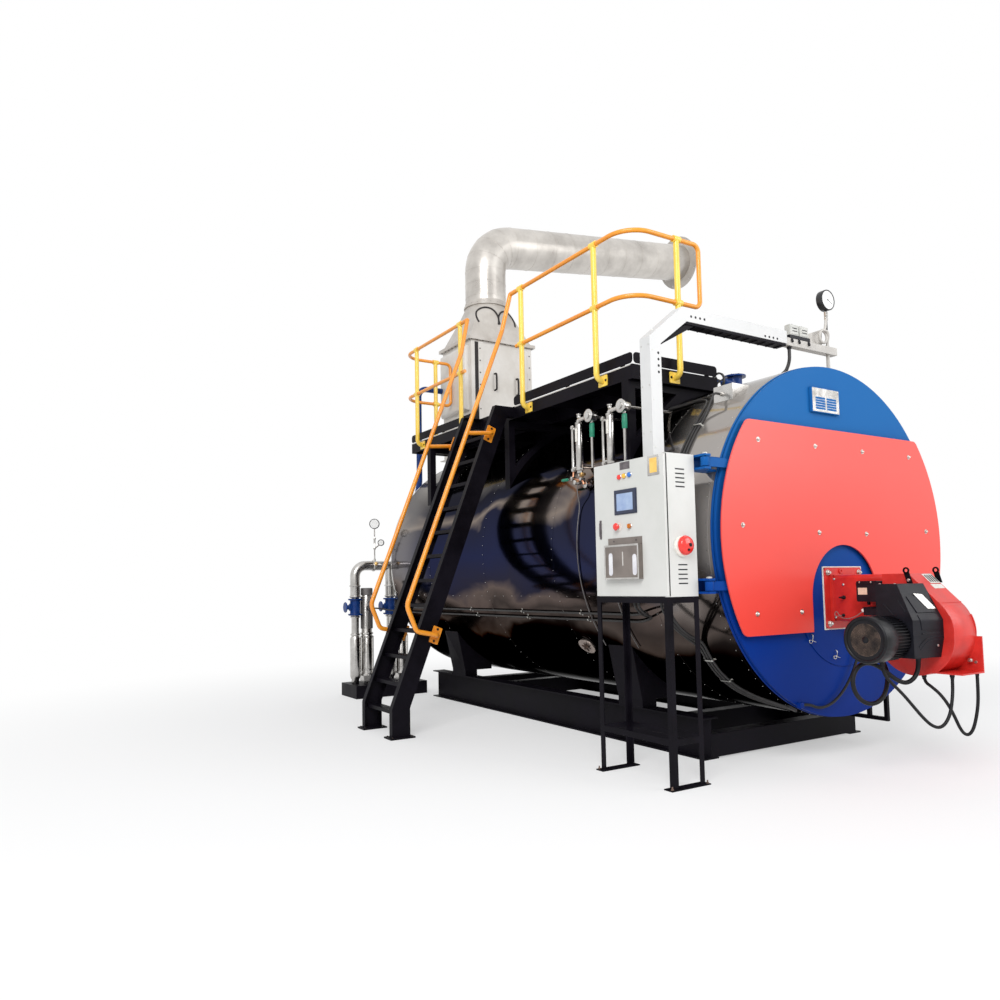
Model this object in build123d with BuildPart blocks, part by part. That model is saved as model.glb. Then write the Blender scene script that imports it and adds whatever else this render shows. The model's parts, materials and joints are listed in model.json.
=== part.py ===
"""Horizontal fire-tube boiler on a skid, with its burner door, control cabinet,
side platform, ladder, economiser, flue duct and feed pump set.

Millimetres, +Z up. X runs along the boiler and points out of the burner end.
The origin is on the floor, under the middle of the front cross member.
"""
from build123d import *
import os
from math import atan, cos, degrees, radians, sin, sqrt, tan

# Boiler shell
SHELL_R = 1300            # outside of the cladding
SHELL_WALL = 60           # plate, insulation and cladding
SHELL_LENGTH = 5090
SHELL_CLEAR = 292         # under the shell
AXIS_Z = SHELL_R + SHELL_CLEAR
FRONT = 1265              # front edge of the cladding
SHELL_REAR = FRONT - SHELL_LENGTH
REAR_CAP = 60             # rear cover
REAR_EDGE = 45            # rounding of the rear cover
FIT = 0.3                 # clearance between curved seats
TUBE_PLATE = 30
TUBE_PLATE_BACK = 300     # tube plate behind the cladding's front edge
FURNACE_R = 450
FURNACE_WALL = 20
FURNACE_DROP = 432        # burner and furnace axis below the shell axis
FURNACE_Z = AXIS_Z - FURNACE_DROP
FURNACE_LENGTH = 4100

# Front ring and burner door
RING_T = 16
RING_W = 200
RING_BORE = SHELL_R - RING_W
DOOR_GAP = 5
DOOR_R = SHELL_R - 5
DOOR_T = 24
LINING_GAP = 40           # between the lining and the ring
LINING_R = RING_BORE - LINING_GAP
LINING_T = 150
PANEL_IN = 16             # panel edge inside the shell
PANEL_R = SHELL_R - PANEL_IN
PANEL_T = 12
PANEL_STAND = 29          # space between the door plate and the red panel
PANEL_TOP = AXIS_Z + 806
PANEL_BOTTOM = AXIS_Z - 667
PANEL_CORNER = 60
ARCH_R = 388              # cut-out of the panel round the burner
HINGE_OUT = 85            # hinge pins outside the shell
HINGE_Y = -SHELL_R - HINGE_OUT
HINGE_LEVELS = (AXIS_Z - 327, AXIS_Z + 488)
HINGE_EYE_R = 28
HINGE_PIN_R = 12
PIN_CLEAR = 0.5
STRAP_T = 20
STRAP_W = 60
LUG_T = 15
LUG_GAP = 5

# Burner
MOUNT_R = 500
MOUNT_T = 8
FLANGE = 440
FLANGE_T = 15
HEAD_W = 330
HEAD_LENGTH = 460
BLAST_R = 150
BLAST_REACH = 120         # blast tube past the lining
FAN_X = 720               # fan axis in front of the cladding edge
FAN_DROP = 240            # fan axis below the burner axis
FAN_Z = FURNACE_Z - FAN_DROP
FAN_R = 255
FAN_NEAR = -250
FAN_FAR = 5
SCROLL_GROWTH = 25        # the scroll is wider at its upper end
FAN_SLOPE = 45            # degrees of the plate between the top and the scroll
COVER_NEAR = -500         # moulded cover over the right of the motor
COVER_LEFT = -85          # its sides from the fan axis
COVER_RIGHT = 150
COVER_FLARE = 50          # wider at the housing
COVER_TOP = 340
COVER_BOTTOM = -122
COVER_SLOPE = 90
MOTOR_R = 128
MOTOR_NEAR = -760
COWL_R = 146              # fan cowl at the end of the motor
COWL_L = 110
MOTOR_GLAND_R = 16
MOTOR_GLAND_DROP = 20     # gland face below the cowl
FAN_FOOT_T = 10
FAN_FOOT_Z = FAN_Z - 230
FAN_FOOT_OUT = 300        # foot past the fan axis
IGNITION_BOX = (154, 140) # along the head and upright
IGNITION_X = 300          # from the mount plate to the box
IGNITION_D = 135

# Cables of the burner: routes chosen by hand, points in order
SUPPLY_R = 10
SUPPLY_ROUTE = (
    (1326, -520, 425), (1326, -450, 425), (1333, -350, 386), (1338, -235, 400),
    (1342, -135, 448), (1345, -45, 520), (1347, 30, 605), (1350, 85, 700),
    (1362, 118, 800), (1386, 130, 895), (1386, 130, 995),
)
CLIP_W = 40
CLIP_H = 36
CLIP_D = 30
HOSE_R = 14
HOSE_ROUTE = (
    (2058, -330, 798), (2058, -330, 729), (2049, -360, 668), (2022, -405, 632),
    (1992, -455, 648), (1966, -505, 692), (1944, -555, 735), (1914, -602, 764),
    (1880, -650, 762), (1855, -685, 722), (1842, -702, 658), (1845, -692, 592),
    (1862, -665, 538), (1888, -622, 508), (1913, -572, 510), (1928, -515, 545),
    (1918, -455, 610), (1888, -395, 680), (1832, -340, 742), (1762, -302, 795),
    (1700, -262, 845), (1662, -195, 888), (1650, -125, 922), (1650, -125, 995),
)
LOOP_R = 10
NEAR_LOOP_ROUTE = (
    (1985, -600, 772), (1985, -600, 712), (2012, -572, 655), (2054, -520, 585),
    (2090, -475, 510), (2128, -440, 440), (2158, -402, 390), (2183, -362, 372),
    (2203, -325, 395), (2216, -288, 455), (2219, -262, 540), (2212, -235, 615),
    (2212, -235, 690),
)
FAR_LOOP_ROUTE = (
    (1985, -150, 665), (1985, -150, 620), (2030, -146, 590), (2080, -137, 545),
    (2122, -125, 478), (2150, -113, 403), (2174, -100, 340), (2198, -90, 308),
    (2228, -80, 325), (2253, -70, 410), (2268, -62, 500), (2272, -60, 600),
    (2272, -60, 690),
)

# Skid and saddles
SKID_H = 300
SKID_FLANGE = 150
SKID_PLATE = 12
SKID_OUT = 930            # outer edge of the beams from the middle
SKID_FRONT = FRONT - 479
SKID_REAR = SHELL_REAR + 340
CROSS_H = 180
CROSS_W = 120
SADDLE_X = (0, SHELL_REAR + 975)
SADDLE_W = 290
SADDLE_STEP = 60          # upright part of the legs above the beams
SADDLE_INNER = 27         # degrees from straight down
SADDLE_OUTER = 52
FRAME_TUBE = 30
FRAME_Y = 640
FRAME_START = 700
FRAME_END = FRONT - 37
FRAME_POST_BACK = 161     # second post behind the front end

# Platform
DECK_FRONT = FRONT - 888
DECK_REAR = SHELL_REAR + 260
DECK_NEAR = 161 - SHELL_R
DECK_FAR = -190
CHANNEL_Z = AXIS_Z + SHELL_R - 4
CHANNEL_H = 112
DECK_Z = CHANNEL_Z + CHANNEL_H
CHANNEL_T = 8
DECK_T = 6
TOE_LIFT = 8
TOE_H = 88
TOE_T = 6
TOE_ROUND = 30
TOE_CLIP = 50             # clips that hold the toe boards off the deck
TOE_CLIP_IN = 120
BRACKET_X = (DECK_FRONT - 92, -1450, DECK_REAR + 445)
BRACKET_W = 80
BRACKET_POST = 70
BRACKET_ARM = 60
BRACKET_REACH = 519
BRACKET_DROP = 448
JOIST_T = 8
JOIST_PITCH = 540
JOISTS = int((DECK_FRONT - DECK_REAR - 600) / JOIST_PITCH)
NOTCH_GAP = 15            # between the deck and the economiser

# Guardrails
RAIL_R = 19
POST_R = 24
POST_OUT = 70             # post axis in front of the channel face
TOP_RAIL = DECK_Z + 1075
MID_RAIL = DECK_Z + 545
RAIL_BEND = 230
FOOT_PLATE = 110
FOOT_T = 8
TEE_R = 28
TEE_L = 70

# Ladder
LADDER_NEAR_X = -1981     # outer face of the left stringer
LADDER_WIDTH = 666
STRINGER_DEPTH = 170      # measured level, front to back
STRINGER_WEB = 7
STRINGER_FLANGE = 60
LADDER_KNEE = 250
LADDER_RUN = 0.3975       # level travel for each unit of rise
LADDER_HEAD = 208         # front of the stringers before the deck, at deck height
LADDER_FOOT_Y = round(DECK_NEAR - LADDER_HEAD - LADDER_RUN * (DECK_Z - LADDER_KNEE))
TREAD_FIRST = 225
TREAD_RISE = 227.8
TREADS = int((DECK_Z - TREAD_FIRST) / TREAD_RISE)
TREAD_DEPTH = 98
TREAD_LIP = 32
TREAD_T = 5
HANDRAIL_R = 21
HANDRAIL_OUT = 60
HANDRAIL_FRONT = 281      # level distance before the tread noses
LADDER_PLATE = 14         # floor plates under the stringers
LADDER_PLATE_X = 150
LADDER_PLATE_Y = 230
LADDER_PLATE_IN = 35
TREAD_SET_BACK = 45       # tread nose behind the front of the stringer, level
HAND_BRACKET = (90, 150)  # bolted plates of the handrails
HAND_LEVELS = (862, DECK_Z - 285)
HAND_BACK = (179, 40)     # brackets behind the front of the stringers, level

# Control cabinet
CAB_OUT = 130             # between the shell and the cabinet
CAB_DEPTH = 269
CAB_BACK_Y = -SHELL_R - CAB_OUT
CAB_FRONT_Y = CAB_BACK_Y - CAB_DEPTH
CAB_WIDTH = 707
CAB_LEFT = FRONT - CAB_WIDTH
CAB_BOTTOM = 1201
CAB_TOP = 2129
CAB_SHEET = 3
CAB_DOOR_T = 20
CAB_DOOR_GAP = 6
CAB_DOOR_EDGE = 5
CAB_PIVOT_IN = 12         # pivots of the door behind its right edge
CAB_PIVOT_BACK = 8        # pivots behind the face of the door
CAB_PIVOT_TAB = 4
CAB_PIVOT_R = 3
CAB_PIVOT_L = 16
STAND_ANGLE = 40
STAND_T = 5
STAND_BRACE_Z = 270
STAND_FOOT_W = 75
STAND_FOOT_T = 8
POCKET_W = 345
POCKET_H = 235
POCKET_BACK = 48          # back plate above the pocket
POCKET_D = 38
POCKET_X = 314            # middle of the pocket from the left of the cabinet
POCKET_Z = 236            # middle of the pocket above the bottom of the cabinet
POCKET_SHEET = 2
TRUNK = 100
TRUNK_X = FRONT - 280
TRUNK_Y = (CAB_FRONT_Y + CAB_BACK_Y) / 2
TRUNK_ARM_Z = AXIS_Z + SHELL_R + 218
TRUNK_ARM_END = -190
TRUNK_MITRE_IN = (255, -195)   # inner corners of the mitred bend, from axis and arm
TRUNK_MITRE_OUT = (265, -255)
CHANNEL_ARM_W = 60
CHANNEL_ARM_END = 455
GAUGE_STALK_Y = 375
GAUGE_STALK_R = 14
DIAL_RISE = 452           # gauge centre above the arm
DIAL_R = 85
DIAL_T = 50
SIPHON_R = 9

# Economiser and flue
ECO_X = SHELL_REAR + 160
ECO_LENGTH = 730
ECO_WIDTH = 900
ECO_H = 1418
ECO_SEAT = 20             # casing above the crown of the shell
ECO_TOP = AXIS_Z + SHELL_R + ECO_SEAT + ECO_H
ECO_FLANGE = 40
COLLAR_IN = 60            # collar narrower than the casing
COLLAR_T = 10
ECO_FLANGE_OUT = 40
HOOD_H = 520
POD_W = 650               # tube end box on the near side of the economiser
POD_BOTTOM = ECO_TOP - 880
POD_TOP = ECO_TOP - 70
POD_D = 80
POD_ROUND = 50
FLUE_R = 265
FLUE_WALL = 6
DUCT_RISE = 8             # degrees
DUCT_END_Y = 3500
DUCT_FLANGE_R = 390
DUCT_FLANGE_T = 14
DUCT_BOLT_R = 355
DUCT_BOLTS = 12
DUCT_HOLE_R = 9

# Feed pumps
PUMP_X = SHELL_REAR - 195
PUMP_Y = (-1545, -1090)
PUMP_BASE_Z = 150
PUMP_FOOT_H = 90
PUMP_FOOT_W = 130
PUMP_R = 70               # stainless sleeve
PUMP_H = 480
PUMP_MOTOR_R = 65
PUMP_MOTOR_H = 560
PUMP_BOX = 60             # terminal box on the motor
PUMP_BOX_D = 50
PUMP_BOX_IN = 10
PUMP_BOX_Z = 1040
RISER_Y = (-1692, -1237)  # pipes that rise from the pumps
RISER_R = 45
HEADER_R = 58
HEADER_Z = 1555
HEADER_FOOT_Z = 1170      # wide pipe above the riser valves
HEADER_END_Y = -960
HEADER_BEND = 130
RISER_VALVE_Z = (960, 1140)
RISER_FLANGE_R = 72
RISER_FLANGE_T = 18
RISER_BODY_R = 62
RISER_STEM = 130
RISER_WHEEL_R = 55
FEED_Y = (-1070, -860)
FEED_R = 36
FEED_TEE_Z = 2070
FEED_VALVE_Z = 2200
FEED_FLANGE_R = 88
FEED_BODY_R = 62
FEED_X = PUMP_X + 90
FEED_Z = ECO_TOP - 530
FEED_BEND_Z = 2400

# Level gauges on the near side
GAUGE_X = (-190, 208)
GAUGE_Y = 65 - SHELL_R
GAUGE_BOTTOM = AXIS_Z + 638
GAUGE_TOP = GAUGE_BOTTOM + 390
GAUGE_R = 31
GAUGE_HEAD_Z = GAUGE_TOP + 35
GAUGE_COCK_X = 170        # cock beside the column
GAUGE_COCK_R = 42
GAUGE_GLASS_X = 88        # glass on the other side of the column
GAUGE_PIPE_R = 13
GAUGE_FOOT_Z = GAUGE_BOTTOM + 32

# Cables clipped to the shell
CABLE_R = 9
CABLE_LIFT = 12
CABLE_STEP = 30           # from one cable to the next
CABLE_TURN = 1.3          # the same as an angle round the shell
BOX_X = (FRONT - 380, FRONT - 200)
BOX_Y = (-800, -600)
BOX_TOP = AXIS_Z + SHELL_R - 157
GLAND_X = FRONT - 305
GLAND_Z = BOX_TOP - 63
GLAND_R = 16
GLAND_L = 25
CONDUIT_R = 12

# Steam valve
VALVE_X = 300
VALVE_Y = 110
VALVE_NECK_R = 57
VALVE_Z = AXIS_Z + SHELL_R + 33   # underside of the lower flange
VALVE_FLANGE_R = 95
VALVE_FLANGE_T = 14
VALVE_BOLT_R = 78
VALVE_BOLTS = 8
VALVE_HOLE_R = 8
VALVE_BODY_R = 62
VALVE_BODY_H = 110
VALVE_BONNET_R = 34
VALVE_STEM = 215          # length of the stem towards the near side
VALVE_STEM_R = 9
BONNET_BACK = 70          # bonnet end behind the stem end
WHEEL_R = 75
WHEEL_RIM = 8
WHEEL_HUB_R = 18
WHEEL_T = 14
WHEEL_SPOKES = 3

DOOR_BACK = FRONT + RING_T + DOOR_GAP
DOOR_FACE = DOOR_BACK + DOOR_T
PANEL_BACK = DOOR_FACE + PANEL_STAND
HINGE_X = DOOR_FACE + STRAP_T / 2
PUMP_TOP = PUMP_BASE_Z + PUMP_FOOT_H + PUMP_H + PUMP_MOTOR_H
VALVE_AXIS_Z = VALVE_Z + 2 * VALVE_FLANGE_T + VALVE_BODY_H / 2
POST_Y = DECK_NEAR - POST_OUT
POST_FRONT_X = DECK_FRONT + POST_OUT


def shell_edge(y, radius=SHELL_R):
    """Height of the lower shell surface at a distance from the middle."""
    return AXIS_Z - sqrt(radius * radius - y * y)


def shell_crown(y, radius=SHELL_R):
    """Height of the upper shell surface at a distance from the middle."""
    return AXIS_Z + sqrt(radius * radius - y * y)


def on_shell(x, turn, lift):
    """Point beside the shell, at an angle above the axis on the near side."""
    reach = SHELL_R + lift
    return (x, -reach * cos(radians(turn)), AXIS_Z + reach * sin(radians(turn)))


def bend_radii(points):
    """The largest even arcs of a run: 0.45 of the shorter leg at each point."""
    radii = []
    for before, here, after in zip(points, points[1:], points[2:]):
        leg_in = Vector(*here) - Vector(*before)
        leg_out = Vector(*after) - Vector(*here)
        turn = radians(leg_in.get_angle(leg_out))
        radii.append(0.45 * min(leg_in.length, leg_out.length) / tan(turn / 2))
    return radii


def bent_bar(points, bends, radius):
    """A round bar along a bent run."""
    with BuildPart() as bar:
        with BuildLine() as run:
            FilletPolyline(*points, radius=bends)
        with BuildSketch(Plane(run.line @ 0, z_dir=run.line % 0)):
            Circle(radius)
        sweep(path=run.line)
    return bar.part


def cord(points, radius):
    """A free or clipped cable along its route."""
    radii = bend_radii(points)
    print("cable bends", [round(bend) for bend in radii])
    return bent_bar(points, radii, radius)


def save(piece, name):
    """Label a finished piece and write its file."""
    piece.part.label = name
    export_step(piece.part, f"parts/{name}.step")


os.makedirs("parts", exist_ok=True)

# Shell barrel, open at both ends
with BuildPart() as shell_barrel:
    with BuildSketch(Plane.YZ.offset(SHELL_REAR)):
        with Locations((0, AXIS_Z)):
            Circle(SHELL_R)
            Circle(SHELL_R - SHELL_WALL, mode=Mode.SUBTRACT)
    extrude(amount=SHELL_LENGTH)
save(shell_barrel, "shell_barrel")

# Rear cover with a rounded edge
with BuildPart() as rear_cover:
    with BuildSketch(Plane.YZ.offset(SHELL_REAR - REAR_CAP)):
        with Locations((0, AXIS_Z)):
            Circle(SHELL_R)
    extrude(amount=REAR_CAP)
    fillet(rear_cover.edges().filter_by(GeomType.CIRCLE).sort_by(Axis.X)[0], REAR_EDGE)
save(rear_cover, "rear_cover")

# Front tube plate with the furnace mouth
with BuildPart() as front_tube_plate:
    with BuildSketch(Plane.YZ.offset(FRONT - TUBE_PLATE_BACK - TUBE_PLATE)):
        with Locations((0, AXIS_Z)):
            Circle(SHELL_R - SHELL_WALL - FIT)
        with Locations((0, FURNACE_Z)):
            Circle(FURNACE_R - FURNACE_WALL, mode=Mode.SUBTRACT)
    extrude(amount=TUBE_PLATE)
save(front_tube_plate, "front_tube_plate")

# Furnace tube behind the tube plate
with BuildPart() as furnace_tube:
    with BuildSketch(Plane.YZ.offset(FRONT - TUBE_PLATE_BACK - TUBE_PLATE - FURNACE_LENGTH)):
        with Locations((0, FURNACE_Z)):
            Circle(FURNACE_R)
            Circle(FURNACE_R - FURNACE_WALL, mode=Mode.SUBTRACT)
    extrude(amount=FURNACE_LENGTH)
save(furnace_tube, "furnace_tube")

# Front ring, the seat of the burner door
with BuildPart() as front_ring:
    with BuildSketch(Plane.YZ.offset(FRONT)):
        with Locations((0, AXIS_Z)):
            Circle(SHELL_R)
            Circle(RING_BORE, mode=Mode.SUBTRACT)
    extrude(amount=RING_T)
save(front_ring, "front_ring")

# Fixed halves of the door hinges: lugs on the shell with the pins
with BuildPart() as door_hinges:
    for level in HINGE_LEVELS:
        for side in (-1, 1):
            lug_z = level + side * (STRAP_W / 2 + LUG_GAP + LUG_T / 2)
            with BuildSketch(Plane.XY.offset(lug_z - LUG_T / 2)):
                with BuildLine():
                    Polyline(
                        (HINGE_X + HINGE_EYE_R, HINGE_Y - HINGE_EYE_R),
                        (HINGE_X + HINGE_EYE_R, HINGE_Y + HINGE_EYE_R),
                        (FRONT, HINGE_Y + 2 * HINGE_EYE_R),
                        (FRONT, -RING_BORE),
                        (FRONT - 90, -RING_BORE),
                        (FRONT - 90, HINGE_Y - HINGE_EYE_R),
                        close=True,
                    )
                make_face()
            extrude(amount=LUG_T)
        with BuildSketch(Plane.XY.offset(level - STRAP_W / 2 - LUG_GAP)):
            with Locations((HINGE_X, HINGE_Y)):
                Circle(HINGE_PIN_R)
        extrude(amount=STRAP_W + 2 * LUG_GAP)
        with BuildSketch(Plane.XY.offset(level - STRAP_W / 2 - LUG_GAP)):
            with Locations((FRONT - 80, (HINGE_Y - HINGE_EYE_R - RING_BORE) / 2)):
                Rectangle(20, HINGE_EYE_R - HINGE_Y - RING_BORE)
        extrude(amount=STRAP_W + 2 * LUG_GAP)
    with BuildSketch(Plane.YZ.offset(FRONT - 200)):
        with Locations((0, AXIS_Z)):
            Circle(SHELL_R + FIT)
    extrude(amount=200, mode=Mode.SUBTRACT)
save(door_hinges, "door_hinges")

# Burner door plate with its hinge straps
with BuildPart() as front_door:
    with BuildSketch(Plane.YZ.offset(DOOR_BACK)):
        with Locations((0, AXIS_Z)):
            Circle(DOOR_R)
        with Locations((0, FURNACE_Z)):
            Circle(BLAST_R + FIT, mode=Mode.SUBTRACT)
    extrude(amount=DOOR_T)
    for level in HINGE_LEVELS:
        with BuildSketch(Plane.XY.offset(level - STRAP_W / 2)):
            with Locations((HINGE_X, (HINGE_Y - RING_BORE) / 2)):
                Rectangle(STRAP_T, -RING_BORE - HINGE_Y)
            with Locations((HINGE_X, HINGE_Y)):
                Circle(HINGE_EYE_R)
                Circle(HINGE_PIN_R + PIN_CLEAR, mode=Mode.SUBTRACT)
        extrude(amount=STRAP_W)
    with BuildSketch(Plane.YZ.offset(DOOR_FACE)):
        with Locations((SUPPLY_ROUTE[0][1] - CLIP_W / 2, SUPPLY_ROUTE[0][2])):
            Rectangle(CLIP_W, CLIP_H)
    extrude(amount=CLIP_D)
save(front_door, "front_door")

# Refractory lining on the back of the door
with BuildPart() as door_lining:
    with BuildSketch(Plane.YZ.offset(DOOR_BACK - LINING_T)):
        with Locations((0, AXIS_Z)):
            Circle(LINING_R)
        with Locations((0, FURNACE_Z)):
            Circle(BLAST_R + FIT, mode=Mode.SUBTRACT)
    extrude(amount=LINING_T)
save(door_lining, "door_lining")

# Red panel in front of the door, cut out round the burner
with BuildPart() as door_panel:
    with BuildSketch(Plane.YZ.offset(PANEL_BACK)):
        with Locations((0, AXIS_Z)):
            Circle(PANEL_R)
        with Locations((0, (PANEL_TOP + PANEL_BOTTOM) / 2)):
            Rectangle(2 * PANEL_R, PANEL_TOP - PANEL_BOTTOM, mode=Mode.INTERSECT)
    extrude(amount=PANEL_T)
    fillet(door_panel.edges().filter_by(Axis.X), PANEL_CORNER)
    with BuildSketch(Plane.YZ.offset(PANEL_BACK)):
        with Locations((0, FURNACE_Z)):
            Circle(ARCH_R)
        with Locations((0, (FURNACE_Z + PANEL_BOTTOM) / 2)):
            Rectangle(2 * ARCH_R, FURNACE_Z - PANEL_BOTTOM)
    extrude(amount=PANEL_T, mode=Mode.SUBTRACT)
save(door_panel, "door_panel")

# Studs that hold the panel off the door
STUD_R = 14
STUD_IN = 200             # outer studs from the edge of the panel
STUD_MIDDLE = 281
STUD_LOW = 514
STUD_LEVELS = (AXIS_Z + 670, AXIS_Z + 76, AXIS_Z - 520)
STUD_PLACES = (
    *[(sqrt(PANEL_R ** 2 - (z - AXIS_Z) ** 2) - STUD_IN, z) for z in STUD_LEVELS],
    (STUD_MIDDLE, STUD_LEVELS[0]),
    (STUD_MIDDLE, STUD_LEVELS[1] - 35),
    (STUD_LOW, STUD_LEVELS[2]),
)
with BuildPart() as panel_studs:
    with BuildSketch(Plane.YZ.offset(DOOR_FACE)):
        with Locations(*[(s * y, z) for y, z in STUD_PLACES for s in (-1, 1)]):
            Circle(STUD_R)
    extrude(amount=PANEL_STAND)
save(panel_studs, "panel_studs")

# Round burner mounting plate on the door
with BuildPart() as burner_plate:
    with BuildSketch(Plane.YZ.offset(DOOR_FACE)):
        with Locations((0, FURNACE_Z)):
            Circle(MOUNT_R)
            Circle(BLAST_R + FIT, mode=Mode.SUBTRACT)
        with Locations((0, FURNACE_Z)):
            Rectangle(2 * ARCH_R + 300, 2 * MOUNT_R, mode=Mode.INTERSECT)
    extrude(amount=MOUNT_T)
    with BuildSketch(Plane.YZ.offset(DOOR_FACE)):
        with Locations(*[(s * STUD_LOW, STUD_LEVELS[2]) for s in (-1, 1)]):
            Circle(STUD_R + 10)
    extrude(amount=MOUNT_T, mode=Mode.SUBTRACT)
save(burner_plate, "burner_plate")

FLANGE_BACK = DOOR_FACE + MOUNT_T
HEAD_BACK = FLANGE_BACK + FLANGE_T
# Square burner flange with its blast tube, which reaches through the door
with BuildPart() as burner_flange:
    with BuildSketch(Plane.YZ.offset(FLANGE_BACK)):
        with Locations((0, FURNACE_Z)):
            RectangleRounded(FLANGE, FLANGE, 30)
    extrude(amount=FLANGE_T)
    with BuildSketch(Plane.YZ.offset(DOOR_BACK - LINING_T - BLAST_REACH)):
        with Locations((0, FURNACE_Z)):
            Circle(BLAST_R)
    extrude(amount=FLANGE_BACK - DOOR_BACK + LINING_T + BLAST_REACH)
save(burner_flange, "burner_flange")

# Burner head, a box casting
HEAD_FRONT = HEAD_BACK + HEAD_LENGTH
with BuildPart() as burner_head:
    with BuildSketch(Plane.YZ.offset(HEAD_BACK)):
        with Locations((0, FURNACE_Z)):
            RectangleRounded(HEAD_W, HEAD_W, 30)
    extrude(amount=HEAD_LENGTH)
save(burner_head, "burner_head")

# Fan housing: a scroll with a flat top and a sloping plate, its foot and a web
FAN_AXIS_X = FRONT + FAN_X
FAN_TOP = FURNACE_Z + HEAD_W / 2
SLOPE_END = (
    FAN_AXIS_X + (FAN_R + SCROLL_GROWTH) * sin(radians(FAN_SLOPE)),
    FAN_Z + (FAN_R + SCROLL_GROWTH) * cos(radians(FAN_SLOPE)),
)
SLOPE_START = (SLOPE_END[0] - (FAN_TOP - SLOPE_END[1]) / tan(radians(FAN_SLOPE)), FAN_TOP)
with BuildPart() as fan_housing:
    with BuildSketch(Plane.XZ.offset(-FAN_FAR)):
        with BuildLine():
            Line((HEAD_FRONT, FAN_TOP), SLOPE_START)
            Line(SLOPE_START, SLOPE_END)
            ThreePointArc(
                SLOPE_END,
                (FAN_AXIS_X + FAN_R + SCROLL_GROWTH / 3, FAN_Z),
                (FAN_AXIS_X, FAN_Z - FAN_R),
            )
            ThreePointArc(
                (FAN_AXIS_X, FAN_Z - FAN_R),
                (FAN_AXIS_X - FAN_R * sin(radians(45)), FAN_Z - FAN_R * cos(radians(45))),
                (FAN_AXIS_X - FAN_R, FAN_Z),
            )
            Polyline(
                (FAN_AXIS_X - FAN_R, FAN_Z),
                (FAN_AXIS_X - FAN_R, FURNACE_Z - HEAD_W / 2 - FIT),
                (HEAD_FRONT, FURNACE_Z - HEAD_W / 2 - FIT),
                (HEAD_FRONT, FAN_TOP),
            )
        make_face()
    extrude(amount=FAN_FAR - FAN_NEAR)
    with BuildSketch(Plane.XZ.offset(-FAN_FAR)):
        with Locations((FAN_AXIS_X + FAN_FOOT_OUT / 2, (FAN_FOOT_Z + FAN_Z) / 2)):
            Rectangle(FAN_FOOT_OUT, FAN_Z - FAN_FOOT_Z)
    extrude(amount=FAN_FOOT_T)
    with BuildSketch(Plane.XY.offset(FAN_FOOT_Z)):
        with Locations((FAN_AXIS_X + FAN_FOOT_OUT / 2, (FAN_NEAR + FAN_FAR) / 2)):
            Rectangle(FAN_FOOT_OUT, FAN_FAR - FAN_NEAR)
    extrude(amount=FAN_FOOT_T)
save(fan_housing, "fan_housing")

# Moulded cover over the right of the motor, and the ignition box on the head
with BuildPart() as burner_cover:
    for cover_y, flare in ((FAN_NEAR, COVER_FLARE), (COVER_NEAR, 0)):
        with BuildSketch(Plane.XZ.offset(-cover_y)):
            with BuildLine():
                Polyline(
                    (FAN_AXIS_X + COVER_LEFT, FAN_Z + COVER_TOP),
                    (FAN_AXIS_X + COVER_RIGHT - COVER_SLOPE + flare / 2, FAN_Z + COVER_TOP),
                    (FAN_AXIS_X + COVER_RIGHT + flare, FAN_Z + COVER_TOP / 3),
                    (FAN_AXIS_X + COVER_RIGHT + flare, FAN_Z),
                    (FAN_AXIS_X + COVER_RIGHT + flare / 2, FAN_Z + COVER_BOTTOM),
                    (FAN_AXIS_X + COVER_LEFT, FAN_Z + COVER_BOTTOM),
                    close=True,
                )
            make_face()
    loft(ruled=True)
    with BuildSketch(Plane.XZ.offset(-FAN_NEAR)):
        with BuildLine():
            cut_r = MOTOR_R + FIT
            ThreePointArc(
                (FAN_AXIS_X + cut_r, FAN_Z),
                (FAN_AXIS_X + cut_r * cos(radians(45)), FAN_Z + cut_r * sin(radians(45))),
                (FAN_AXIS_X, FAN_Z + cut_r),
            )
            Polyline(
                (FAN_AXIS_X, FAN_Z + cut_r),
                (FAN_AXIS_X + 2 * COVER_LEFT, FAN_Z + cut_r),
                (FAN_AXIS_X + 2 * COVER_LEFT, FAN_Z - 2 * cut_r),
                (FAN_AXIS_X + cut_r / 3, FAN_Z - 2 * cut_r),
                (FAN_AXIS_X + cut_r / 3, FAN_Z - cut_r * cos(atan(0.3536))),
            )
            ThreePointArc(
                (FAN_AXIS_X + cut_r / 3, FAN_Z - cut_r * cos(atan(0.3536))),
                (FAN_AXIS_X + cut_r * cos(radians(45)), FAN_Z - cut_r * sin(radians(45))),
                (FAN_AXIS_X + cut_r, FAN_Z),
            )
        make_face()
    extrude(amount=FAN_NEAR - COVER_NEAR, mode=Mode.SUBTRACT)
    with BuildSketch(Plane.XZ.offset(HEAD_W / 2)):
        with Locations((HEAD_BACK + IGNITION_X + IGNITION_BOX[0] / 2, FAN_TOP - IGNITION_BOX[1] / 2 - 45)):
            RectangleRounded(*IGNITION_BOX, 12)
    extrude(amount=IGNITION_D)
save(burner_cover, "burner_cover")

# Fan motor with the cowl at its end
with BuildPart() as fan_motor:
    with BuildSketch(Plane.XZ.offset(-FAN_NEAR)):
        with Locations((FAN_AXIS_X, FAN_Z)):
            Circle(MOTOR_R)
    extrude(amount=FAN_NEAR - MOTOR_NEAR)
    with BuildSketch(Plane.XZ.offset(-MOTOR_NEAR - COWL_L)):
        with Locations((FAN_AXIS_X, FAN_Z)):
            Circle(COWL_R)
    extrude(amount=COWL_L)
    with BuildSketch(Plane.XY.offset(FAN_Z - MOTOR_R - MOTOR_GLAND_DROP)):
        with Locations((FAN_AXIS_X, NEAR_LOOP_ROUTE[0][1])):
            Circle(MOTOR_GLAND_R)
    extrude(amount=2 * MOTOR_GLAND_DROP)
save(fan_motor, "fan_motor")

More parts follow.
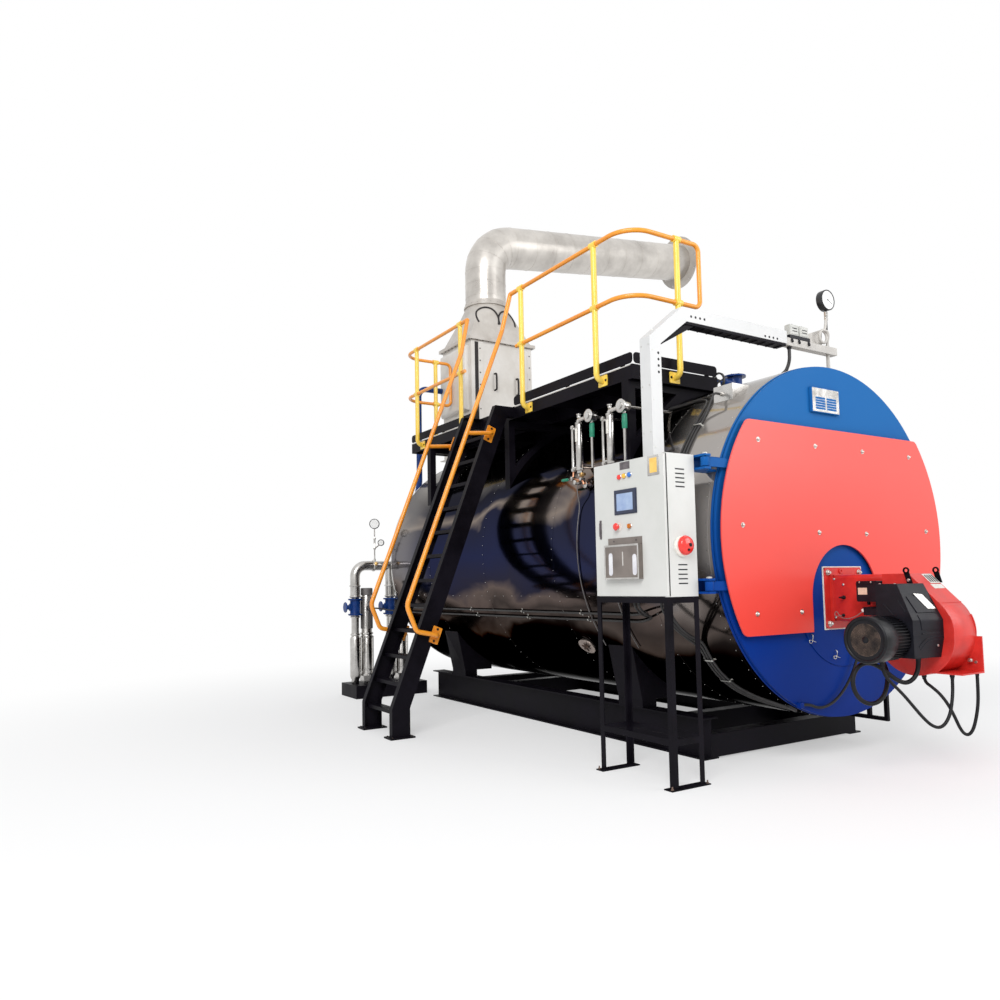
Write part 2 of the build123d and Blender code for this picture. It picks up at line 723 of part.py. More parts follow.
# Free cables of the burner, all held by the burner and its door
for name, route, radius in (
    ("supply_cable", SUPPLY_ROUTE, SUPPLY_R),
    ("ring_hose", HOSE_ROUTE, HOSE_R),
    ("near_loop", NEAR_LOOP_ROUTE, LOOP_R),
    ("far_loop", FAR_LOOP_ROUTE, LOOP_R),
):
    with BuildPart() as burner_cable:
        add(cord(route, radius))
    save(burner_cable, name)

# Frame of square tube beside the front cross member
with BuildPart() as front_frame:
    with BuildSketch(Plane.XY.offset(CROSS_H)):
        with Locations(((FRAME_START + FRAME_END) / 2, FRAME_Y)):
            Rectangle(FRAME_END - FRAME_START, FRAME_TUBE)
    extrude(amount=FRAME_TUBE)
    with BuildSketch(Plane.XY.offset(CROSS_H)):
        with Locations((FRAME_END - FRAME_TUBE / 2, FRAME_Y), (FRAME_END - FRAME_POST_BACK, FRAME_Y)):
            Rectangle(FRAME_TUBE, FRAME_TUBE)
    extrude(amount=SKID_H)
    with BuildSketch(Plane.YZ.offset(FRAME_START)):
        with Locations((0, AXIS_Z)):
            Circle(SHELL_R + FIT)
    extrude(amount=FRAME_END - FRAME_START, mode=Mode.SUBTRACT)
save(front_frame, "front_frame")

# Skid: two beams and the cross members between them
for side, name in ((-1, "skid_beam_near"), (1, "skid_beam_far")):
    with BuildPart() as beam:
        beam_y = side * (SKID_OUT - SKID_FLANGE / 2)
        with BuildSketch(Plane.YZ.offset(SKID_REAR)):
            with Locations((beam_y, SKID_PLATE / 2), (beam_y, SKID_H - SKID_PLATE / 2)):
                Rectangle(SKID_FLANGE, SKID_PLATE)
            with Locations((beam_y, SKID_H / 2)):
                Rectangle(SKID_PLATE, SKID_H)
        extrude(amount=SKID_FRONT - SKID_REAR)
    save(beam, name)

CROSS_X = (SKID_FRONT - CROSS_W / 2, SADDLE_X[0], SADDLE_X[1], SKID_REAR + CROSS_W / 2)
BEAM_WEB_Y = SKID_OUT - SKID_FLANGE / 2 - SKID_PLATE / 2
with BuildPart() as skid_cross_members:
    for x in CROSS_X:
        with BuildSketch(Plane.XZ.offset(-BEAM_WEB_Y)):
            with Locations((x, SKID_PLATE + (CROSS_H - SKID_PLATE) / 2)):
                Rectangle(CROSS_W, CROSS_H - SKID_PLATE)
        extrude(amount=2 * BEAM_WEB_Y)
    with BuildSketch(Plane.XY):
        with Locations((SADDLE_X[0], 0)):
            Rectangle(CROSS_W, 2 * (SKID_OUT - SKID_FLANGE) - 2)
    extrude(amount=SKID_PLATE)
save(skid_cross_members, "skid_cross_members")

# Saddles: a leg on each beam, cut to the shell
saddle_inner_y = SHELL_R * sin(radians(SADDLE_INNER))
saddle_outer_y = SHELL_R * sin(radians(SADDLE_OUTER))
for x, name in zip(SADDLE_X, ("saddle_front", "saddle_rear")):
    with BuildPart() as saddle:
        for side in (-1, 1):
            with BuildSketch(Plane.YZ.offset(x - SADDLE_W / 2)):
                with BuildLine():
                    Polyline(
                        (side * (SKID_OUT - SKID_FLANGE), SKID_H),
                        (side * SKID_OUT, SKID_H),
                        (side * SKID_OUT, SKID_H + SADDLE_STEP),
                        (side * saddle_outer_y, shell_edge(saddle_outer_y)),
                        (side * saddle_outer_y, AXIS_Z),
                        (side * saddle_inner_y, AXIS_Z),
                        (side * saddle_inner_y, SKID_H + SADDLE_STEP),
                        (side * (SKID_OUT - SKID_FLANGE), SKID_H + SADDLE_STEP),
                        close=True,
                    )
                make_face()
            extrude(amount=SADDLE_W)
        with BuildSketch(Plane.YZ.offset(x - SADDLE_W / 2)):
            with Locations((0, AXIS_Z)):
                Circle(SHELL_R + FIT)
        extrude(amount=SADDLE_W, mode=Mode.SUBTRACT)
    save(saddle, name)

# Handhole cover low on the near side
HANDHOLE_X = FRONT - 1700
HANDHOLE_TILT = 39.3      # degrees below level
HANDHOLE_T = 18
handhole_dir = Vector(0, -cos(radians(HANDHOLE_TILT)), -sin(radians(HANDHOLE_TILT)))
handhole_plane = Plane(
    origin=Vector(HANDHOLE_X, 0, AXIS_Z) + handhole_dir * (SHELL_R - 6),
    x_dir=(1, 0, 0),
    z_dir=handhole_dir,
)
with BuildPart() as handhole_cover:
    with BuildSketch(handhole_plane):
        Ellipse(95, 75)
    extrude(amount=HANDHOLE_T + 6)
    with BuildSketch(Plane.YZ.offset(HANDHOLE_X - 150)):
        with Locations((0, AXIS_Z)):
            Circle(SHELL_R + FIT)
    extrude(amount=300, mode=Mode.SUBTRACT)
save(handhole_cover, "handhole_cover")

# Platform outline, notched round the economiser
NOTCH_X = ECO_X + ECO_LENGTH / 2 + ECO_FLANGE_OUT + NOTCH_GAP
NOTCH_Y = -ECO_WIDTH / 2 - ECO_FLANGE_OUT - NOTCH_GAP
DECK_OUTLINE = (
    (DECK_REAR, DECK_NEAR),
    (DECK_FRONT, DECK_NEAR),
    (DECK_FRONT, DECK_FAR),
    (NOTCH_X, DECK_FAR),
    (NOTCH_X, NOTCH_Y),
    (DECK_REAR, NOTCH_Y),
)

# Platform frame: channels round the outline and joists between
with BuildPart() as platform_frame:
    with BuildSketch(Plane.XY.offset(CHANNEL_Z)):
        with BuildLine():
            Polyline(*DECK_OUTLINE, close=True)
        make_face()
        offset(amount=-CHANNEL_T, mode=Mode.SUBTRACT)
        with Locations(*[(DECK_FRONT - (i + 1) * JOIST_PITCH, (DECK_NEAR + DECK_FAR) / 2) for i in range(JOISTS)]):
            Rectangle(JOIST_T, DECK_FAR - DECK_NEAR)
        with Locations((NOTCH_X - JOIST_T / 2, (DECK_NEAR + NOTCH_Y) / 2)):
            Rectangle(JOIST_T, NOTCH_Y - DECK_NEAR)
        with Locations(((DECK_FRONT + DECK_REAR) / 2, (DECK_NEAR + DECK_FAR) / 2 - JOIST_T)):
            Rectangle(DECK_FRONT - DECK_REAR, JOIST_T)
    extrude(amount=CHANNEL_H)
save(platform_frame, "platform_frame")

# Deck plate
with BuildPart() as platform_deck:
    with BuildSketch(Plane.XY.offset(DECK_Z)):
        with BuildLine():
            Polyline(*DECK_OUTLINE, close=True)
        make_face()
    extrude(amount=DECK_T)
save(platform_deck, "platform_deck")

# Platform brackets on the shell: a post at the outer channel and a pad at the inner one
with BuildPart() as platform_brackets:
    for x in BRACKET_X:
        with BuildSketch(Plane.YZ.offset(x - BRACKET_W / 2)):
            with BuildLine():
                Polyline(
                    (DECK_NEAR, CHANNEL_Z),
                    (DECK_FAR, CHANNEL_Z),
                    (DECK_FAR, AXIS_Z + SHELL_R - 400),
                    (DECK_NEAR, AXIS_Z + SHELL_R - 780),
                    close=True,
                )
            make_face()
            with Locations((0, AXIS_Z)):
                Circle(SHELL_R + FIT, mode=Mode.SUBTRACT)
            with BuildLine():
                Polyline(
                    (DECK_NEAR + BRACKET_POST, CHANNEL_Z - BRACKET_ARM),
                    (DECK_NEAR + BRACKET_REACH, CHANNEL_Z - BRACKET_ARM),
                    (DECK_NEAR + BRACKET_POST, CHANNEL_Z - BRACKET_DROP),
                    close=True,
                )
            make_face(mode=Mode.SUBTRACT)
        extrude(amount=BRACKET_W)
save(platform_brackets, "platform_brackets")

# Toe boards on clips, with a gap where the ladder lands
LADDER_FAR_X = LADDER_NEAR_X + LADDER_WIDTH
TOE_Z = DECK_Z + DECK_T + TOE_LIFT
with BuildPart() as toe_boards:
    for start, end in ((DECK_REAR, LADDER_NEAR_X), (LADDER_FAR_X, DECK_FRONT)):
        with BuildSketch(Plane.XZ.offset(-DECK_NEAR)):
            with Locations(((start + end) / 2, TOE_Z + TOE_H / 2)):
                RectangleRounded(end - start, TOE_H, TOE_ROUND)
        extrude(amount=-TOE_T)
        with BuildSketch(Plane.XZ.offset(-DECK_NEAR - TOE_T)):
            for x in (start + TOE_CLIP_IN, (start + end) / 2, end - TOE_CLIP_IN):
                with Locations((x, DECK_Z + DECK_T + TOE_CLIP / 2)):
                    Rectangle(TOE_CLIP, TOE_CLIP)
        extrude(amount=-TOE_T)
    with BuildSketch(Plane.YZ.offset(DECK_FRONT - TOE_T)):
        with Locations(((DECK_NEAR + DECK_FAR) / 2 + TOE_T, TOE_Z + TOE_H / 2)):
            RectangleRounded(DECK_FAR - DECK_NEAR - 4 * TOE_T, TOE_H, TOE_ROUND)
    extrude(amount=TOE_T)
    with BuildSketch(Plane.YZ.offset(DECK_FRONT - 2 * TOE_T)):
        for y in (DECK_NEAR + TOE_CLIP_IN, DECK_FAR - TOE_CLIP_IN):
            with Locations((y, DECK_Z + DECK_T + TOE_CLIP / 2)):
                Rectangle(TOE_CLIP, TOE_CLIP)
    extrude(amount=TOE_T)
save(toe_boards, "toe_boards")

# Guardrails
RAIL_START_X = LADDER_FAR_X + HANDRAIL_OUT + 110
RAIL_END_Y = -440
RAIL_END_BEND = 60
with BuildPart() as guardrail_front:
    add(bent_bar(
        (
            (RAIL_START_X, POST_Y, MID_RAIL),
            (POST_FRONT_X, POST_Y, MID_RAIL),
            (POST_FRONT_X, RAIL_END_Y, MID_RAIL),
            (POST_FRONT_X, RAIL_END_Y, TOP_RAIL),
            (POST_FRONT_X, POST_Y, TOP_RAIL),
            (RAIL_START_X, POST_Y, TOP_RAIL),
        ),
        (RAIL_BEND, RAIL_END_BEND, RAIL_END_BEND, RAIL_BEND),
        RAIL_R,
    ))
save(guardrail_front, "guardrail_front")

REAR_START_X = LADDER_NEAR_X - HANDRAIL_OUT - 90
REAR_X = DECK_REAR - POST_OUT
REAR_END_Y = -560
with BuildPart() as guardrail_rear:
    add(bent_bar(
        (
            (REAR_START_X, POST_Y, MID_RAIL),
            (REAR_X, POST_Y, MID_RAIL),
            (REAR_X, REAR_END_Y, MID_RAIL),
            (REAR_X, REAR_END_Y, TOP_RAIL),
            (REAR_X, POST_Y, TOP_RAIL),
            (REAR_START_X, POST_Y, TOP_RAIL),
        ),
        (RAIL_BEND, RAIL_END_BEND, RAIL_END_BEND, RAIL_BEND),
        RAIL_R,
    ))
save(guardrail_rear, "guardrail_rear")

# Posts: a bar with a bent foot, a bolted plate on the channel and a tee at each rail
FOOT_Z = CHANNEL_Z + CHANNEL_H / 2


def guard_post():
    """One post, with the channel face at y = 0 and the post in front of it."""
    with BuildPart() as post:
        add(bent_bar(
            ((0, -FOOT_T, FOOT_Z), (0, -POST_OUT, FOOT_Z), (0, -POST_OUT, TOP_RAIL)),
            POST_OUT - FOOT_T - 4,
            POST_R,
        ))
        with BuildSketch(Plane.XZ):
            with Locations((0, FOOT_Z)):
                RectangleRounded(FOOT_PLATE, FOOT_PLATE - 20, 8)
        extrude(amount=FOOT_T)
        with BuildSketch(Plane.YZ.offset(-TEE_L / 2)):
            with Locations((-POST_OUT, MID_RAIL), (-POST_OUT, TOP_RAIL)):
                Circle(TEE_R)
        extrude(amount=TEE_L)
        with BuildSketch(Plane.YZ.offset(-TEE_L)):
            with Locations((-POST_OUT, MID_RAIL), (-POST_OUT, TOP_RAIL)):
                Circle(RAIL_R + FIT)
        extrude(amount=2 * TEE_L, mode=Mode.SUBTRACT)
    return post.part


with BuildPart() as guard_posts_front:
    with Locations(
        Location((25, DECK_NEAR, 0)),
        Location((LADDER_FAR_X + 260, DECK_NEAR, 0)),
        Location((DECK_FRONT, -690, 0), (0, 0, 90)),
    ):
        add(guard_post())
save(guard_posts_front, "guard_posts_front")

with BuildPart() as guard_posts_rear:
    with Locations(
        Location((LADDER_NEAR_X - 240, DECK_NEAR, 0)),
        Location((DECK_REAR + 300, DECK_NEAR, 0)),
        Location((DECK_REAR, -770, 0), (0, 0, -90)),
    ):
        add(guard_post())
save(guard_posts_rear, "guard_posts_rear")

# Ladder stringers: channels with an upright foot and a level head
LEAN_ANGLE = degrees(atan(LADDER_RUN))
HEAD_Z = CHANNEL_Z + 12
FOOT_BACK = LADDER_FOOT_Y + STRINGER_DEPTH
STRINGER = (
    (LADDER_FOOT_Y, LADDER_PLATE),
    (LADDER_FOOT_Y, LADDER_KNEE),
    (LADDER_FOOT_Y + LADDER_RUN * (DECK_Z - LADDER_KNEE), DECK_Z),
    (DECK_NEAR, DECK_Z),
    (DECK_NEAR, HEAD_Z),
    (FOOT_BACK + LADDER_RUN * (HEAD_Z - LADDER_KNEE), HEAD_Z),
    (FOOT_BACK, LADDER_KNEE),
    (FOOT_BACK, LADDER_PLATE),
)
with BuildPart() as ladder_stringers:
    for web_x, inward in ((LADDER_NEAR_X, 1), (LADDER_FAR_X, -1)):
        with BuildSketch(Plane.YZ.offset(web_x)):
            with BuildLine():
                Polyline(*STRINGER, close=True)
            make_face()
        extrude(amount=inward * STRINGER_WEB)
        with BuildSketch(Plane.YZ.offset(web_x)):
            with BuildLine():
                Polyline(*STRINGER, close=True)
            make_face()
            offset(amount=-STRINGER_WEB, mode=Mode.SUBTRACT)
        extrude(amount=inward * STRINGER_FLANGE)
        with BuildSketch(Plane.XY):
            with Locations((web_x + inward * LADDER_PLATE_IN, LADDER_FOOT_Y + STRINGER_DEPTH / 2)):
                Rectangle(LADDER_PLATE_X, LADDER_PLATE_Y)
        extrude(amount=LADDER_PLATE)
save(ladder_stringers, "ladder_stringers")

# Treads: plates with lips, set between the stringer webs
TREAD_WIDTH = LADDER_WIDTH - 2 * STRINGER_WEB
TREAD_NOSE = LADDER_FOOT_Y + TREAD_SET_BACK
with BuildPart() as ladder_treads:
    for step in range(TREADS):
        z = TREAD_FIRST + step * TREAD_RISE
        nose = TREAD_NOSE + LADDER_RUN * max(0, z - LADDER_KNEE)
        with BuildSketch(Plane.YZ.offset(LADDER_NEAR_X + STRINGER_WEB)):
            with Locations((nose + TREAD_DEPTH / 2, z - TREAD_LIP / 2)):
                Rectangle(TREAD_DEPTH, TREAD_LIP)
            with Locations((nose + TREAD_DEPTH / 2, z - TREAD_LIP / 2 - TREAD_T)):
                Rectangle(TREAD_DEPTH - 2 * TREAD_T, TREAD_LIP, mode=Mode.SUBTRACT)
        extrude(amount=TREAD_WIDTH)
save(ladder_treads, "ladder_treads")

# Handrails of the ladder, on brackets at the outside of the stringers
RAIL_LINE = LADDER_FOOT_Y - 50 - HANDRAIL_FRONT


HANDRAIL_BENDS = (36, 60, 110, 60, 12)
HAND_PLACES = [
    (LADDER_FOOT_Y + LADDER_RUN * (z - LADDER_KNEE) + back, z)
    for z, back in zip(HAND_LEVELS, HAND_BACK)
]


def rail_y(z):
    """Handrail axis at a height."""
    return RAIL_LINE + LADDER_RUN * z


with BuildPart() as ladder_handrails:
    for web_x, outward, join_x in (
        (LADDER_NEAR_X, -1, REAR_START_X),
        (LADDER_FAR_X, 1, RAIL_START_X),
    ):
        rail_x = web_x + outward * HANDRAIL_OUT
        add(bent_bar(
            (
                (web_x + outward * FOOT_T, *HAND_PLACES[0]),
                (rail_x, *HAND_PLACES[0]),
                (rail_x, HAND_PLACES[0][0] - 212, HAND_LEVELS[0] + 43),
                (rail_x, rail_y(HAND_LEVELS[0] + 268), HAND_LEVELS[0] + 268),
                (rail_x, POST_Y - 90, (POST_Y - 90 - RAIL_LINE) / LADDER_RUN),
                (rail_x + outward * 20, POST_Y, TOP_RAIL),
                (join_x, POST_Y, TOP_RAIL),
            ),
            HANDRAIL_BENDS,
            HANDRAIL_R,
        ))
        add(bent_bar(
            (
                (web_x + outward * FOOT_T, *HAND_PLACES[1]),
                (rail_x, *HAND_PLACES[1]),
                (rail_x, rail_y(HAND_LEVELS[1] - 25), HAND_LEVELS[1] - 25),
            ),
            36,
            HANDRAIL_R - 2,
        ))
        with BuildSketch(Plane.YZ.offset(web_x)):
            for place in HAND_PLACES:
                with Locations(Location((*place, 0), (0, 0, -LEAN_ANGLE))):
                    RectangleRounded(*HAND_BRACKET, 8)
        extrude(amount=outward * FOOT_T)
save(ladder_handrails, "ladder_handrails")

# Control cabinet body, open at the front
CAB_MID_X = CAB_LEFT + CAB_WIDTH / 2
BODY_FRONT_Y = CAB_FRONT_Y + CAB_DOOR_T + CAB_DOOR_GAP
CAB_PIVOT_X = CAB_LEFT + CAB_WIDTH - CAB_PIVOT_IN
CAB_PIVOT_Y = CAB_FRONT_Y + CAB_PIVOT_BACK
BODY_D = CAB_BACK_Y - BODY_FRONT_Y
with BuildPart() as cabinet_body:
    with BuildSketch(Plane.XZ.offset(-CAB_BACK_Y)):
        with Locations((CAB_MID_X, (CAB_BOTTOM + CAB_TOP) / 2)):
            Rectangle(CAB_WIDTH, CAB_TOP - CAB_BOTTOM)
    extrude(amount=BODY_D)
    with BuildSketch(Plane.XZ.offset(-CAB_BACK_Y + CAB_SHEET)):
        with Locations((CAB_MID_X, (CAB_BOTTOM + CAB_TOP) / 2)):
            Rectangle(CAB_WIDTH - 2 * CAB_SHEET, CAB_TOP - CAB_BOTTOM - 2 * CAB_SHEET)
    extrude(amount=BODY_D, mode=Mode.SUBTRACT)
    for z, inward in ((CAB_BOTTOM, 1), (CAB_TOP, -1)):
        with BuildSketch(Plane.XY.offset(z)):
            with Locations((CAB_LEFT + CAB_WIDTH - CAB_PIVOT_IN, (CAB_FRONT_Y + BODY_FRONT_Y) / 2)):
                Rectangle(2 * CAB_PIVOT_IN, CAB_DOOR_T + CAB_DOOR_GAP)
        extrude(amount=inward * CAB_PIVOT_TAB)
        with BuildSketch(Plane.XY.offset(z)):
            with Locations((CAB_PIVOT_X, CAB_PIVOT_Y)):
                Circle(CAB_PIVOT_R)
        extrude(amount=inward * CAB_PIVOT_L)
save(cabinet_body, "cabinet_body")

with BuildPart() as cabinet_door:
    with BuildSketch(Plane.XZ.offset(-CAB_FRONT_Y - CAB_DOOR_T)):
        with Locations((CAB_MID_X, (CAB_BOTTOM + CAB_TOP) / 2)):
            Rectangle(CAB_WIDTH - 2 * CAB_DOOR_EDGE, CAB_TOP - CAB_BOTTOM - 2 * CAB_DOOR_EDGE)
    extrude(amount=CAB_DOOR_T)
    for z, inward in ((CAB_BOTTOM, 1), (CAB_TOP, -1)):
        with BuildSketch(Plane.XY.offset(z)):
            with Locations((CAB_PIVOT_X, CAB_PIVOT_Y)):
                Circle(CAB_PIVOT_R + PIN_CLEAR)
        extrude(amount=inward * (CAB_PIVOT_L + CAB_PIVOT_R), mode=Mode.SUBTRACT)
save(cabinet_door, "cabinet_door")

# Document pocket on the cabinet door
with BuildPart() as document_pocket:
    with BuildSketch(Plane.XZ.offset(-CAB_FRONT_Y)):
        with Locations((CAB_LEFT + POCKET_X, CAB_BOTTOM + POCKET_Z)):
            Rectangle(POCKET_W, POCKET_H)
    extrude(amount=POCKET_D)
    with BuildSketch(Plane.XZ.offset(-CAB_FRONT_Y + POCKET_SHEET)):
        with Locations((CAB_LEFT + POCKET_X, CAB_BOTTOM + POCKET_Z + POCKET_SHEET)):
            Rectangle(POCKET_W - 2 * POCKET_SHEET, POCKET_H)
    extrude(amount=POCKET_D - 2 * POCKET_SHEET, mode=Mode.SUBTRACT)
    with BuildSketch(Plane.XZ.offset(-CAB_FRONT_Y)):
        with Locations((CAB_LEFT + POCKET_X, CAB_BOTTOM + POCKET_Z + POCKET_BACK / 2)):
            Rectangle(POCKET_W, POCKET_H + POCKET_BACK)
    extrude(amount=POCKET_SHEET)
save(document_pocket, "document_pocket")

# Cabinet stand: angle legs, two frames and floor plates
STAND_TOP = CAB_BOTTOM
STAND_MID_Y = (CAB_FRONT_Y + CAB_BACK_Y) / 2
STAND_DEPTH = CAB_BACK_Y - CAB_FRONT_Y
with BuildPart() as cabinet_stand:
    for x, right in ((CAB_LEFT, 1), (CAB_LEFT + CAB_WIDTH, -1)):
        for y, back in ((CAB_FRONT_Y, 1), (CAB_BACK_Y, -1)):
            with BuildSketch(Plane.XY.offset(STAND_FOOT_T)):
                with Locations((x + right * STAND_ANGLE / 2, y + back * STAND_T / 2)):
                    Rectangle(STAND_ANGLE, STAND_T)
                with Locations((x + right * STAND_T / 2, y + back * STAND_ANGLE / 2)):
                    Rectangle(STAND_T, STAND_ANGLE)
            extrude(amount=STAND_TOP - STAND_FOOT_T)
    for z in (STAND_TOP - STAND_ANGLE, STAND_BRACE_Z):
        with BuildSketch(Plane.XY.offset(z)):
            with Locations((CAB_MID_X, STAND_MID_Y)):
                Rectangle(CAB_WIDTH, STAND_DEPTH)
                Rectangle(CAB_WIDTH - 2 * STAND_T, STAND_DEPTH - 2 * STAND_T, mode=Mode.SUBTRACT)
        extrude(amount=STAND_ANGLE)
    with BuildSketch(Plane.XY):
        with Locations((CAB_LEFT + 20, STAND_MID_Y), (CAB_LEFT + CAB_WIDTH - 20, STAND_MID_Y)):
            Rectangle(STAND_FOOT_W, STAND_DEPTH + 70)
    extrude(amount=STAND_FOOT_T)
save(cabinet_stand, "cabinet_stand")

# Cable trunk from the cabinet up and across the top of the boiler
with BuildPart() as cable_trunk:
    with BuildSketch(Plane.YZ.offset(TRUNK_X)):
        with BuildLine():
            Polyline(
                (TRUNK_Y + TRUNK / 2, CAB_TOP),
                (TRUNK_Y + TRUNK / 2, TRUNK_ARM_Z + TRUNK_MITRE_IN[1]),
                (TRUNK_Y + TRUNK / 2 + TRUNK_MITRE_IN[0], TRUNK_ARM_Z),
                (TRUNK_ARM_END, TRUNK_ARM_Z),
                (TRUNK_ARM_END, TRUNK_ARM_Z + TRUNK),
                (TRUNK_Y - TRUNK / 2 + TRUNK_MITRE_OUT[0] + TRUNK / 2, TRUNK_ARM_Z + TRUNK),
                (TRUNK_Y - TRUNK / 2, TRUNK_ARM_Z + TRUNK + TRUNK_MITRE_OUT[1]),
                (TRUNK_Y - TRUNK / 2, CAB_TOP),
                close=True,
            )
        make_face()
    extrude(amount=TRUNK)
save(cable_trunk, "cable_trunk")

# Gauge rail at the end of the trunk, on a stalk from the shell
with BuildPart() as gauge_rail:
    with BuildSketch(Plane.XZ.offset(-TRUNK_ARM_END)):
        with Locations((TRUNK_X + TRUNK / 2, TRUNK_ARM_Z + CHANNEL_ARM_W / 2)):
            Rectangle(CHANNEL_ARM_W, CHANNEL_ARM_W)
    extrude(amount=-(CHANNEL_ARM_END - TRUNK_ARM_END))
    with BuildSketch(Plane.XY.offset(shell_crown(GAUGE_STALK_Y) - 20)):
        with Locations((TRUNK_X + TRUNK / 2, GAUGE_STALK_Y)):
            Circle(GAUGE_STALK_R)
    extrude(amount=TRUNK_ARM_Z - shell_crown(GAUGE_STALK_Y) + 20)
    with BuildSketch(Plane.YZ.offset(TRUNK_X)):
        with Locations((0, AXIS_Z)):
            Circle(SHELL_R + FIT)
    extrude(amount=TRUNK, mode=Mode.SUBTRACT)
save(gauge_rail, "gauge_rail")

# Pressure gauge on its siphon
with BuildPart() as pressure_gauge:
    with BuildSketch(Plane.XY.offset(TRUNK_ARM_Z + CHANNEL_ARM_W)):
        with Locations((TRUNK_X + TRUNK / 2, GAUGE_STALK_Y)):
            Circle(SIPHON_R)
    extrude(amount=DIAL_RISE - CHANNEL_ARM_W - DIAL_R / 2)
    with BuildSketch(Plane.YZ.offset(TRUNK_X + (TRUNK - DIAL_T) / 2)):
        with Locations((GAUGE_STALK_Y, TRUNK_ARM_Z + DIAL_RISE)):
            Circle(DIAL_R)
    extrude(amount=DIAL_T)
save(pressure_gauge, "pressure_gauge")

# Economiser casing, a closed housing
with BuildPart() as economiser_casing:
    with BuildSketch(Plane.XY.offset(ECO_TOP - ECO_H)):
        with Locations((ECO_X, 0)):
            Rectangle(ECO_LENGTH, ECO_WIDTH)
    extrude(amount=ECO_H)
    with BuildSketch(Plane.XZ.offset(ECO_WIDTH / 2)):
        with Locations((ECO_X, (POD_BOTTOM + POD_TOP) / 2)):
            Rectangle(POD_W, POD_TOP - POD_BOTTOM)
    extrude(amount=POD_D)
    fillet(
        economiser_casing.faces().sort_by(Axis.Y)[0].edges().filter_by(Axis.Y, reverse=True),
        POD_ROUND,
    )
save(economiser_casing, "economiser_casing")

# Flue collar under the economiser, on the shell
with BuildPart() as flue_collar:
    with BuildSketch(Plane.XY.offset(AXIS_Z + SHELL_R / 2)):
        with Locations((ECO_X, 0)):
            Rectangle(ECO_LENGTH - COLLAR_IN, ECO_WIDTH - COLLAR_IN)
    extrude(amount=SHELL_R / 2 + COLLAR_T)
    with BuildSketch(Plane.XY.offset(AXIS_Z + SHELL_R + COLLAR_T)):
        with Locations((ECO_X, 0)):
            Rectangle(ECO_LENGTH + 2 * ECO_FLANGE_OUT, ECO_WIDTH + 2 * ECO_FLANGE_OUT)
    extrude(amount=ECO_SEAT - COLLAR_T)
    with BuildSketch(Plane.YZ.offset(ECO_X - ECO_LENGTH)):
        with Locations((0, AXIS_Z)):
            Circle(SHELL_R + FIT)
    extrude(amount=2 * ECO_LENGTH, mode=Mode.SUBTRACT)
save(flue_collar, "flue_collar")

# Economiser flange and hood, square to round
with BuildPart() as economiser_hood:
    with BuildSketch(Plane.XY.offset(ECO_TOP)):
        with Locations((ECO_X, 0)):
            Rectangle(ECO_LENGTH + 2 * ECO_FLANGE_OUT, ECO_WIDTH + 2 * ECO_FLANGE_OUT)
    extrude(amount=ECO_FLANGE)
    with BuildSketch(Plane.XY.offset(ECO_TOP + ECO_FLANGE)):
        with Locations((ECO_X, 0)):
            Rectangle(ECO_LENGTH, ECO_WIDTH)
    with BuildSketch(Plane.XY.offset(ECO_TOP + ECO_FLANGE + HOOD_H)):
        with Locations((ECO_X, 0)):
            Circle(FLUE_R)
    loft()
save(economiser_hood, "economiser_hood")

# Flue: riser, elbow and the duct towards the chimney
RISER_FOOT = ECO_TOP + ECO_FLANGE + HOOD_H
ELBOW_Z = ECO_TOP + 1410
DUCT_DROP = sin(radians(DUCT_RISE)) / cos(radians(DUCT_RISE))
with BuildPart() as flue_duct:
    with BuildLine() as flue_run:
        FilletPolyline(
            (ECO_X, 0, RISER_FOOT),
            (ECO_X, 0, ELBOW_Z),
            (ECO_X, DUCT_END_Y, ELBOW_Z + DUCT_END_Y * DUCT_DROP),
            radius=420,
        )
    with BuildSketch(Plane(flue_run.line @ 0, z_dir=flue_run.line % 0)):
        Circle(FLUE_R)
        Circle(FLUE_R - FLUE_WALL, mode=Mode.SUBTRACT)
    sweep(path=flue_run.line)
save(flue_duct, "flue_duct")

with BuildPart() as duct_flange:
    end_plane = Plane(flue_run.line @ 1, z_dir=flue_run.line % 1)
    with BuildSketch(end_plane):
        Circle(DUCT_FLANGE_R)
        Circle(FLUE_R - FLUE_WALL, mode=Mode.SUBTRACT)
        with PolarLocations(DUCT_BOLT_R, DUCT_BOLTS):
            Circle(DUCT_HOLE_R, mode=Mode.SUBTRACT)
    extrude(amount=DUCT_FLANGE_T)
save(duct_flange, "duct_flange")

# Feed pump set behind the ladder
with BuildPart() as pump_base:
    with BuildSketch(Plane.XY):
        with Locations((PUMP_X, sum(PUMP_Y) / 2)):
            Rectangle(480, PUMP_Y[1] - PUMP_Y[0] + 460)
    extrude(amount=PUMP_BASE_Z)
save(pump_base, "pump_base")

PUMP_BOX_X = PUMP_X + PUMP_MOTOR_R - PUMP_BOX_IN + PUMP_BOX_D / 2
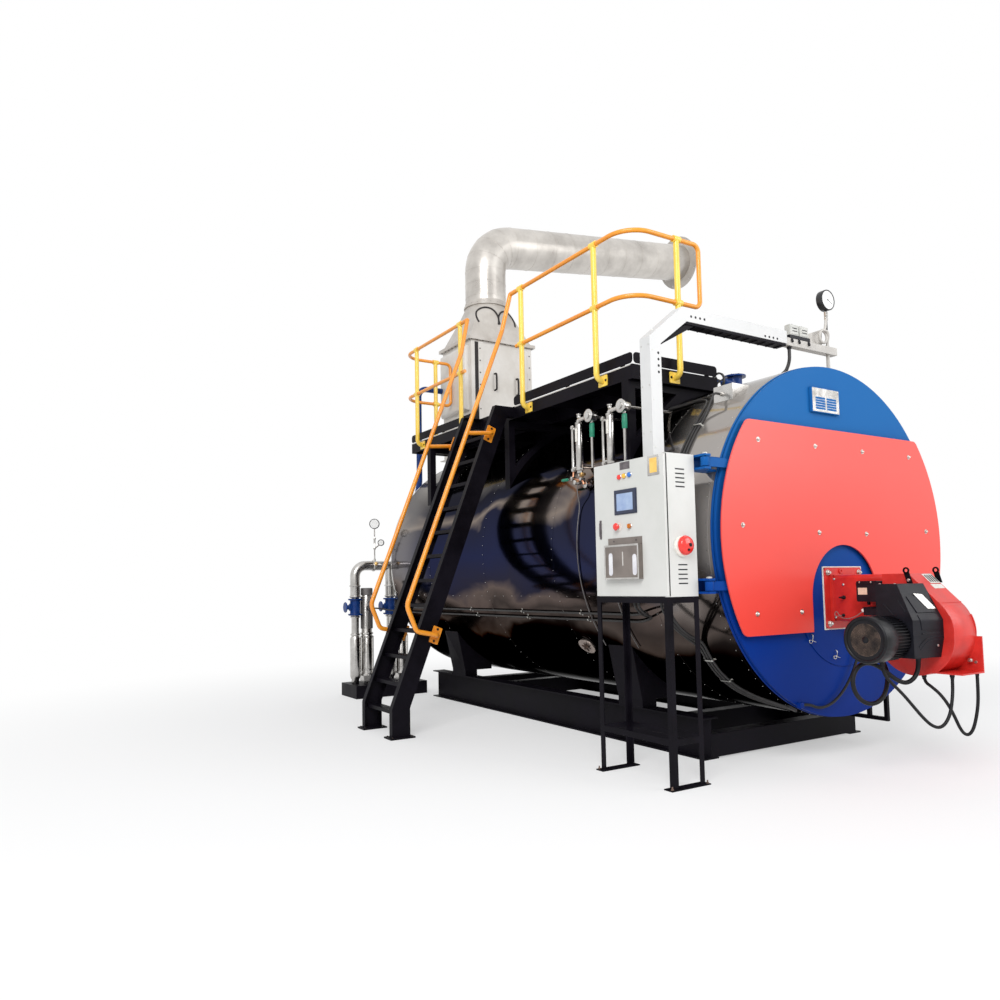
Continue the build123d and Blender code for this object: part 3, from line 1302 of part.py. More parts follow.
# Upright pumps: a foot, a sleeve and a motor with its terminal box
with BuildPart() as feed_pumps:
    for y in PUMP_Y:
        with BuildSketch(Plane.XY.offset(PUMP_BASE_Z)):
            with Locations((PUMP_X, y)):
                Rectangle(PUMP_FOOT_W, PUMP_FOOT_W)
        extrude(amount=PUMP_FOOT_H)
        with BuildSketch(Plane.XY.offset(PUMP_BASE_Z + PUMP_FOOT_H)):
            with Locations((PUMP_X, y)):
                Circle(PUMP_R)
        extrude(amount=PUMP_H)
        with BuildSketch(Plane.XY.offset(PUMP_BASE_Z + PUMP_FOOT_H + PUMP_H)):
            with Locations((PUMP_X, y)):
                Circle(PUMP_MOTOR_R)
        extrude(amount=PUMP_MOTOR_H)
        with BuildSketch(Plane.XY.offset(PUMP_BOX_Z - PUMP_BOX / 2)):
            with Locations((PUMP_BOX_X, y)):
                Rectangle(PUMP_BOX_D, PUMP_BOX)
        extrude(amount=PUMP_BOX)
save(feed_pumps, "feed_pumps")

# Stainless risers and header
with BuildPart() as feed_header:
    add(bent_bar(
        (
            (PUMP_X, RISER_Y[0], HEADER_FOOT_Z),
            (PUMP_X, RISER_Y[0], HEADER_Z),
            (PUMP_X, HEADER_END_Y, HEADER_Z),
        ),
        HEADER_BEND,
        HEADER_R,
    ))
    with BuildSketch(Plane.XY.offset(HEADER_FOOT_Z)):
        with Locations((PUMP_X, RISER_Y[1])):
            Circle(HEADER_R)
    extrude(amount=HEADER_Z - HEADER_FOOT_Z)
    with BuildSketch(Plane.XY.offset(PUMP_BASE_Z)):
        with Locations((PUMP_X, RISER_Y[0]), (PUMP_X, RISER_Y[1])):
            Circle(RISER_R)
    extrude(amount=HEADER_FOOT_Z - PUMP_BASE_Z)
save(feed_header, "feed_header")

# Blue valves round the risers and the feed pipe up to the economiser
with BuildPart() as feed_riser:
    for y in RISER_Y:
        for z in RISER_VALVE_Z:
            with BuildSketch(Plane.XY.offset(z)):
                with Locations((PUMP_X, y)):
                    Circle(RISER_FLANGE_R)
            extrude(amount=RISER_FLANGE_T)
        with BuildSketch(Plane.XY.offset(RISER_VALVE_Z[0])):
            with Locations((PUMP_X, y)):
                Circle(RISER_BODY_R)
        extrude(amount=RISER_VALVE_Z[1] - RISER_VALVE_Z[0])
        middle = (RISER_VALVE_Z[0] + RISER_VALVE_Z[1] + RISER_FLANGE_T) / 2
        for reach, radius in ((RISER_STEM, 14), (12, RISER_WHEEL_R)):
            with BuildSketch(Plane.XZ.offset(-y + RISER_STEM)):
                with Locations((PUMP_X, middle)):
                    Circle(radius)
            extrude(amount=-reach)
        with BuildSketch(Plane.XY.offset(RISER_VALVE_Z[0])):
            with Locations((PUMP_X, y)):
                Circle(RISER_R + FIT)
        extrude(amount=RISER_VALVE_Z[1] - RISER_VALVE_Z[0] + RISER_FLANGE_T, mode=Mode.SUBTRACT)
    add(bent_bar(
        (
            (PUMP_X, FEED_Y[0], HEADER_Z + HEADER_R - 20),
            (PUMP_X, FEED_Y[0], FEED_TEE_Z),
            (PUMP_X, FEED_Y[1], FEED_TEE_Z),
            (PUMP_X, FEED_Y[1], FEED_BEND_Z),
            (FEED_X, FEED_Y[1], FEED_BEND_Z + 200),
            (FEED_X, FEED_Y[1], FEED_Z),
            (FEED_X, -ECO_WIDTH / 2 - POD_D, FEED_Z),
        ),
        (60, 60, 150, 150, 110),
        FEED_R,
    ))
    with BuildSketch(Plane.XY.offset(FEED_VALVE_Z)):
        with Locations((PUMP_X, FEED_Y[1])):
            Circle(FEED_FLANGE_R)
    extrude(amount=2 * RISER_FLANGE_T)
    with BuildSketch(Plane.XY.offset(FEED_TEE_Z)):
        with Locations((PUMP_X, FEED_Y[1])):
            Circle(FEED_BODY_R)
    extrude(amount=FEED_VALVE_Z - FEED_TEE_Z)
    with BuildSketch(Plane.XY.offset(HEADER_Z + HEADER_R + 2)):
        with Locations((PUMP_X, FEED_Y[0])):
            Circle(FEED_FLANGE_R)
    extrude(amount=2 * RISER_FLANGE_T)
    with BuildSketch(Plane.XZ.offset(-HEADER_END_Y)):
        with Locations((PUMP_X, HEADER_Z)):
            Circle(HEADER_R + FIT)
    extrude(amount=HEADER_END_Y - RISER_Y[0], mode=Mode.SUBTRACT)
save(feed_riser, "feed_riser")

# Level gauges: column, glass, head, cock and drop pipe, joined to the shell by pipes
with BuildPart() as level_gauges:
    for x in GAUGE_X:
        cock_x = x + GAUGE_COCK_X
        glass_x = x - GAUGE_GLASS_X
        with BuildSketch(Plane.XY.offset(GAUGE_BOTTOM)):
            with Locations((x, GAUGE_Y)):
                Circle(GAUGE_R)
            with Locations((glass_x, GAUGE_Y), (cock_x, GAUGE_Y)):
                Circle(GAUGE_PIPE_R)
        extrude(amount=GAUGE_TOP - GAUGE_BOTTOM)
        with BuildSketch(Plane.XY.offset(GAUGE_TOP)):
            with Locations((x, GAUGE_Y), (cock_x, GAUGE_Y)):
                Circle(GAUGE_PIPE_R + 5)
        extrude(amount=GAUGE_HEAD_Z - GAUGE_TOP)
        with BuildSketch(Plane.YZ.offset(x)):
            with Locations((GAUGE_Y, GAUGE_HEAD_Z)):
                Circle(GAUGE_PIPE_R + 5)
        extrude(amount=GAUGE_COCK_X)
        with BuildSketch(Plane.YZ.offset(glass_x)):
            with Locations((GAUGE_Y, GAUGE_BOTTOM + GAUGE_R), (GAUGE_Y, GAUGE_TOP - GAUGE_R)):
                Circle(GAUGE_PIPE_R - 3)
        extrude(amount=GAUGE_GLASS_X)
        with BuildSketch(Plane.XZ.offset(-GAUGE_Y - GAUGE_R)):
            with Locations((cock_x, GAUGE_HEAD_Z)):
                Circle(GAUGE_COCK_R)
        extrude(amount=2 * GAUGE_R)
        with BuildSketch(Plane.XZ.offset(-GAUGE_Y)):
            with Locations((cock_x, GAUGE_HEAD_Z), (x, GAUGE_FOOT_Z)):
                Circle(GAUGE_PIPE_R)
        extrude(amount=GAUGE_Y + SHELL_R / 2)
    with BuildSketch(Plane.YZ.offset(GAUGE_X[0] - GAUGE_COCK_X)):
        with Locations((0, AXIS_Z)):
            Circle(SHELL_R + FIT)
    extrude(amount=GAUGE_X[1] - GAUGE_X[0] + 3 * GAUGE_COCK_X, mode=Mode.SUBTRACT)
save(level_gauges, "level_gauges")

# Terminal box high on the shell, with the gland of its cable
with BuildPart() as terminal_box:
    with BuildSketch(Plane.XY.offset(AXIS_Z + SHELL_R / 2)):
        with Locations((sum(BOX_X) / 2, sum(BOX_Y) / 2)):
            Rectangle(BOX_X[1] - BOX_X[0], BOX_Y[1] - BOX_Y[0])
    extrude(amount=BOX_TOP - AXIS_Z - SHELL_R / 2)
    with BuildSketch(Plane.XZ.offset(-BOX_Y[0])):
        with Locations((GLAND_X, GLAND_Z)):
            Circle(GLAND_R)
    extrude(amount=GLAND_L)
    with BuildSketch(Plane.YZ.offset(BOX_X[0] - GLAND_L)):
        with Locations((0, AXIS_Z)):
            Circle(SHELL_R + FIT)
    extrude(amount=BOX_X[1] - BOX_X[0] + 2 * GLAND_L, mode=Mode.SUBTRACT)
save(terminal_box, "terminal_box")

# Upper cables: from the back of the cabinet up the shell, and the conduit of the trunk
CLIMB = (16, 23, 30, 37, 43)
UPPER_START_Z = 1800
with BuildPart() as upper_cables:
    for step in range(3):
        x = BOX_X[0] + 45 - step * CABLE_STEP
        back = step * CABLE_TURN
        start = [
            (x, CAB_BACK_Y, UPPER_START_Z),
            (x, CAB_BACK_Y + 85, UPPER_START_Z),
        ]
        climb = [on_shell(x + turn / 4, turn, CABLE_LIFT) for turn in CLIMB]
        if step == 0:
            finish = [
                (GLAND_X, BOX_Y[0] - GLAND_L - 55, GLAND_Z),
                (GLAND_X, BOX_Y[0] - GLAND_L, GLAND_Z),
            ]
        else:
            finish = [
                on_shell(x - 5, 48 - back, CABLE_LIFT),
                on_shell(x - 35, 53 - back, CABLE_LIFT),
                on_shell(x - 100, 58 - back, CABLE_LIFT),
                on_shell(x - 220, 60.5 - back, CABLE_LIFT),
                on_shell(x - 370, 59.5 - back, CABLE_LIFT),
                on_shell(BRACKET_X[0] + BRACKET_W / 2, 59.5 - back, CABLE_LIFT),
            ]
        add(cord(start + climb + finish, CABLE_R))
    add(cord(
        (
            (TRUNK_X + TRUNK / 2, -105, TRUNK_ARM_Z),
            (TRUNK_X + TRUNK / 2, -105, TRUNK_ARM_Z - 120),
            (TRUNK_X, -105, shell_crown(105) + 14),
            (TRUNK_X - 120, -108, shell_crown(105) + 15),
            (VALVE_X + 240, -105, shell_crown(105) + 15),
        ),
        CONDUIT_R,
    ))
save(upper_cables, "upper_cables")

# Lower cables: from the floor of the cabinet to the front edge, and back to the pumps
DROP = ((972, -33), (954, -40), (952, -47), (985, -53.5), (1050, -58), (1140, -61.5))
END_TURN = -64.8
END_X = FRONT - 30
with BuildPart() as lower_cables:
    for step in range(3):
        x = -step * CABLE_STEP
        turn = -step * CABLE_TURN
        add(cord(
            (
                (1075 + x, -1520, CAB_BOTTOM),
                (1075 + x, -1520, CAB_BOTTOM - 75),
                (1060 + x, -1430, CAB_BOTTOM - 190),
                (1015 + x, -1270, CAB_BOTTOM - 275),
                *[on_shell(place + x, angle + turn, CABLE_LIFT) for place, angle in DROP],
                on_shell(END_X, END_TURN + turn, CABLE_LIFT),
            ),
            CABLE_R,
        ))
    clamp = on_shell(0, END_TURN - CABLE_TURN, CABLE_LIFT)
    with BuildSketch(Plane.YZ.offset(END_X)):
        with Locations(Location((clamp[1], clamp[2], 0), (0, 0, CABLE_TURN - END_TURN - 90))):
            Rectangle(3 * CABLE_STEP, 2 * CABLE_LIFT - 3)
    extrude(amount=20)
    pump_ends = (
        (
            (PUMP_BOX_X, PUMP_Y[0] + PUMP_BOX / 2, PUMP_BOX_Z),
            (PUMP_BOX_X, PUMP_Y[0] + PUMP_BOX / 2 + 80, PUMP_BOX_Z),
            (PUMP_BOX_X + 20, -1330, 1018),
            (SHELL_REAR + 20, -1235, 1000),
        ),
        (
            (PUMP_BOX_X, PUMP_Y[1] - PUMP_BOX / 2, PUMP_BOX_Z),
            (PUMP_BOX_X, PUMP_Y[1] - PUMP_BOX / 2 - 70, PUMP_BOX_Z),
            (PUMP_BOX_X + 60, -1235, 1048),
            (SHELL_REAR + 40, -1222, 1052),
        ),
    )
    for step, pump_end in enumerate(pump_ends):
        run_turn = -27.2 + 2 * step * CABLE_TURN
        rise_x = 765 - 40 * step
        add(cord(
            (
                *pump_end,
                on_shell(SHELL_REAR + 180, run_turn, CABLE_LIFT),
                on_shell(420, run_turn + 0.3, CABLE_LIFT),
                on_shell(560, run_turn + 2, CABLE_LIFT + 25),
                (rise_x - 70, -1310, CAB_BOTTOM - 155),
                (rise_x - 8, -1440, CAB_BOTTOM - 125),
                (rise_x, -1500, CAB_BOTTOM - 70),
                (rise_x, -1500, CAB_BOTTOM),
            ),
            CABLE_R,
        ))
save(lower_cables, "lower_cables")

# Steam valve on a nozzle at the top of the shell
with BuildPart() as steam_valve:
    with BuildSketch(Plane.XY.offset(shell_crown(VALVE_Y) - 20)):
        with Locations((VALVE_X, VALVE_Y)):
            Circle(VALVE_NECK_R)
    extrude(amount=VALVE_Z - shell_crown(VALVE_Y) + 20)
    with BuildSketch(Plane.XY.offset(VALVE_Z)):
        with Locations((VALVE_X, VALVE_Y)):
            Circle(VALVE_FLANGE_R)
    extrude(amount=2 * VALVE_FLANGE_T)
    with BuildSketch(Plane.XY.offset(VALVE_Z + 2 * VALVE_FLANGE_T)):
        with Locations((VALVE_X, VALVE_Y)):
            Circle(VALVE_BODY_R)
    extrude(amount=VALVE_BODY_H)
    with BuildSketch(Plane.XY.offset(VALVE_Z + 2 * VALVE_FLANGE_T + VALVE_BODY_H)):
        with Locations((VALVE_X, VALVE_Y)):
            Circle(VALVE_FLANGE_R)
            with PolarLocations(VALVE_BOLT_R, VALVE_BOLTS):
                Circle(VALVE_HOLE_R, mode=Mode.SUBTRACT)
    extrude(amount=VALVE_FLANGE_T)
    with BuildSketch(Plane.XZ.offset(VALVE_STEM - VALVE_Y)):
        with Locations((VALVE_X, VALVE_AXIS_Z)):
            Circle(VALVE_STEM_R)
    extrude(amount=-VALVE_STEM)
    with BuildSketch(Plane.XZ.offset(VALVE_STEM - VALVE_Y - BONNET_BACK)):
        with Locations((VALVE_X, VALVE_AXIS_Z)):
            Circle(VALVE_BONNET_R)
    extrude(amount=BONNET_BACK - VALVE_STEM)
    with BuildSketch(Plane.YZ.offset(VALVE_X - VALVE_FLANGE_R)):
        with Locations((0, AXIS_Z)):
            Circle(SHELL_R + FIT)
    extrude(amount=2 * VALVE_FLANGE_R, mode=Mode.SUBTRACT)
save(steam_valve, "steam_valve")

# Handwheel of the steam valve
with BuildPart() as valve_handwheel:
    with BuildSketch(Plane.XZ.offset(VALVE_STEM - VALVE_Y - WHEEL_T)):
        with Locations((VALVE_X, VALVE_AXIS_Z)):
            Circle(WHEEL_R)
            Circle(WHEEL_R - 2 * WHEEL_RIM, mode=Mode.SUBTRACT)
            Circle(WHEEL_HUB_R)
            with PolarLocations(0, WHEEL_SPOKES):
                with Locations((WHEEL_R / 2, 0)):
                    Rectangle(WHEEL_R - WHEEL_RIM, WHEEL_RIM)
            Circle(VALVE_STEM_R + PIN_CLEAR, mode=Mode.SUBTRACT)
    extrude(amount=WHEEL_T)
save(valve_handwheel, "valve_handwheel")
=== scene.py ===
"""Looks of a horizontal steam boiler: skid, shell, burner door, control cabinet,
platform, ladder, economiser, flue and feed pumps. Metres, +Z up, in the model's frame.
"""
import json
from math import cos, pi, radians, sin, sqrt, tau

import bmesh
import bpy
from mathutils import Matrix, Vector
from mathutils.bvhtree import BVHTree


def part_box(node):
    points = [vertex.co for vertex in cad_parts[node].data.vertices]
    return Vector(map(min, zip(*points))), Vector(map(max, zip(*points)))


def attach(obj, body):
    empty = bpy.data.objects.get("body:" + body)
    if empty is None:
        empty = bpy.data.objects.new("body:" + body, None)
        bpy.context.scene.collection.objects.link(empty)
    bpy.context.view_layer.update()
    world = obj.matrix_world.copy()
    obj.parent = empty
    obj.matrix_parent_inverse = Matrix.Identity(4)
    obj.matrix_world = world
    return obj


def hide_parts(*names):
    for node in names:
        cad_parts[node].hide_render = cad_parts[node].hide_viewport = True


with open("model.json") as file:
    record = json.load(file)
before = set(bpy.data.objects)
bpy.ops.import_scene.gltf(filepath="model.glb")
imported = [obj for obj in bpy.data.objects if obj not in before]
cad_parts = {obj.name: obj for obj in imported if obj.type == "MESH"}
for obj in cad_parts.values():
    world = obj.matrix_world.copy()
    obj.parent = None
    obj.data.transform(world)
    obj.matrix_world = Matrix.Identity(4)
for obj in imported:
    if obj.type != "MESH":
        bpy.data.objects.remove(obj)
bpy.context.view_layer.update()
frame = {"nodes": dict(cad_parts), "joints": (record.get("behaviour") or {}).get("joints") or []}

# Camera: eye height of a standing person in front of the burner end, looking
# along the near side. The lens is a normal wide one, slightly shifted.
EYE = (4.9539, -5.2662, 1.2987)
YAW = radians(58.356)
PITCH = radians(4.229)
ROLL = radians(-0.994)
LENS_MM = 28.42
SENSOR_MM = 36
SHIFT = (0.0074, 0.0263)
ahead = Vector((-sin(YAW) * cos(PITCH), cos(YAW) * cos(PITCH), sin(PITCH)))
level = Vector((cos(YAW), sin(YAW), 0))
upward = level.cross(ahead)
side_axis = level * cos(ROLL) + upward * sin(ROLL)
top_axis = upward * cos(ROLL) - level * sin(ROLL)
lens = bpy.data.cameras.new("camera")
lens.lens = LENS_MM
lens.sensor_width = SENSOR_MM
lens.shift_x, lens.shift_y = SHIFT
lens.clip_end = 200
camera = bpy.data.objects.new("camera", lens)
camera.matrix_world = Matrix.Translation(EYE) @ Matrix((side_axis, top_axis, -ahead)).transposed().to_4x4()
bpy.context.scene.collection.objects.link(camera)
bpy.context.scene.camera = camera
bpy.context.scene.view_settings.view_transform = "Standard"

# Studio: a pale floor that fades to white away from the boiler, an even white
# surround and two large soft lamps. The floor keeps the boiler's soft shadow.
FLOOR_HALF = 60
FLOOR_COLOUR = (0.9, 0.9, 0.9, 1)
FLOOR_FADE = ((3.0, 9.0), (0.42, 1.0))      # distances from the middle, shares of white there
SURROUND_COLOUR = (0.97, 0.98, 1, 1)
SURROUND_LIGHT = 0.62
floor_mesh = bpy.data.meshes.new("floor")
floor_mesh.from_pydata([(x, y, 0) for x, y in ((-1, -1), (1, -1), (1, 1), (-1, 1))], [], [(0, 1, 2, 3)])
floor_mesh.transform(Matrix.Diagonal((FLOOR_HALF, FLOOR_HALF, 1, 1)))
floor = bpy.data.objects.new("floor", floor_mesh)
bpy.context.scene.collection.objects.link(floor)


def add_node(tree, kind, inputs, **settings):
    """A shader node whose inputs are values, or sockets of other nodes."""
    made = tree.nodes.new("ShaderNode" + kind)
    for name, value in settings.items():
        setattr(made, name, value)
    for name, value in inputs.items():
        if isinstance(value, bpy.types.NodeSocket):
            tree.links.new(value, made.inputs[name])
        else:
            made.inputs[name].default_value = value
    return made


def map_range(tree, value, span, reach=(0, 1), smooth=False):
    """A value of a span carried over to a reach, held at its ends."""
    inputs = {
        "Value": value, "From Min": span[0], "From Max": span[1], "To Min": reach[0], "To Max": reach[1]
    }
    kind = "SMOOTHSTEP" if smooth else "LINEAR"
    return add_node(tree, "MapRange", inputs, interpolation_type=kind).outputs[0]


def new_finish(name, settings):
    """A new material with values of its shader set; gives its nodes and the shader."""
    finish = bpy.data.materials.new(name)
    finish.use_nodes = True
    shader = finish.node_tree.nodes["Principled BSDF"]
    for socket, value in settings.items():
        shader.inputs[socket].default_value = value
    return finish, finish.node_tree, shader


def background_rays(tree):
    """1 for rays that see the background: camera, glossy and transmission."""
    ray = add_node(tree, "LightPath", {})
    total = ray.outputs["Is Camera Ray"]
    for kind in ("Is Glossy Ray", "Is Transmission Ray"):
        total = add_node(tree, "Math", {0: total, 1: ray.outputs[kind]}, operation="MAXIMUM").outputs[0]
    return total


floor_finish, floor_tree, floor_shader = new_finish(
    "floor pale", {"Base Color": FLOOR_COLOUR, "Roughness": 0.9, "Specular IOR Level": 0.1}
)
floor_mesh.materials.append(floor_finish)
floor_place = add_node(floor_tree, "TexCoord", {}).outputs["Object"]
floor_reach = add_node(floor_tree, "VectorMath", {0: floor_place}, operation="LENGTH").outputs["Value"]
floor_fade = map_range(floor_tree, floor_reach, *FLOOR_FADE, smooth=True)
floor_share = add_node(
    floor_tree, "Math", {0: floor_fade, 1: background_rays(floor_tree)}, operation="MULTIPLY"
).outputs[0]
floor_white = add_node(floor_tree, "Emission", {}).outputs[0]
floor_mix = add_node(floor_tree, "MixShader", {0: floor_share, 1: floor_shader.outputs[0], 2: floor_white})
floor_tree.links.new(floor_mix.outputs[0], floor_tree.nodes["Material Output"].inputs["Surface"])

world = bpy.data.worlds.new("surround")
bpy.context.scene.world = world
world.use_nodes = True
sky = world.node_tree
even = sky.nodes["Background"]
even.inputs["Color"].default_value = SURROUND_COLOUR
even.inputs["Strength"].default_value = SURROUND_LIGHT
seen = add_node(sky, "Background", {"Color": (1, 1, 1, 1)})
choice = add_node(sky, "MixShader", {0: background_rays(sky), 1: even.outputs[0], 2: seen.outputs[0]})
sky.links.new(choice.outputs[0], sky.nodes["World Output"].inputs["Surface"])

# name, place, aim, size and power of each large square lamp
for name, place, target, size, power in (
    ("key lamp", (7.5, -9.5, 9), (-0.5, 0, 1.5), 6, 1100), ("fill lamp", (9, 5, 6), (0, 0, 1.5), 6, 380)
):
    light = bpy.data.lights.new(name, "AREA")
    light.size, light.energy = size, power
    lamp = bpy.data.objects.new(name, light)
    lamp.location = place
    lamp.rotation_euler = (Vector(target) - Vector(place)).to_track_quat("-Z", "Y").to_euler()
    bpy.context.scene.collection.objects.link(lamp)

# Skid: two rolled beams with box cross members between them and a short frame
# of square tube at the front, welded, in satin near-black paint.
BLACK_LIGHT = (0.0075, 0.0062, 0.01)
BLACK_DARK = (0.0034, 0.0028, 0.0045)


def fine_relief(tree, shader, place, scale, depth, stretch):
    """Relief too small for the mesh: brush marks, orange peel or casting skin."""
    mapping = add_node(tree, "Mapping", {"Scale": stretch, "Vector": place}).outputs[0]
    grain = add_node(tree, "TexNoise", {"Scale": scale, "Detail": 3, "Vector": mapping}).outputs["Fac"]
    relief = add_node(tree, "Bump", {"Strength": 0.5, "Distance": depth, "Height": grain})
    tree.links.new(relief.outputs[0], shader.inputs["Normal"])


def surface(
    name, light, dark, rough, metal=0.0, coat=0.0, patch=2.2, grain=160, depth=0.0003,
    stretch=(1, 1, 1), shine=0.5,
):
    """A finish whose colour and gloss drift in soft patches, with a fine relief."""
    finish, tree, shader = new_finish(
        name, {"Metallic": metal, "Coat Weight": coat, "Coat Roughness": 0.08, "Specular IOR Level": shine}
    )
    place = add_node(tree, "TexCoord", {}).outputs["Object"]
    noise = {"Scale": patch, "Detail": 6, "Roughness": 0.6, "Vector": place}
    drift = add_node(tree, "TexNoise", noise).outputs["Fac"]
    shades = add_node(tree, "ValToRGB", {"Fac": drift})
    for element, position, tint in zip(shades.color_ramp.elements, (0.35, 0.62), (dark, light)):
        element.position, element.color = position, (*tint, 1)
    tree.links.new(shades.outputs["Color"], shader.inputs["Base Color"])
    tree.links.new(map_range(tree, drift, (0.3, 0.7), rough), shader.inputs["Roughness"])
    fine_relief(tree, shader, place, grain, depth, stretch)
    return finish


def round_edges(made, width):
    """A worn round on the sharp edges."""
    rounding = made.modifiers.new("edges", "BEVEL")
    rounding.width, rounding.segments = width, 2
    rounding.limit_method, rounding.angle_limit = "ANGLE", radians(40)
    rounding.harden_normals = True


def dress(finish, *names, edge=0.0):
    """Give CAD nodes their finish and, welded first, a worn round on their edges."""
    for name in names:
        node = frame["nodes"][name]
        node.data.materials.clear()
        node.data.materials.append(finish)
        if edge:
            node.modifiers.new("weld", "WELD").merge_threshold = 0.0002
            round_edges(node, edge)


def add_skin(built, rings):
    """Faces between closed rings of as many points each."""
    for low, high in zip(rings, rings[1:]):
        for i in range(len(low)):
            j = (i + 1) % len(low)
            built.faces.new((low[i], low[j], high[j], high[i]))
    return built


def add_turned(built, profile, centre, axis, steps=24):
    """A turned form: (radius, distance along the axis) points spun about it."""
    turn = Vector(axis).to_track_quat("Z", "Y").to_matrix()
    rings = []
    for radius, along in profile:
        count = steps if radius > 0 else 1
        rings.append([
            built.verts.new(Vector(centre) + turn @ Vector((radius * cos(a), radius * sin(a), along)))
            for a in (tau * i / steps for i in range(count))
        ])
    for low, high in zip(rings, rings[1:]):
        if len(low) == len(high):
            add_skin(built, (low, high))
            continue
        for i in range(steps):
            j = (i + 1) % steps
            built.faces.new((low[0], high[j], high[i]) if len(low) == 1 else (low[i], low[j], high[0]))
    return built


def disc(radius, low, high):
    """Profile of a plain disc or rod, open at its foot."""
    return (radius, low), (radius, high), (0, high)


def add_bolts(built, places, axis, size=0.016):
    """Hexagon heads of a thread size, each on its washer."""
    for place in places:
        add_turned(built, ((0, 0), *disc(1.05 * size, 0, 0.14 * size)), place, axis, 18)
        head = (
            (0, 0.1 * size), (0.86 * size, 0.1 * size), (0.86 * size, 0.62 * size),
            (0.74 * size, 0.74 * size), (0, 0.74 * size),
        )
        add_turned(built, head, place, axis, 6)
    return built


def ride_on(made, body):
    """Put a made object in the scene, on a body."""
    bpy.context.scene.collection.objects.link(made)
    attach(made, body)


def piece(name, built, finish, body, edge=0.0):
    """Turn built geometry into a named piece that rides on a body."""
    bmesh.ops.recalc_face_normals(built, faces=built.faces)
    mesh = bpy.data.meshes.new(name)
    built.to_mesh(mesh)
    built.free()
    mesh.materials.append(finish)
    mesh.shade_smooth()
    mesh.set_sharp_from_angle(angle=radians(35))
    made = bpy.data.objects.new(name, mesh)
    if edge:
        round_edges(made, edge)
    ride_on(made, body)


black_paint = surface("black paint", BLACK_LIGHT, BLACK_DARK, (0.34, 0.55), patch=3.5, grain=90, shine=0.07)
dress(black_paint, "skid_beam_near", "skid_beam_far", "skid_cross_members", "front_frame", edge=0.002)
dress(black_paint, "saddle_front", "saddle_rear", edge=0.002)

# Shell barrel: polished stainless cladding over insulation, rolled in sheets
# that lap under narrow bands and are riveted. The sheets are slightly wavy, with
# painted reflections and shade by height: dark below, grey over the side, pale on top.
BAND_X = (1.225, 0.62, -0.53, -1.68, -2.83, -3.79)
BAND_W = 0.036
BAND_T = 0.0012
RIVET_R = 0.0035
RIVET_STEP = 4            # degrees round the shell
SEAM_TURN = -18           # degrees of the lengthwise laps above the axis
FRONT, REAR, NEAR, UP, DOWN = (1, 0, 0), (-1, 0, 0), (0, -1, 0), (0, 0, 1), (0, 0, -1)
shell_low, shell_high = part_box("shell_barrel")
SHELL_R = (shell_high.z - shell_low.z) / 2
AXIS_Z = (shell_high.z + shell_low.z) / 2
# Painted reflections and shade by share of the height: near-black shade below, dark painted reflections and
# the platform's painted shadow over the side, pale on top.
PAINTED_LIGHT_BANDS = (
    (0.0, (0.014, 0.011, 0.011)), (0.16, (0.012, 0.01, 0.01)), (0.21, (0.022, 0.018, 0.017)),
    (0.25, (0.105, 0.084, 0.075)), (0.29, (0.06, 0.048, 0.044)), (0.34, (0.135, 0.103, 0.092)),
    (0.385, (0.028, 0.027, 0.046)), (0.5, (0.023, 0.027, 0.068)), (0.655, (0.024, 0.026, 0.05)),
    (0.7, (0.26, 0.215, 0.185)), (0.745, (0.024, 0.026, 0.045)), (0.8, (0.022, 0.022, 0.032)),
    (0.9, (0.22, 0.205, 0.19)), (1.0, (0.46, 0.44, 0.41)),
)
EDGE_TINTS = ((0.08, 0.34), (0.07, 0.48))    # shares of the height, tints of the sheet seen edge on
# Towards the ends a paler, less metallic tint, faded out low down where the painted shade stays.
END_TINT = (0.5, 0.465, 0.43)
END_BLEND = (0.55, 1.02)      # the tint of the front sheet begins and is whole
REAR_BLEND = (-2.75, -3.6)    # the same at the rear, weaker
TINT_FOOT = (0.27, 0.42)      # and it fades out below these shares of the height


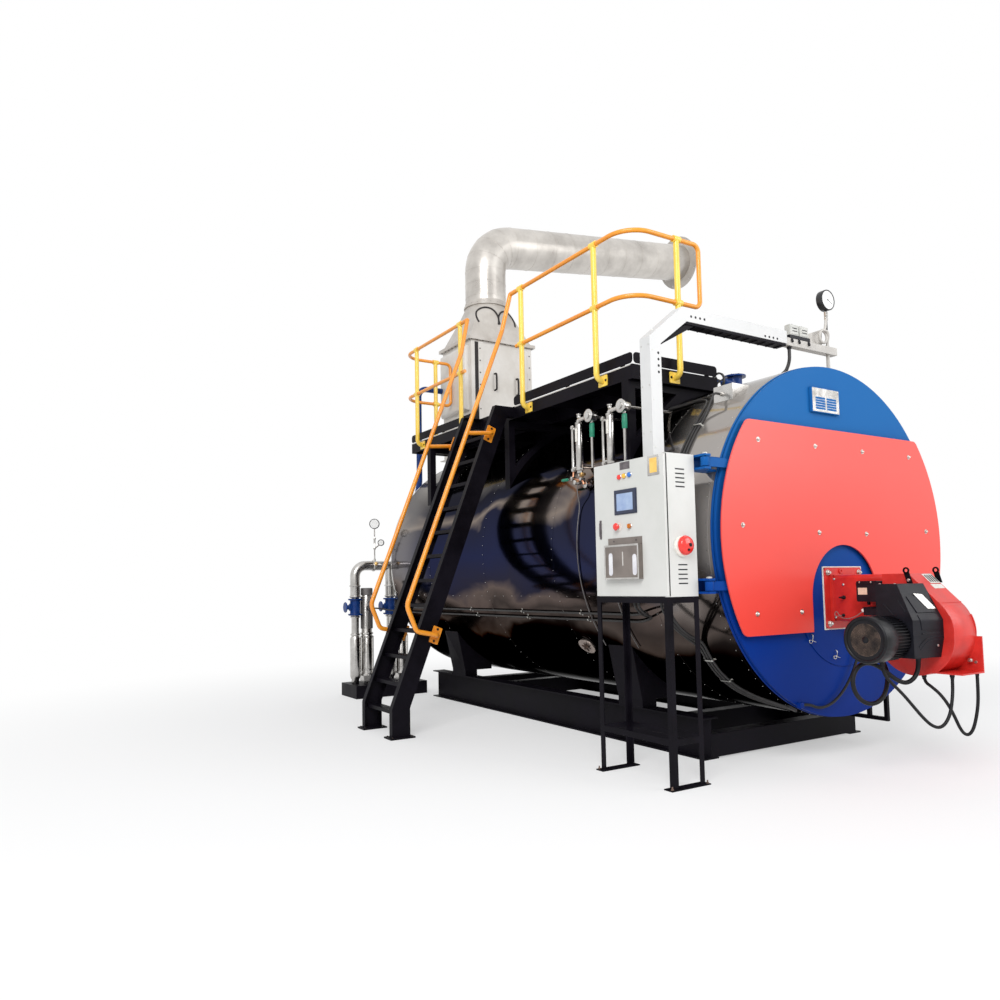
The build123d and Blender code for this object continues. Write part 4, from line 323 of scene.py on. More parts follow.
def mirror_sheet(name):
    """Polished sheet with painted reflections and shade in bands that follow its height in wavy streaks."""
    finish, tree, shader = new_finish(name, {})
    place = add_node(tree, "TexCoord", {}).outputs["Object"]
    parts = add_node(tree, "SeparateXYZ", {0: place})
    height = map_range(tree, parts.outputs["Z"], (shell_low.z, shell_high.z))
    stretch = add_node(tree, "Mapping", {"Scale": (0.75, 1.0, 1.25), "Vector": place}).outputs[0]
    noise = {"Scale": 0.95, "Detail": 4, "Roughness": 0.45, "Distortion": 0.9, "Vector": stretch}
    streaks = add_node(tree, "TexNoise", noise).outputs["Fac"]
    wander = add_node(tree, "Math", {0: streaks, 1: 0.42, 2: -0.21}, operation="MULTIPLY_ADD")
    level_at = add_node(tree, "Math", {0: height, 1: wander.outputs[0]}, operation="ADD").outputs[0]
    tints = add_node(tree, "ValToRGB", {"Fac": level_at})
    stops = tints.color_ramp.elements
    for element, (position, tint) in zip(stops, (PAINTED_LIGHT_BANDS[0], PAINTED_LIGHT_BANDS[-1])):
        element.position, element.color = position, (*tint, 1)
    for position, tint in PAINTED_LIGHT_BANDS[1:-1]:
        stops.new(position).color = (*tint, 1)
    front = map_range(tree, parts.outputs["X"], END_BLEND, (0, 0.75), smooth=True)
    rear = map_range(tree, parts.outputs["X"], REAR_BLEND, (0, 0.35), smooth=True)
    ends = add_node(tree, "Math", {0: front, 1: rear}, operation="MAXIMUM").outputs[0]
    foot = map_range(tree, level_at, TINT_FOOT, smooth=True)
    pale_share = add_node(tree, "Math", {0: ends, 1: foot}, operation="MULTIPLY").outputs[0]
    mixed = {"Factor": pale_share, "A": tints.outputs["Color"], "B": (*END_TINT, 1)}
    for socket, value in (
        ("Base Color", add_node(tree, "Mix", mixed, data_type="RGBA").outputs["Result"]),
        ("Metallic", map_range(tree, pale_share, (0, 1), (1.0, 0.45))),
        ("Roughness", map_range(tree, streaks, (0, 1), (0.04, 0.16))),
        ("Specular Tint", map_range(tree, height, *EDGE_TINTS)),
    ):
        tree.links.new(value, shader.inputs[socket])
    fine_relief(tree, shader, place, 2.2, 0.01, (0.45, 1, 1))
    return finish


mirror_steel = mirror_sheet("mirror steel")
plain_sheet = surface(
    "plain sheet", (0.62, 0.61, 0.59), (0.5, 0.49, 0.47), (0.22, 0.34), metal=1.0, grain=4, depth=0.004
)
dress(mirror_steel, "shell_barrel")
dress(plain_sheet, "rear_cover")


def shell_point(x, turn, lift=0.0):
    """A place on the cladding, at degrees above the axis on the near side."""
    reach = SHELL_R + lift
    return Vector((x, -reach * cos(radians(turn)), AXIS_Z + reach * sin(radians(turn))))


def shell_out(turn):
    """The way out of the cladding at degrees above the axis."""
    return shell_point(0, turn) - Vector((0, 0, AXIS_Z))


bands = bmesh.new()
rivets = bmesh.new()
rivet_dome = ((RIVET_R, 0), (0.8 * RIVET_R, 0.5 * RIVET_R), (0, 0.7 * RIVET_R))
band_form = (
    (SHELL_R - 0.001, -BAND_W / 2), (SHELL_R + BAND_T, -BAND_W / 2 + 0.001),
    (SHELL_R + BAND_T, BAND_W / 2 - 0.001), (SHELL_R - 0.001, BAND_W / 2),
)
for band_x in BAND_X:
    add_turned(bands, band_form, (band_x, 0, AXIS_Z), FRONT, 180)
    for turn in range(0, 360, RIVET_STEP):
        add_turned(rivets, rivet_dome, shell_point(band_x, turn, BAND_T - 0.0002), shell_out(turn), 8)
for start, end in zip(BAND_X[1:], BAND_X):
    for side in (SEAM_TURN, 180 - SEAM_TURN):
        low, high = side - 0.8, side + 0.8
        lap = [
            [bands.verts.new(shell_point(x, turn, lift))
             for turn, lift in ((low, -0.001), (low, 0.0011), (high, 0.0004), (high, -0.001))]
            for x in (start, end)
        ]
        add_skin(bands, lap)
        x = start + 0.12
        while x < end - 0.08:
            add_turned(rivets, rivet_dome, shell_point(x, side, 0.0006), shell_out(side), 8)
            x += 0.15
piece("cladding_bands", bands, mirror_steel, "boiler")
piece("cladding_rivets", rivets, plain_sheet, "boiler")

# Rear sheet trim: a ring of dome screws that holds the flat rear sheet, and the
# cast sight port of the combustion chamber, bolted through the sheet.
REAR_SCREW_IN = 0.06      # in from the edge of the sheet
REAR_SCREWS = 36
PORT_PLACE = (0.34, 0.16)  # across, and above the axis
PORT_BOLTS = (0.064, 4)    # radius and number
rear_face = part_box("rear_cover")[0].x


def around(radius, count, first=0.0):
    """Pairs of places on a circle, beginning a share of a step round it."""
    return [(radius * cos(a), radius * sin(a)) for a in (tau * (i + first) / count for i in range(count))]


rear_screws = bmesh.new()
for y, z in around(SHELL_R - REAR_SCREW_IN, REAR_SCREWS):
    screw = ((0.008, 0), (0.0075, 0.003), (0.005, 0.0052), (0, 0.006))
    add_turned(rear_screws, screw, (rear_face + 0.0004, y, AXIS_Z + z), REAR, 14)
piece("rear_screws", rear_screws, plain_sheet, "boiler")
port_at = Vector((rear_face, PORT_PLACE[0], AXIS_Z + PORT_PLACE[1]))
port = (
    (0, -0.001), (0.082, -0.001), (0.082, 0.009), (0.079, 0.012), (0.046, 0.013), (0.044, 0.052),
    (0.056, 0.054), (0.058, 0.057), (0.058, 0.066), (0.055, 0.069), (0.04, 0.069), (0.039, 0.061),
    (0, 0.061),
)
piece(
    "sight_port", add_turned(bmesh.new(), port, port_at, REAR, 40),
    black_paint, "boiler", 0.0012,
)
port_seats = [port_at + Vector((-0.0118, y, z)) for y, z in around(*PORT_BOLTS, 0.5)]
piece("sight_port_bolts", add_bolts(bmesh.new(), port_seats, REAR, 0.01), plain_sheet, "boiler")

# Handhole cover low on the near side: a pressed steel lid on a studded frame, with
# a sheet collar that trims the cladding round it and a forged star nut.
COVER_TILT = 39.3         # degrees below the axis
COLLAR_R = 0.128
STAR_R = (0.044, 0.017)
STAR_T = 0.011
lid_steel = surface(
    "lid steel", (0.44, 0.37, 0.33), (0.29, 0.235, 0.205), (0.24, 0.42), metal=0.9, patch=9, grain=70
)
rust_steel = surface(
    "rusty forging", (0.085, 0.052, 0.036), (0.04, 0.026, 0.021), (0.6, 0.85), metal=0.3,
    patch=30, grain=240, depth=0.001,
)
dress(lid_steel, "handhole_cover", edge=0.002)
cover_low, cover_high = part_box("handhole_cover")
cover_x = (cover_low.x + cover_high.x) / 2
cover_r = (cover_high.x - cover_low.x) / 2
cover_out = Vector((0, -cos(radians(COVER_TILT)), -sin(radians(COVER_TILT))))
cover_face = Vector((cover_x, 0, AXIS_Z)) + cover_out * (SHELL_R + 0.018)
collar = bmesh.new()
collar_rings = []
for radius, lift in (
    (cover_r + 0.0015, -0.002), (cover_r + 0.0015, 0.01), (cover_r + 0.004, 0.01),
    (cover_r + 0.008, 0.003), (COLLAR_R, 0.0018), (COLLAR_R + 0.001, -0.002),
):
    collar_rings.append([
        collar.verts.new(shell_point(cover_x + along, -COVER_TILT + up / SHELL_R * 180 / pi, lift))
        for along, up in around(radius, 48)
    ])
piece("handhole_collar", add_skin(collar, collar_rings), mirror_steel, "boiler")
star = bmesh.new()
washer = ((0, -0.001), (0.016, -0.001), (0.016, 0.004), (0.012, 0.004), (0.012, 0.008), (0, 0.008))
add_turned(star, washer, cover_face, cover_out, 20)
star_turn = cover_out.to_track_quat("Z", "Y").to_matrix()
star_rings = []
for share, along in (
    (0.02, 0.006), (0.92, 0.006), (1.0, 0.008), (1.0, 0.006 + STAR_T), (0.9, 0.008 + STAR_T),
    (0.02, 0.008 + STAR_T),
):
    star_rings.append([
        star.verts.new(
            cover_face + star_turn @ Vector((share * STAR_R[i % 2] * x, share * STAR_R[i % 2] * y, along))
        )
        for i, (x, y) in enumerate(around(1, 10))
    ])
add_skin(star, star_rings)
stud = ((0, 0.016), (0.007, 0.016), (0.007, 0.03), (0.005, 0.032), (0, 0.032))
add_turned(star, stud, cover_face, cover_out, 12)
piece("handhole_star_nut", star, rust_steel, "boiler", edge=0.0015)

# Inside the front: tube plate with the ends of the fire tubes expanded in it,
# furnace tube and the fibre lining of the door.
TUBE_R = 0.03
TUBE_PITCH = 0.115
TUBE_LIMIT = 1.1          # the bank keeps inside this radius
plate_steel = surface(
    "plate steel", (0.2, 0.19, 0.19), (0.11, 0.1, 0.1), (0.45, 0.7), metal=0.7, patch=6, grain=60
)
fibre = surface(
    "fibre lining", (0.72, 0.68, 0.6), (0.55, 0.5, 0.43), (0.85, 0.98), patch=7, grain=120, depth=0.003
)
dress(plate_steel, "front_tube_plate", "furnace_tube")
dress(fibre, "door_lining")
tube_plate_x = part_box("front_tube_plate")[1].x
furnace_low, furnace_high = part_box("furnace_tube")
furnace_z = (furnace_low.z + furnace_high.z) / 2
furnace_r = (furnace_high.z - furnace_low.z) / 2
tube_ends = bmesh.new()
rows = int(TUBE_LIMIT / TUBE_PITCH)
for row in range(-rows, rows + 1):
    for column in range(-rows, rows + 1):
        y, z = (column + 0.5 * (row % 2)) * TUBE_PITCH, AXIS_Z + row * TUBE_PITCH * sin(radians(60))
        in_plate = sqrt(y * y + (z - AXIS_Z) ** 2) < TUBE_LIMIT
        clear_of_furnace = sqrt(y * y + (z - furnace_z) ** 2) > furnace_r + 0.07
        if in_plate and clear_of_furnace:
            lip = (
                (TUBE_R, -0.001), (TUBE_R + 0.003, 0.004), (TUBE_R, 0.008),
                (TUBE_R - 0.004, 0.008), (TUBE_R - 0.005, 0.0005), (0, 0.0005),
            )
            add_turned(tube_ends, lip, (tube_plate_x, y, z), FRONT, 12)
piece("fire_tube_ends", tube_ends, plate_steel, "boiler")

# Burner door: blue plate that closes the front, hung on chunky hinges. Gloss
# enamel with painted light and shade: paler towards the top, deep below.
# Painted light and shade: deep blue low down, paler towards the top.
BLUE_SHADE_LEVELS = ((0.3, (0.0014, 0.02, 0.175)), (1.2, (0.0022, 0.034, 0.245)), (2.85, (0.012, 0.125, 0.37)))


def height_shaded_paint(name, levels, rough, shine):
    """Enamel with painted light and shade: its colour goes from level to level up the object."""
    finish = surface(name, levels[-1][1], levels[0][1], rough, patch=0.9, grain=70, shine=shine)
    tree = finish.node_tree
    parts = add_node(tree, "SeparateXYZ", {0: tree.nodes["Texture Coordinate"].outputs["Object"]})
    height = map_range(tree, parts.outputs["Z"], (levels[0][0], levels[-1][0]))
    drift = tree.nodes["Noise Texture"].outputs["Fac"]
    wander = add_node(tree, "Math", {0: drift, 1: 0.3, 2: height}, operation="MULTIPLY_ADD")
    shades = tree.nodes["Color Ramp"]
    stops = shades.color_ramp.elements
    span = levels[-1][0] - levels[0][0]
    stops[0].position = 0.15
    stops[1].position = 1.0
    for at, tint in levels[1:-1]:
        stops.new(0.15 + 0.85 * (at - levels[0][0]) / span).color = (*tint, 1)
    tree.links.new(wander.outputs[0], shades.inputs["Fac"])
    return finish


door_blue = height_shaded_paint("door blue", BLUE_SHADE_LEVELS, (0.26, 0.4), 0.06)
dress(door_blue, "front_ring", "front_door", "door_hinges", "burner_plate", edge=0.0015)
PIN_R = 0.02
PIN_HEAD = 0.012
LOWER_PIN_Z = 1.315
stainless = surface(
    "stainless", (0.6, 0.585, 0.565), (0.42, 0.405, 0.385), (0.14, 0.3), metal=1.0, patch=8,
    grain=220, stretch=(1, 1, 0.08),
)
zinc = surface("zinc plate", (0.66, 0.66, 0.63), (0.52, 0.51, 0.47), (0.25, 0.4), metal=1.0, patch=40)
door_joint = next(joint for joint in frame["joints"] if joint["name"] == "burner_door_hinge")
hinge_pins = bmesh.new()
for z in (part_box("door_hinges")[1].z, LOWER_PIN_Z):
    pin = ((0, 0), (PIN_R, 0), (PIN_R, 0.6 * PIN_HEAD), (0.8 * PIN_R, PIN_HEAD), (0, PIN_HEAD))
    add_turned(hinge_pins, pin, (*door_joint["pos_m"][:2], z), UP, 24)
piece("hinge_pin_heads", hinge_pins, zinc, "boiler")

# Red panel: pressed sheet in red gloss enamel, cut out round the burner. Steel
# dome nuts hold it on studs. A small steel plate, blank, sits on a blue box above.
# Painted light: the red is a little paler towards the top.
RED_SHADE_LEVELS = ((0.95, (0.8, 0.06, 0.044)), (2.35, (0.84, 0.105, 0.088)))
panel_red = height_shaded_paint("panel red", RED_SHADE_LEVELS, (0.3, 0.325), 0.35)
dress(panel_red, "door_panel", edge=0.0015)
dress(stainless, "panel_studs")
STUD_LEVELS = (0.67, 0.076, -0.52)      # above the shell axis
STUD_EDGE = 0.2                         # outer nuts from the edge of the panel
INNER_STUDS = ((0.281, 0.67), (0.281, 0.041), (0.514, -0.52))
NUT_R = 0.012
NAME_PLATE = (-0.262, 0.048, 2.53, 2.706)
NAME_BOX_T = 0.024


def dome(radius, base, rise, step=15):
    """Profile of a dome on a base, in steps of degrees up to its top."""
    turns = [radians(turn) for turn in range(0, 90, step)]
    return [*((radius * cos(a), base + rise * sin(a)) for a in turns), (0, base + rise)]


panel_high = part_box("door_panel")[1]
stud_places = [(sqrt(panel_high.y ** 2 - up ** 2) - STUD_EDGE, AXIS_Z + up) for up in STUD_LEVELS]
stud_places += [(y, AXIS_Z + up) for y, up in INNER_STUDS]
dome_nuts = bmesh.new()
for y, z in stud_places:
    for side in (-1, 1):
        seat = (panel_high.x, side * y, z)
        add_turned(dome_nuts, ((0, 0), *disc(1.5 * NUT_R, 0, 0.0015)), seat, FRONT)
        add_turned(dome_nuts, disc(NUT_R, 0.001, 0.007), seat, FRONT, 6)
        add_turned(dome_nuts, dome(0.85 * NUT_R, 0.007, 0.85 * NUT_R), seat, FRONT, 16)
piece("panel_dome_nuts", dome_nuts, zinc, "burner_door")


def add_block(built, low, high, turn=0.0, axis="X", shift=None):
    """A box between two corners, which may be turned about the origin and shifted."""
    low, high = Vector(low), Vector(high)
    made = bmesh.ops.create_cube(built, size=1)["verts"]
    bmesh.ops.scale(built, vec=high - low, verts=made)
    bmesh.ops.translate(built, vec=(low + high) / 2, verts=made)
    if shift:
        bmesh.ops.rotate(built, cent=(0, 0, 0), matrix=Matrix.Rotation(turn, 3, axis), verts=made)
        bmesh.ops.translate(built, vec=shift, verts=made)
    return built


door_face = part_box("burner_plate")[0].x
plate_x = door_face + NAME_BOX_T
name_y0, name_y1, name_z0, name_z1 = NAME_PLATE
piece(
    "name_plate_box",
    add_block(
        bmesh.new(), (door_face, name_y0 - 0.006, name_z0 - 0.006),
        (plate_x, name_y1 + 0.006, name_z1 + 0.006),
    ),
    door_blue, "burner_door", 0.004,
)
name_plate = bmesh.new()
add_block(name_plate, (plate_x, name_y0, name_z0), (plate_x + 0.0015, name_y1, name_z1))
for y in (name_y0 + 0.012, name_y1 - 0.012):
    for z in (name_z0 + 0.012, name_z1 - 0.012):
        add_turned(
            name_plate, ((0.004, 0), (0.003, 0.002), (0, 0.0025)), (plate_x + 0.0014, y, z), FRONT, 10
        )
piece("name_plate", name_plate, stainless, "burner_door", 0.0006)
fields = bmesh.new()
for y in (name_y0 + 0.034, name_y0 + 0.164):
    for row in range(5):
        z = name_z0 + 0.018 + row * 0.019
        add_block(fields, (plate_x + 0.0012, y, z), (plate_x + 0.0019, y + 0.112, z + 0.0155))
piece("name_plate_fields", fields, door_blue, "burner_door")

# Mounting plate clamps: two sprung wire clips of plated steel at the lower left
# edge of the round burner plate, hooked through a small eye.
CLAMP_PLACES = ((-0.385, 0.861), (-0.12, 0.735))
CLAMP_FORM = (
    (-0.001, 0.006, 0.046), (0.012, 0.008, 0.046), (0.016, 0.004, 0.03), (0.014, 0.0, 0.008),
    (0.016, -0.008, -0.012), (0.012, -0.024, -0.016), (0.01, -0.034, -0.002), (0.014, -0.028, 0.01),
    (0.018, -0.004, 0.002), (0.016, 0.02, -0.006), (0.012, 0.044, -0.01), (-0.001, 0.05, -0.011),
)
mount_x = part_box("burner_plate")[1].x


def smooth_curve(name, runs, radius, finish, around_steps, along_steps):
    """A round curve along smooth runs of points."""
    line = bpy.data.curves.new(name, "CURVE")
    line.dimensions = "3D"
    line.bevel_depth = radius
    line.bevel_resolution, line.resolution_u = around_steps, along_steps
    line.use_fill_caps = True
    for points in runs:
        spline = line.splines.new("NURBS")
        spline.points.add(len(points) - 1)
        for control, point in zip(spline.points, points):
            control.co = (*point, 1)
        spline.order_u = 3
        spline.use_endpoint_u = True
    line.materials.append(finish)
    return bpy.data.objects.new(name, line)


def bent_rod(name, runs, radius, finish, body):
    """Round bar, pipe or lead along smooth runs of points."""
    ride_on(smooth_curve(name, runs, radius, finish, 3, 8), body)


clip_runs = [
    [(mount_x + x, clip_y + y, clip_z + z) for x, y, z in CLAMP_FORM] for clip_y, clip_z in CLAMP_PLACES
]
bent_rod("plate_clips", clip_runs, 0.0026, zinc, "burner_door")

# Burner flange: red casting on a white rope gasket, with four plated bolts at
# its corners and a small lifting ear at the top.
burner_red = surface(
    "burner red", (0.64, 0.03, 0.022), (0.52, 0.02, 0.015), (0.28, 0.42), patch=9, grain=240, depth=0.0006
)
gasket_white = surface(
    "gasket rope", (0.8, 0.78, 0.72), (0.66, 0.63, 0.56), (0.8, 0.95), patch=30, grain=420, depth=0.001
)
GASKET_OUT = 0.009
GASKET_T = 0.009
FLANGE_BOLT_IN = 0.036
flange_low, flange_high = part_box("burner_flange")
flange_y = flange_high.y
flange_z0, flange_z1 = flange_low.z, flange_high.z
gasket = bmesh.new()
gasket_z0, gasket_z1 = flange_z0 - GASKET_OUT, flange_z1 + GASKET_OUT
for y0, y1, z0, z1 in (
    (-flange_y - GASKET_OUT, -flange_y - 0.0003, gasket_z0, gasket_z1),
    (flange_y + 0.0003, flange_y + GASKET_OUT, gasket_z0, gasket_z1),
    (-flange_y, flange_y, gasket_z0, flange_z0 - 0.0003),
    (-flange_y, flange_y, flange_z1 + 0.0003, gasket_z1),
):
    add_block(gasket, (mount_x, y0, z0), (mount_x + GASKET_T, y1, z1))
piece("flange_gasket", gasket, gasket_white, "burner_door", 0.002)
flange_bolts = bmesh.new()
for y in (-flange_y + FLANGE_BOLT_IN, flange_y - FLANGE_BOLT_IN):
    for z in (flange_z0 + FLANGE_BOLT_IN, flange_z1 - FLANGE_BOLT_IN):
        add_bolts(flange_bolts, [(flange_high.x, y, z)], FRONT, 0.02)
        add_turned(
            flange_bolts, ((0.0095, 0.012), (0.0095, 0.024), (0.008, 0.026), (0, 0.026)),
            (flange_high.x, y, z), FRONT, 12,
        )
piece("flange_bolts", flange_bolts, zinc, "burner_door")
flange_eye = bmesh.new()
eye = ((0.008, 0), (0.019, 0), (0.019, 0.012), (0.008, 0.012), (0.008, 0))
add_turned(flange_eye, eye, (flange_high.x - 0.002, -0.035, flange_z1 - 0.024), FRONT, 28)
piece("flange_eye", flange_eye, burner_red, "burner_door", 0.001)

# Burner head: red box casting with a lid seam and screws. On its near face a
# flame probe, an electrode lead on a white cap, the black ignition box and the
# air switch below it.
HEAD_SCREWS = ((1.443, 1.256), (1.372, 1.296), (1.372, 1.02), (1.56, 1.02))
PROBE = (1.446, 1.165)
ELECTRODE = (1.436, 1.038)
SWITCH_BOX = (1.672, 1.789, 1.048, 1.104)
SWITCH_NEAR = -0.292
CAP = (1.664, -0.268, 1.078)
dress(burner_red, "burner_flange", "burner_head", "fan_housing", edge=0.003)
head_low, head_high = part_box("burner_head")
head_trim = bmesh.new()
for y0, y1, z0, z1 in (
    (head_low.y - 0.003, head_low.y + 0.002, head_low.z - 0.003, head_high.z + 0.003),
    (head_high.y - 0.002, head_high.y + 0.003, head_low.z - 0.003, head_high.z + 0.003),
    (head_low.y, head_high.y, head_high.z - 0.002, head_high.z + 0.003),
    (head_low.y, head_high.y, head_low.z - 0.003, head_low.z + 0.002),
):
    add_block(head_trim, (head_low.x, y0, z0), (head_low.x + 0.028, y1, z1))
piece("head_collar", head_trim, burner_red, "burner_door", 0.002)
head_screws = bmesh.new()
for x, z in HEAD_SCREWS:
    add_turned(head_screws, disc(0.009, 0, 0.003), (x, head_low.y, z), NEAR, 16)
    add_turned(
        head_screws, ((0.006, 0.002), (0.006, 0.008), (0.005, 0.009), (0, 0.009)), (x, head_low.y, z), NEAR,
        6,
    )
piece("head_screws", head_screws, zinc, "burner_door")
moulded_black = surface(
    "moulded black", (0.009, 0.009, 0.014), (0.004, 0.004, 0.007), (0.36, 0.5), patch=10, grain=600,
    depth=0.0002, shine=0.22,
)
motor_black = surface(
    "motor black", (0.008, 0.008, 0.011), (0.004, 0.004, 0.005), (0.3, 0.42), patch=12, grain=300,
    shine=0.25,
)
probes = bmesh.new()
add_turned(
    probes,
    ((0.013, 0), (0.013, 0.01), (0.009, 0.012), (0.009, 0.03), (0.0055, 0.034), (0.0055, 0.058), (0, 0.058)),
    (PROBE[0], head_low.y, PROBE[1]), NEAR, 20,
)
add_turned(
    probes, ((0.011, 0), (0.011, 0.008), (0.007, 0.012), (0.007, 0.022), (0, 0.022)),
    (ELECTRODE[0], head_low.y, ELECTRODE[1]), NEAR, 20,
)
piece("flame_probes", probes, moulded_black, "burner_door", 0.0008)
dress(moulded_black, "burner_cover", edge=0.006)
switch_box = bmesh.new()
add_block(
    switch_box, (SWITCH_BOX[0], SWITCH_NEAR, SWITCH_BOX[2]), (SWITCH_BOX[1], head_low.y, SWITCH_BOX[3])
)
add_block(
    switch_box, (SWITCH_BOX[0] - 0.004, SWITCH_NEAR - 0.004, SWITCH_BOX[3] - 0.008),
    (SWITCH_BOX[1] + 0.004, head_low.y, SWITCH_BOX[3] - 0.002),
)
piece("air_switch", switch_box, moulded_black, "burner_door", 0.003)
IGNITION = (1.633, 1.787, 1.14, 1.28)
IGNITION_NEAR = -0.3
ignition_trim = bmesh.new()
add_block(
    ignition_trim, (IGNITION[0] - 0.003, IGNITION_NEAR - 0.003, IGNITION[3] - 0.022),
    (IGNITION[1] + 0.003, head_low.y - 0.001, IGNITION[3] - 0.018),
)
for x in (IGNITION[0] + 0.045, IGNITION[1] - 0.045):
    add_turned(
        ignition_trim, ((0.011, 0), (0.011, 0.022), (0.008, 0.025), (0, 0.025)),
        (x, -0.235, IGNITION[2] + 0.001), DOWN, 12,
    )
piece("ignition_box_lid", ignition_trim, moulded_black, "burner_door", 0.001)
ignition_screws = bmesh.new()
for x in (IGNITION[0] + 0.025, IGNITION[1] - 0.045):
    add_turned(
        ignition_screws, ((0.006, 0), (0.006, 0.003), (0.004, 0.005), (0, 0.005)),
        (x, IGNITION_NEAR, IGNITION[3] - 0.009), NEAR, 12,
    )
piece("ignition_box_screws", ignition_screws, zinc, "burner_door")
label_cream = surface(
    "blank label", (0.78, 0.62, 0.46), (0.68, 0.5, 0.36), (0.45, 0.6), patch=60, grain=300, depth=0.0001
)
label_white = surface(
    "bare plate", (0.7, 0.68, 0.64), (0.58, 0.56, 0.52), (0.35, 0.5), patch=50, grain=300, depth=0.0001
)
piece(
    "ignition_box_label",
    add_block(bmesh.new(), (1.645, IGNITION_NEAR - 0.0008, 1.188), (1.712, IGNITION_NEAR + 0.0002, 1.234)),
    label_cream, "burner_door", 0.0003,
)
ceramic = surface(
    "ceramic white", (0.82, 0.8, 0.74), (0.72, 0.69, 0.62), (0.2, 0.35), patch=50, grain=300, depth=0.0001
)
cap_form = ((0.009, 0), (0.013, 0.003), *dome(0.013, 0.014, 0.01, 18))
piece(
    "electrode_cap", add_turned(bmesh.new(), cap_form, CAP, (0, -1, 0.15), 20),
    ceramic, "burner_door",
)

LEAD = (
    (1.436, -0.186, 1.038), (1.436, -0.215, 1.036), (1.412, -0.228, 1.03), (1.404, -0.226, 1.052),
    (1.418, -0.222, 1.072), (1.44, -0.224, 1.04), (1.478, -0.236, 1.018), (1.54, -0.252, 1.02),
    (1.6, -0.262, 1.04), (1.64, -0.268, 1.066), (1.658, -0.272, 1.077),
)
lead_grey = surface(
    "lead grey", (0.3, 0.235, 0.21), (0.19, 0.15, 0.135), (0.4, 0.6), grain=300, depth=0.0001
)
bent_rod("electrode_lead", (LEAD,), 0.0026, lead_grey, "burner_door")

# Fan housing: red casting. On top two black lifting straps, on the sloping plate
# a cream louvre and a small plate, both blank; a rim round the scroll and a
# plated knob on the foot's web.
SLOPE_TOP = Vector((1.976, 0, 1.325))
SLOPE_DOWN = Vector((1, 0, -1)).normalized()
SLOPE_OUT = Vector((1, 0, 1)).normalized()
STRAPS = ((1.968, -0.25, -1, 1.262, 1.345), (2.016, 0.005, 1, 1.262, 1.345))
STRAP_T = 0.007
EYE_R = (0.011, 0.022)
KNOB = (2.219, 0.767)
FAN_AXIS = (1.985, 0.92)
house_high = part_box("fan_housing")[1]


def add_six_sided(built, corners):
    """A block between two outlines of four corners, given one after the other."""
    verts = [built.verts.new(corner) for corner in corners]
    for ring in ((3, 2, 1, 0), (4, 5, 6, 7), (0, 1, 5, 4), (1, 2, 6, 5), (2, 3, 7, 6), (3, 0, 4, 7)):
        built.faces.new([verts[i] for i in ring])
    return built


straps = bmesh.new()
strap_bolts = bmesh.new()
for x, y, side, z0, z1 in STRAPS:
    top = z1 - 0.012
    add_six_sided(straps, [
        (px, py, pz)
        for py in sorted((y, y + side * STRAP_T))
        for px, pz in ((x, z0), (x + 0.036, z0), (x + 0.016, top), (x - 0.02, top))
    ])
    eye = ((EYE_R[0], 0), (EYE_R[1], 0), (EYE_R[1], STRAP_T), (EYE_R[0], STRAP_T), (EYE_R[0], 0))
    add_turned(straps, eye, (x - 0.004, y, z1), (0, side, 0), 32)
    add_bolts(strap_bolts, [(x + 0.012, y + side * STRAP_T, z0 + 0.02)], (0, side, 0), 0.01)
piece("lifting_straps", straps, black_paint, "burner_door", 0.001)
piece("strap_bolts", strap_bolts, zinc, "burner_door")


def add_slope_plate(built, down0, down1, y0, y1, lift0, lift1):
    """A flat plate on the sloping sheet of the fan housing, with its corners square."""
    return add_six_sided(built, [
        SLOPE_TOP + SLOPE_DOWN * down + SLOPE_OUT * lift + Vector((0, y, 0))
        for lift in (lift0, lift1)
        for down, y in ((down0, y0), (down1, y0), (down1, y1), (down0, y1))
    ])


piece(
    "louvre_plate", add_slope_plate(bmesh.new(), 0.008, 0.094, -0.112, 0.0, -0.0005, 0.003), label_white,
    "burner_door", 0.0008,
)
slots = bmesh.new()
for row in range(4):
    y = -0.101 + row * 0.026
    add_slope_plate(slots, 0.018, 0.084, y, y + 0.013, 0.0028, 0.0036)
piece("louvre_slots", slots, moulded_black, "burner_door")
piece(
    "slope_plate", add_slope_plate(bmesh.new(), 0.103, 0.142, -0.13, -0.008, -0.0005, 0.002), label_white,
    "burner_door", 0.0005,
)
seam = bmesh.new()
add_slope_plate(seam, 0.262, 0.27, -0.252, 0.007, -0.001, 0.003)
rim_turns = [radians(30 - 6 * step) for step in range(16)]
for y0, y1 in ((-0.253, -0.246), (0.001, 0.008)):
    rings = []
    for a in rim_turns:
        grown = 0.262 + 0.02 * max(0.0, sin(a)) / sin(radians(45))
        rings.append([
            seam.verts.new((FAN_AXIS[0] + r * cos(a), y, FAN_AXIS[1] + r * sin(a)))
            for r, y in ((grown - 0.012, y0), (grown + 0.003, y0), (grown + 0.003, y1), (grown - 0.012, y1))
        ])
    add_skin(seam, rings)
    seam.faces.new(rings[0])
    seam.faces.new(list(reversed(rings[-1])))
piece("scroll_rim", seam, burner_red, "burner_door", 0.001)
knob = bmesh.new()
knob_seat = (KNOB[0], house_high.y - 0.01, KNOB[1])
add_turned(
    knob, ((0.006, 0), (0.006, 0.014), (0.015, 0.018), (0.015, 0.03), (0.011, 0.036), (0, 0.037)), knob_seat,
    NEAR, 20,
)
add_turned(knob, disc(0.01, 0, 0.004), (KNOB[0] + 0.022, house_high.y - 0.01, KNOB[1] - 0.012), NEAR, 6)
piece("web_knob", knob, zinc, "burner_door", 0.0008)

# Moulded cover: black shell over the right of the motor, ruled between a small
# outline at its near end and a wider one at the housing. A raised lid, two seam
# ridges, a curved relief, a blank steel plate and a small screw on its side.
COVER_NEAR_Y, COVER_FAR_Y = -0.5, -0.25
COVER_EDGE = ((1.26, 0.06), (1.0333, 0.15), (0.92, 0.15), (0.798, 0.15))
COVER_FLARE = (0.025, 0.05, 0.05, 0.025)


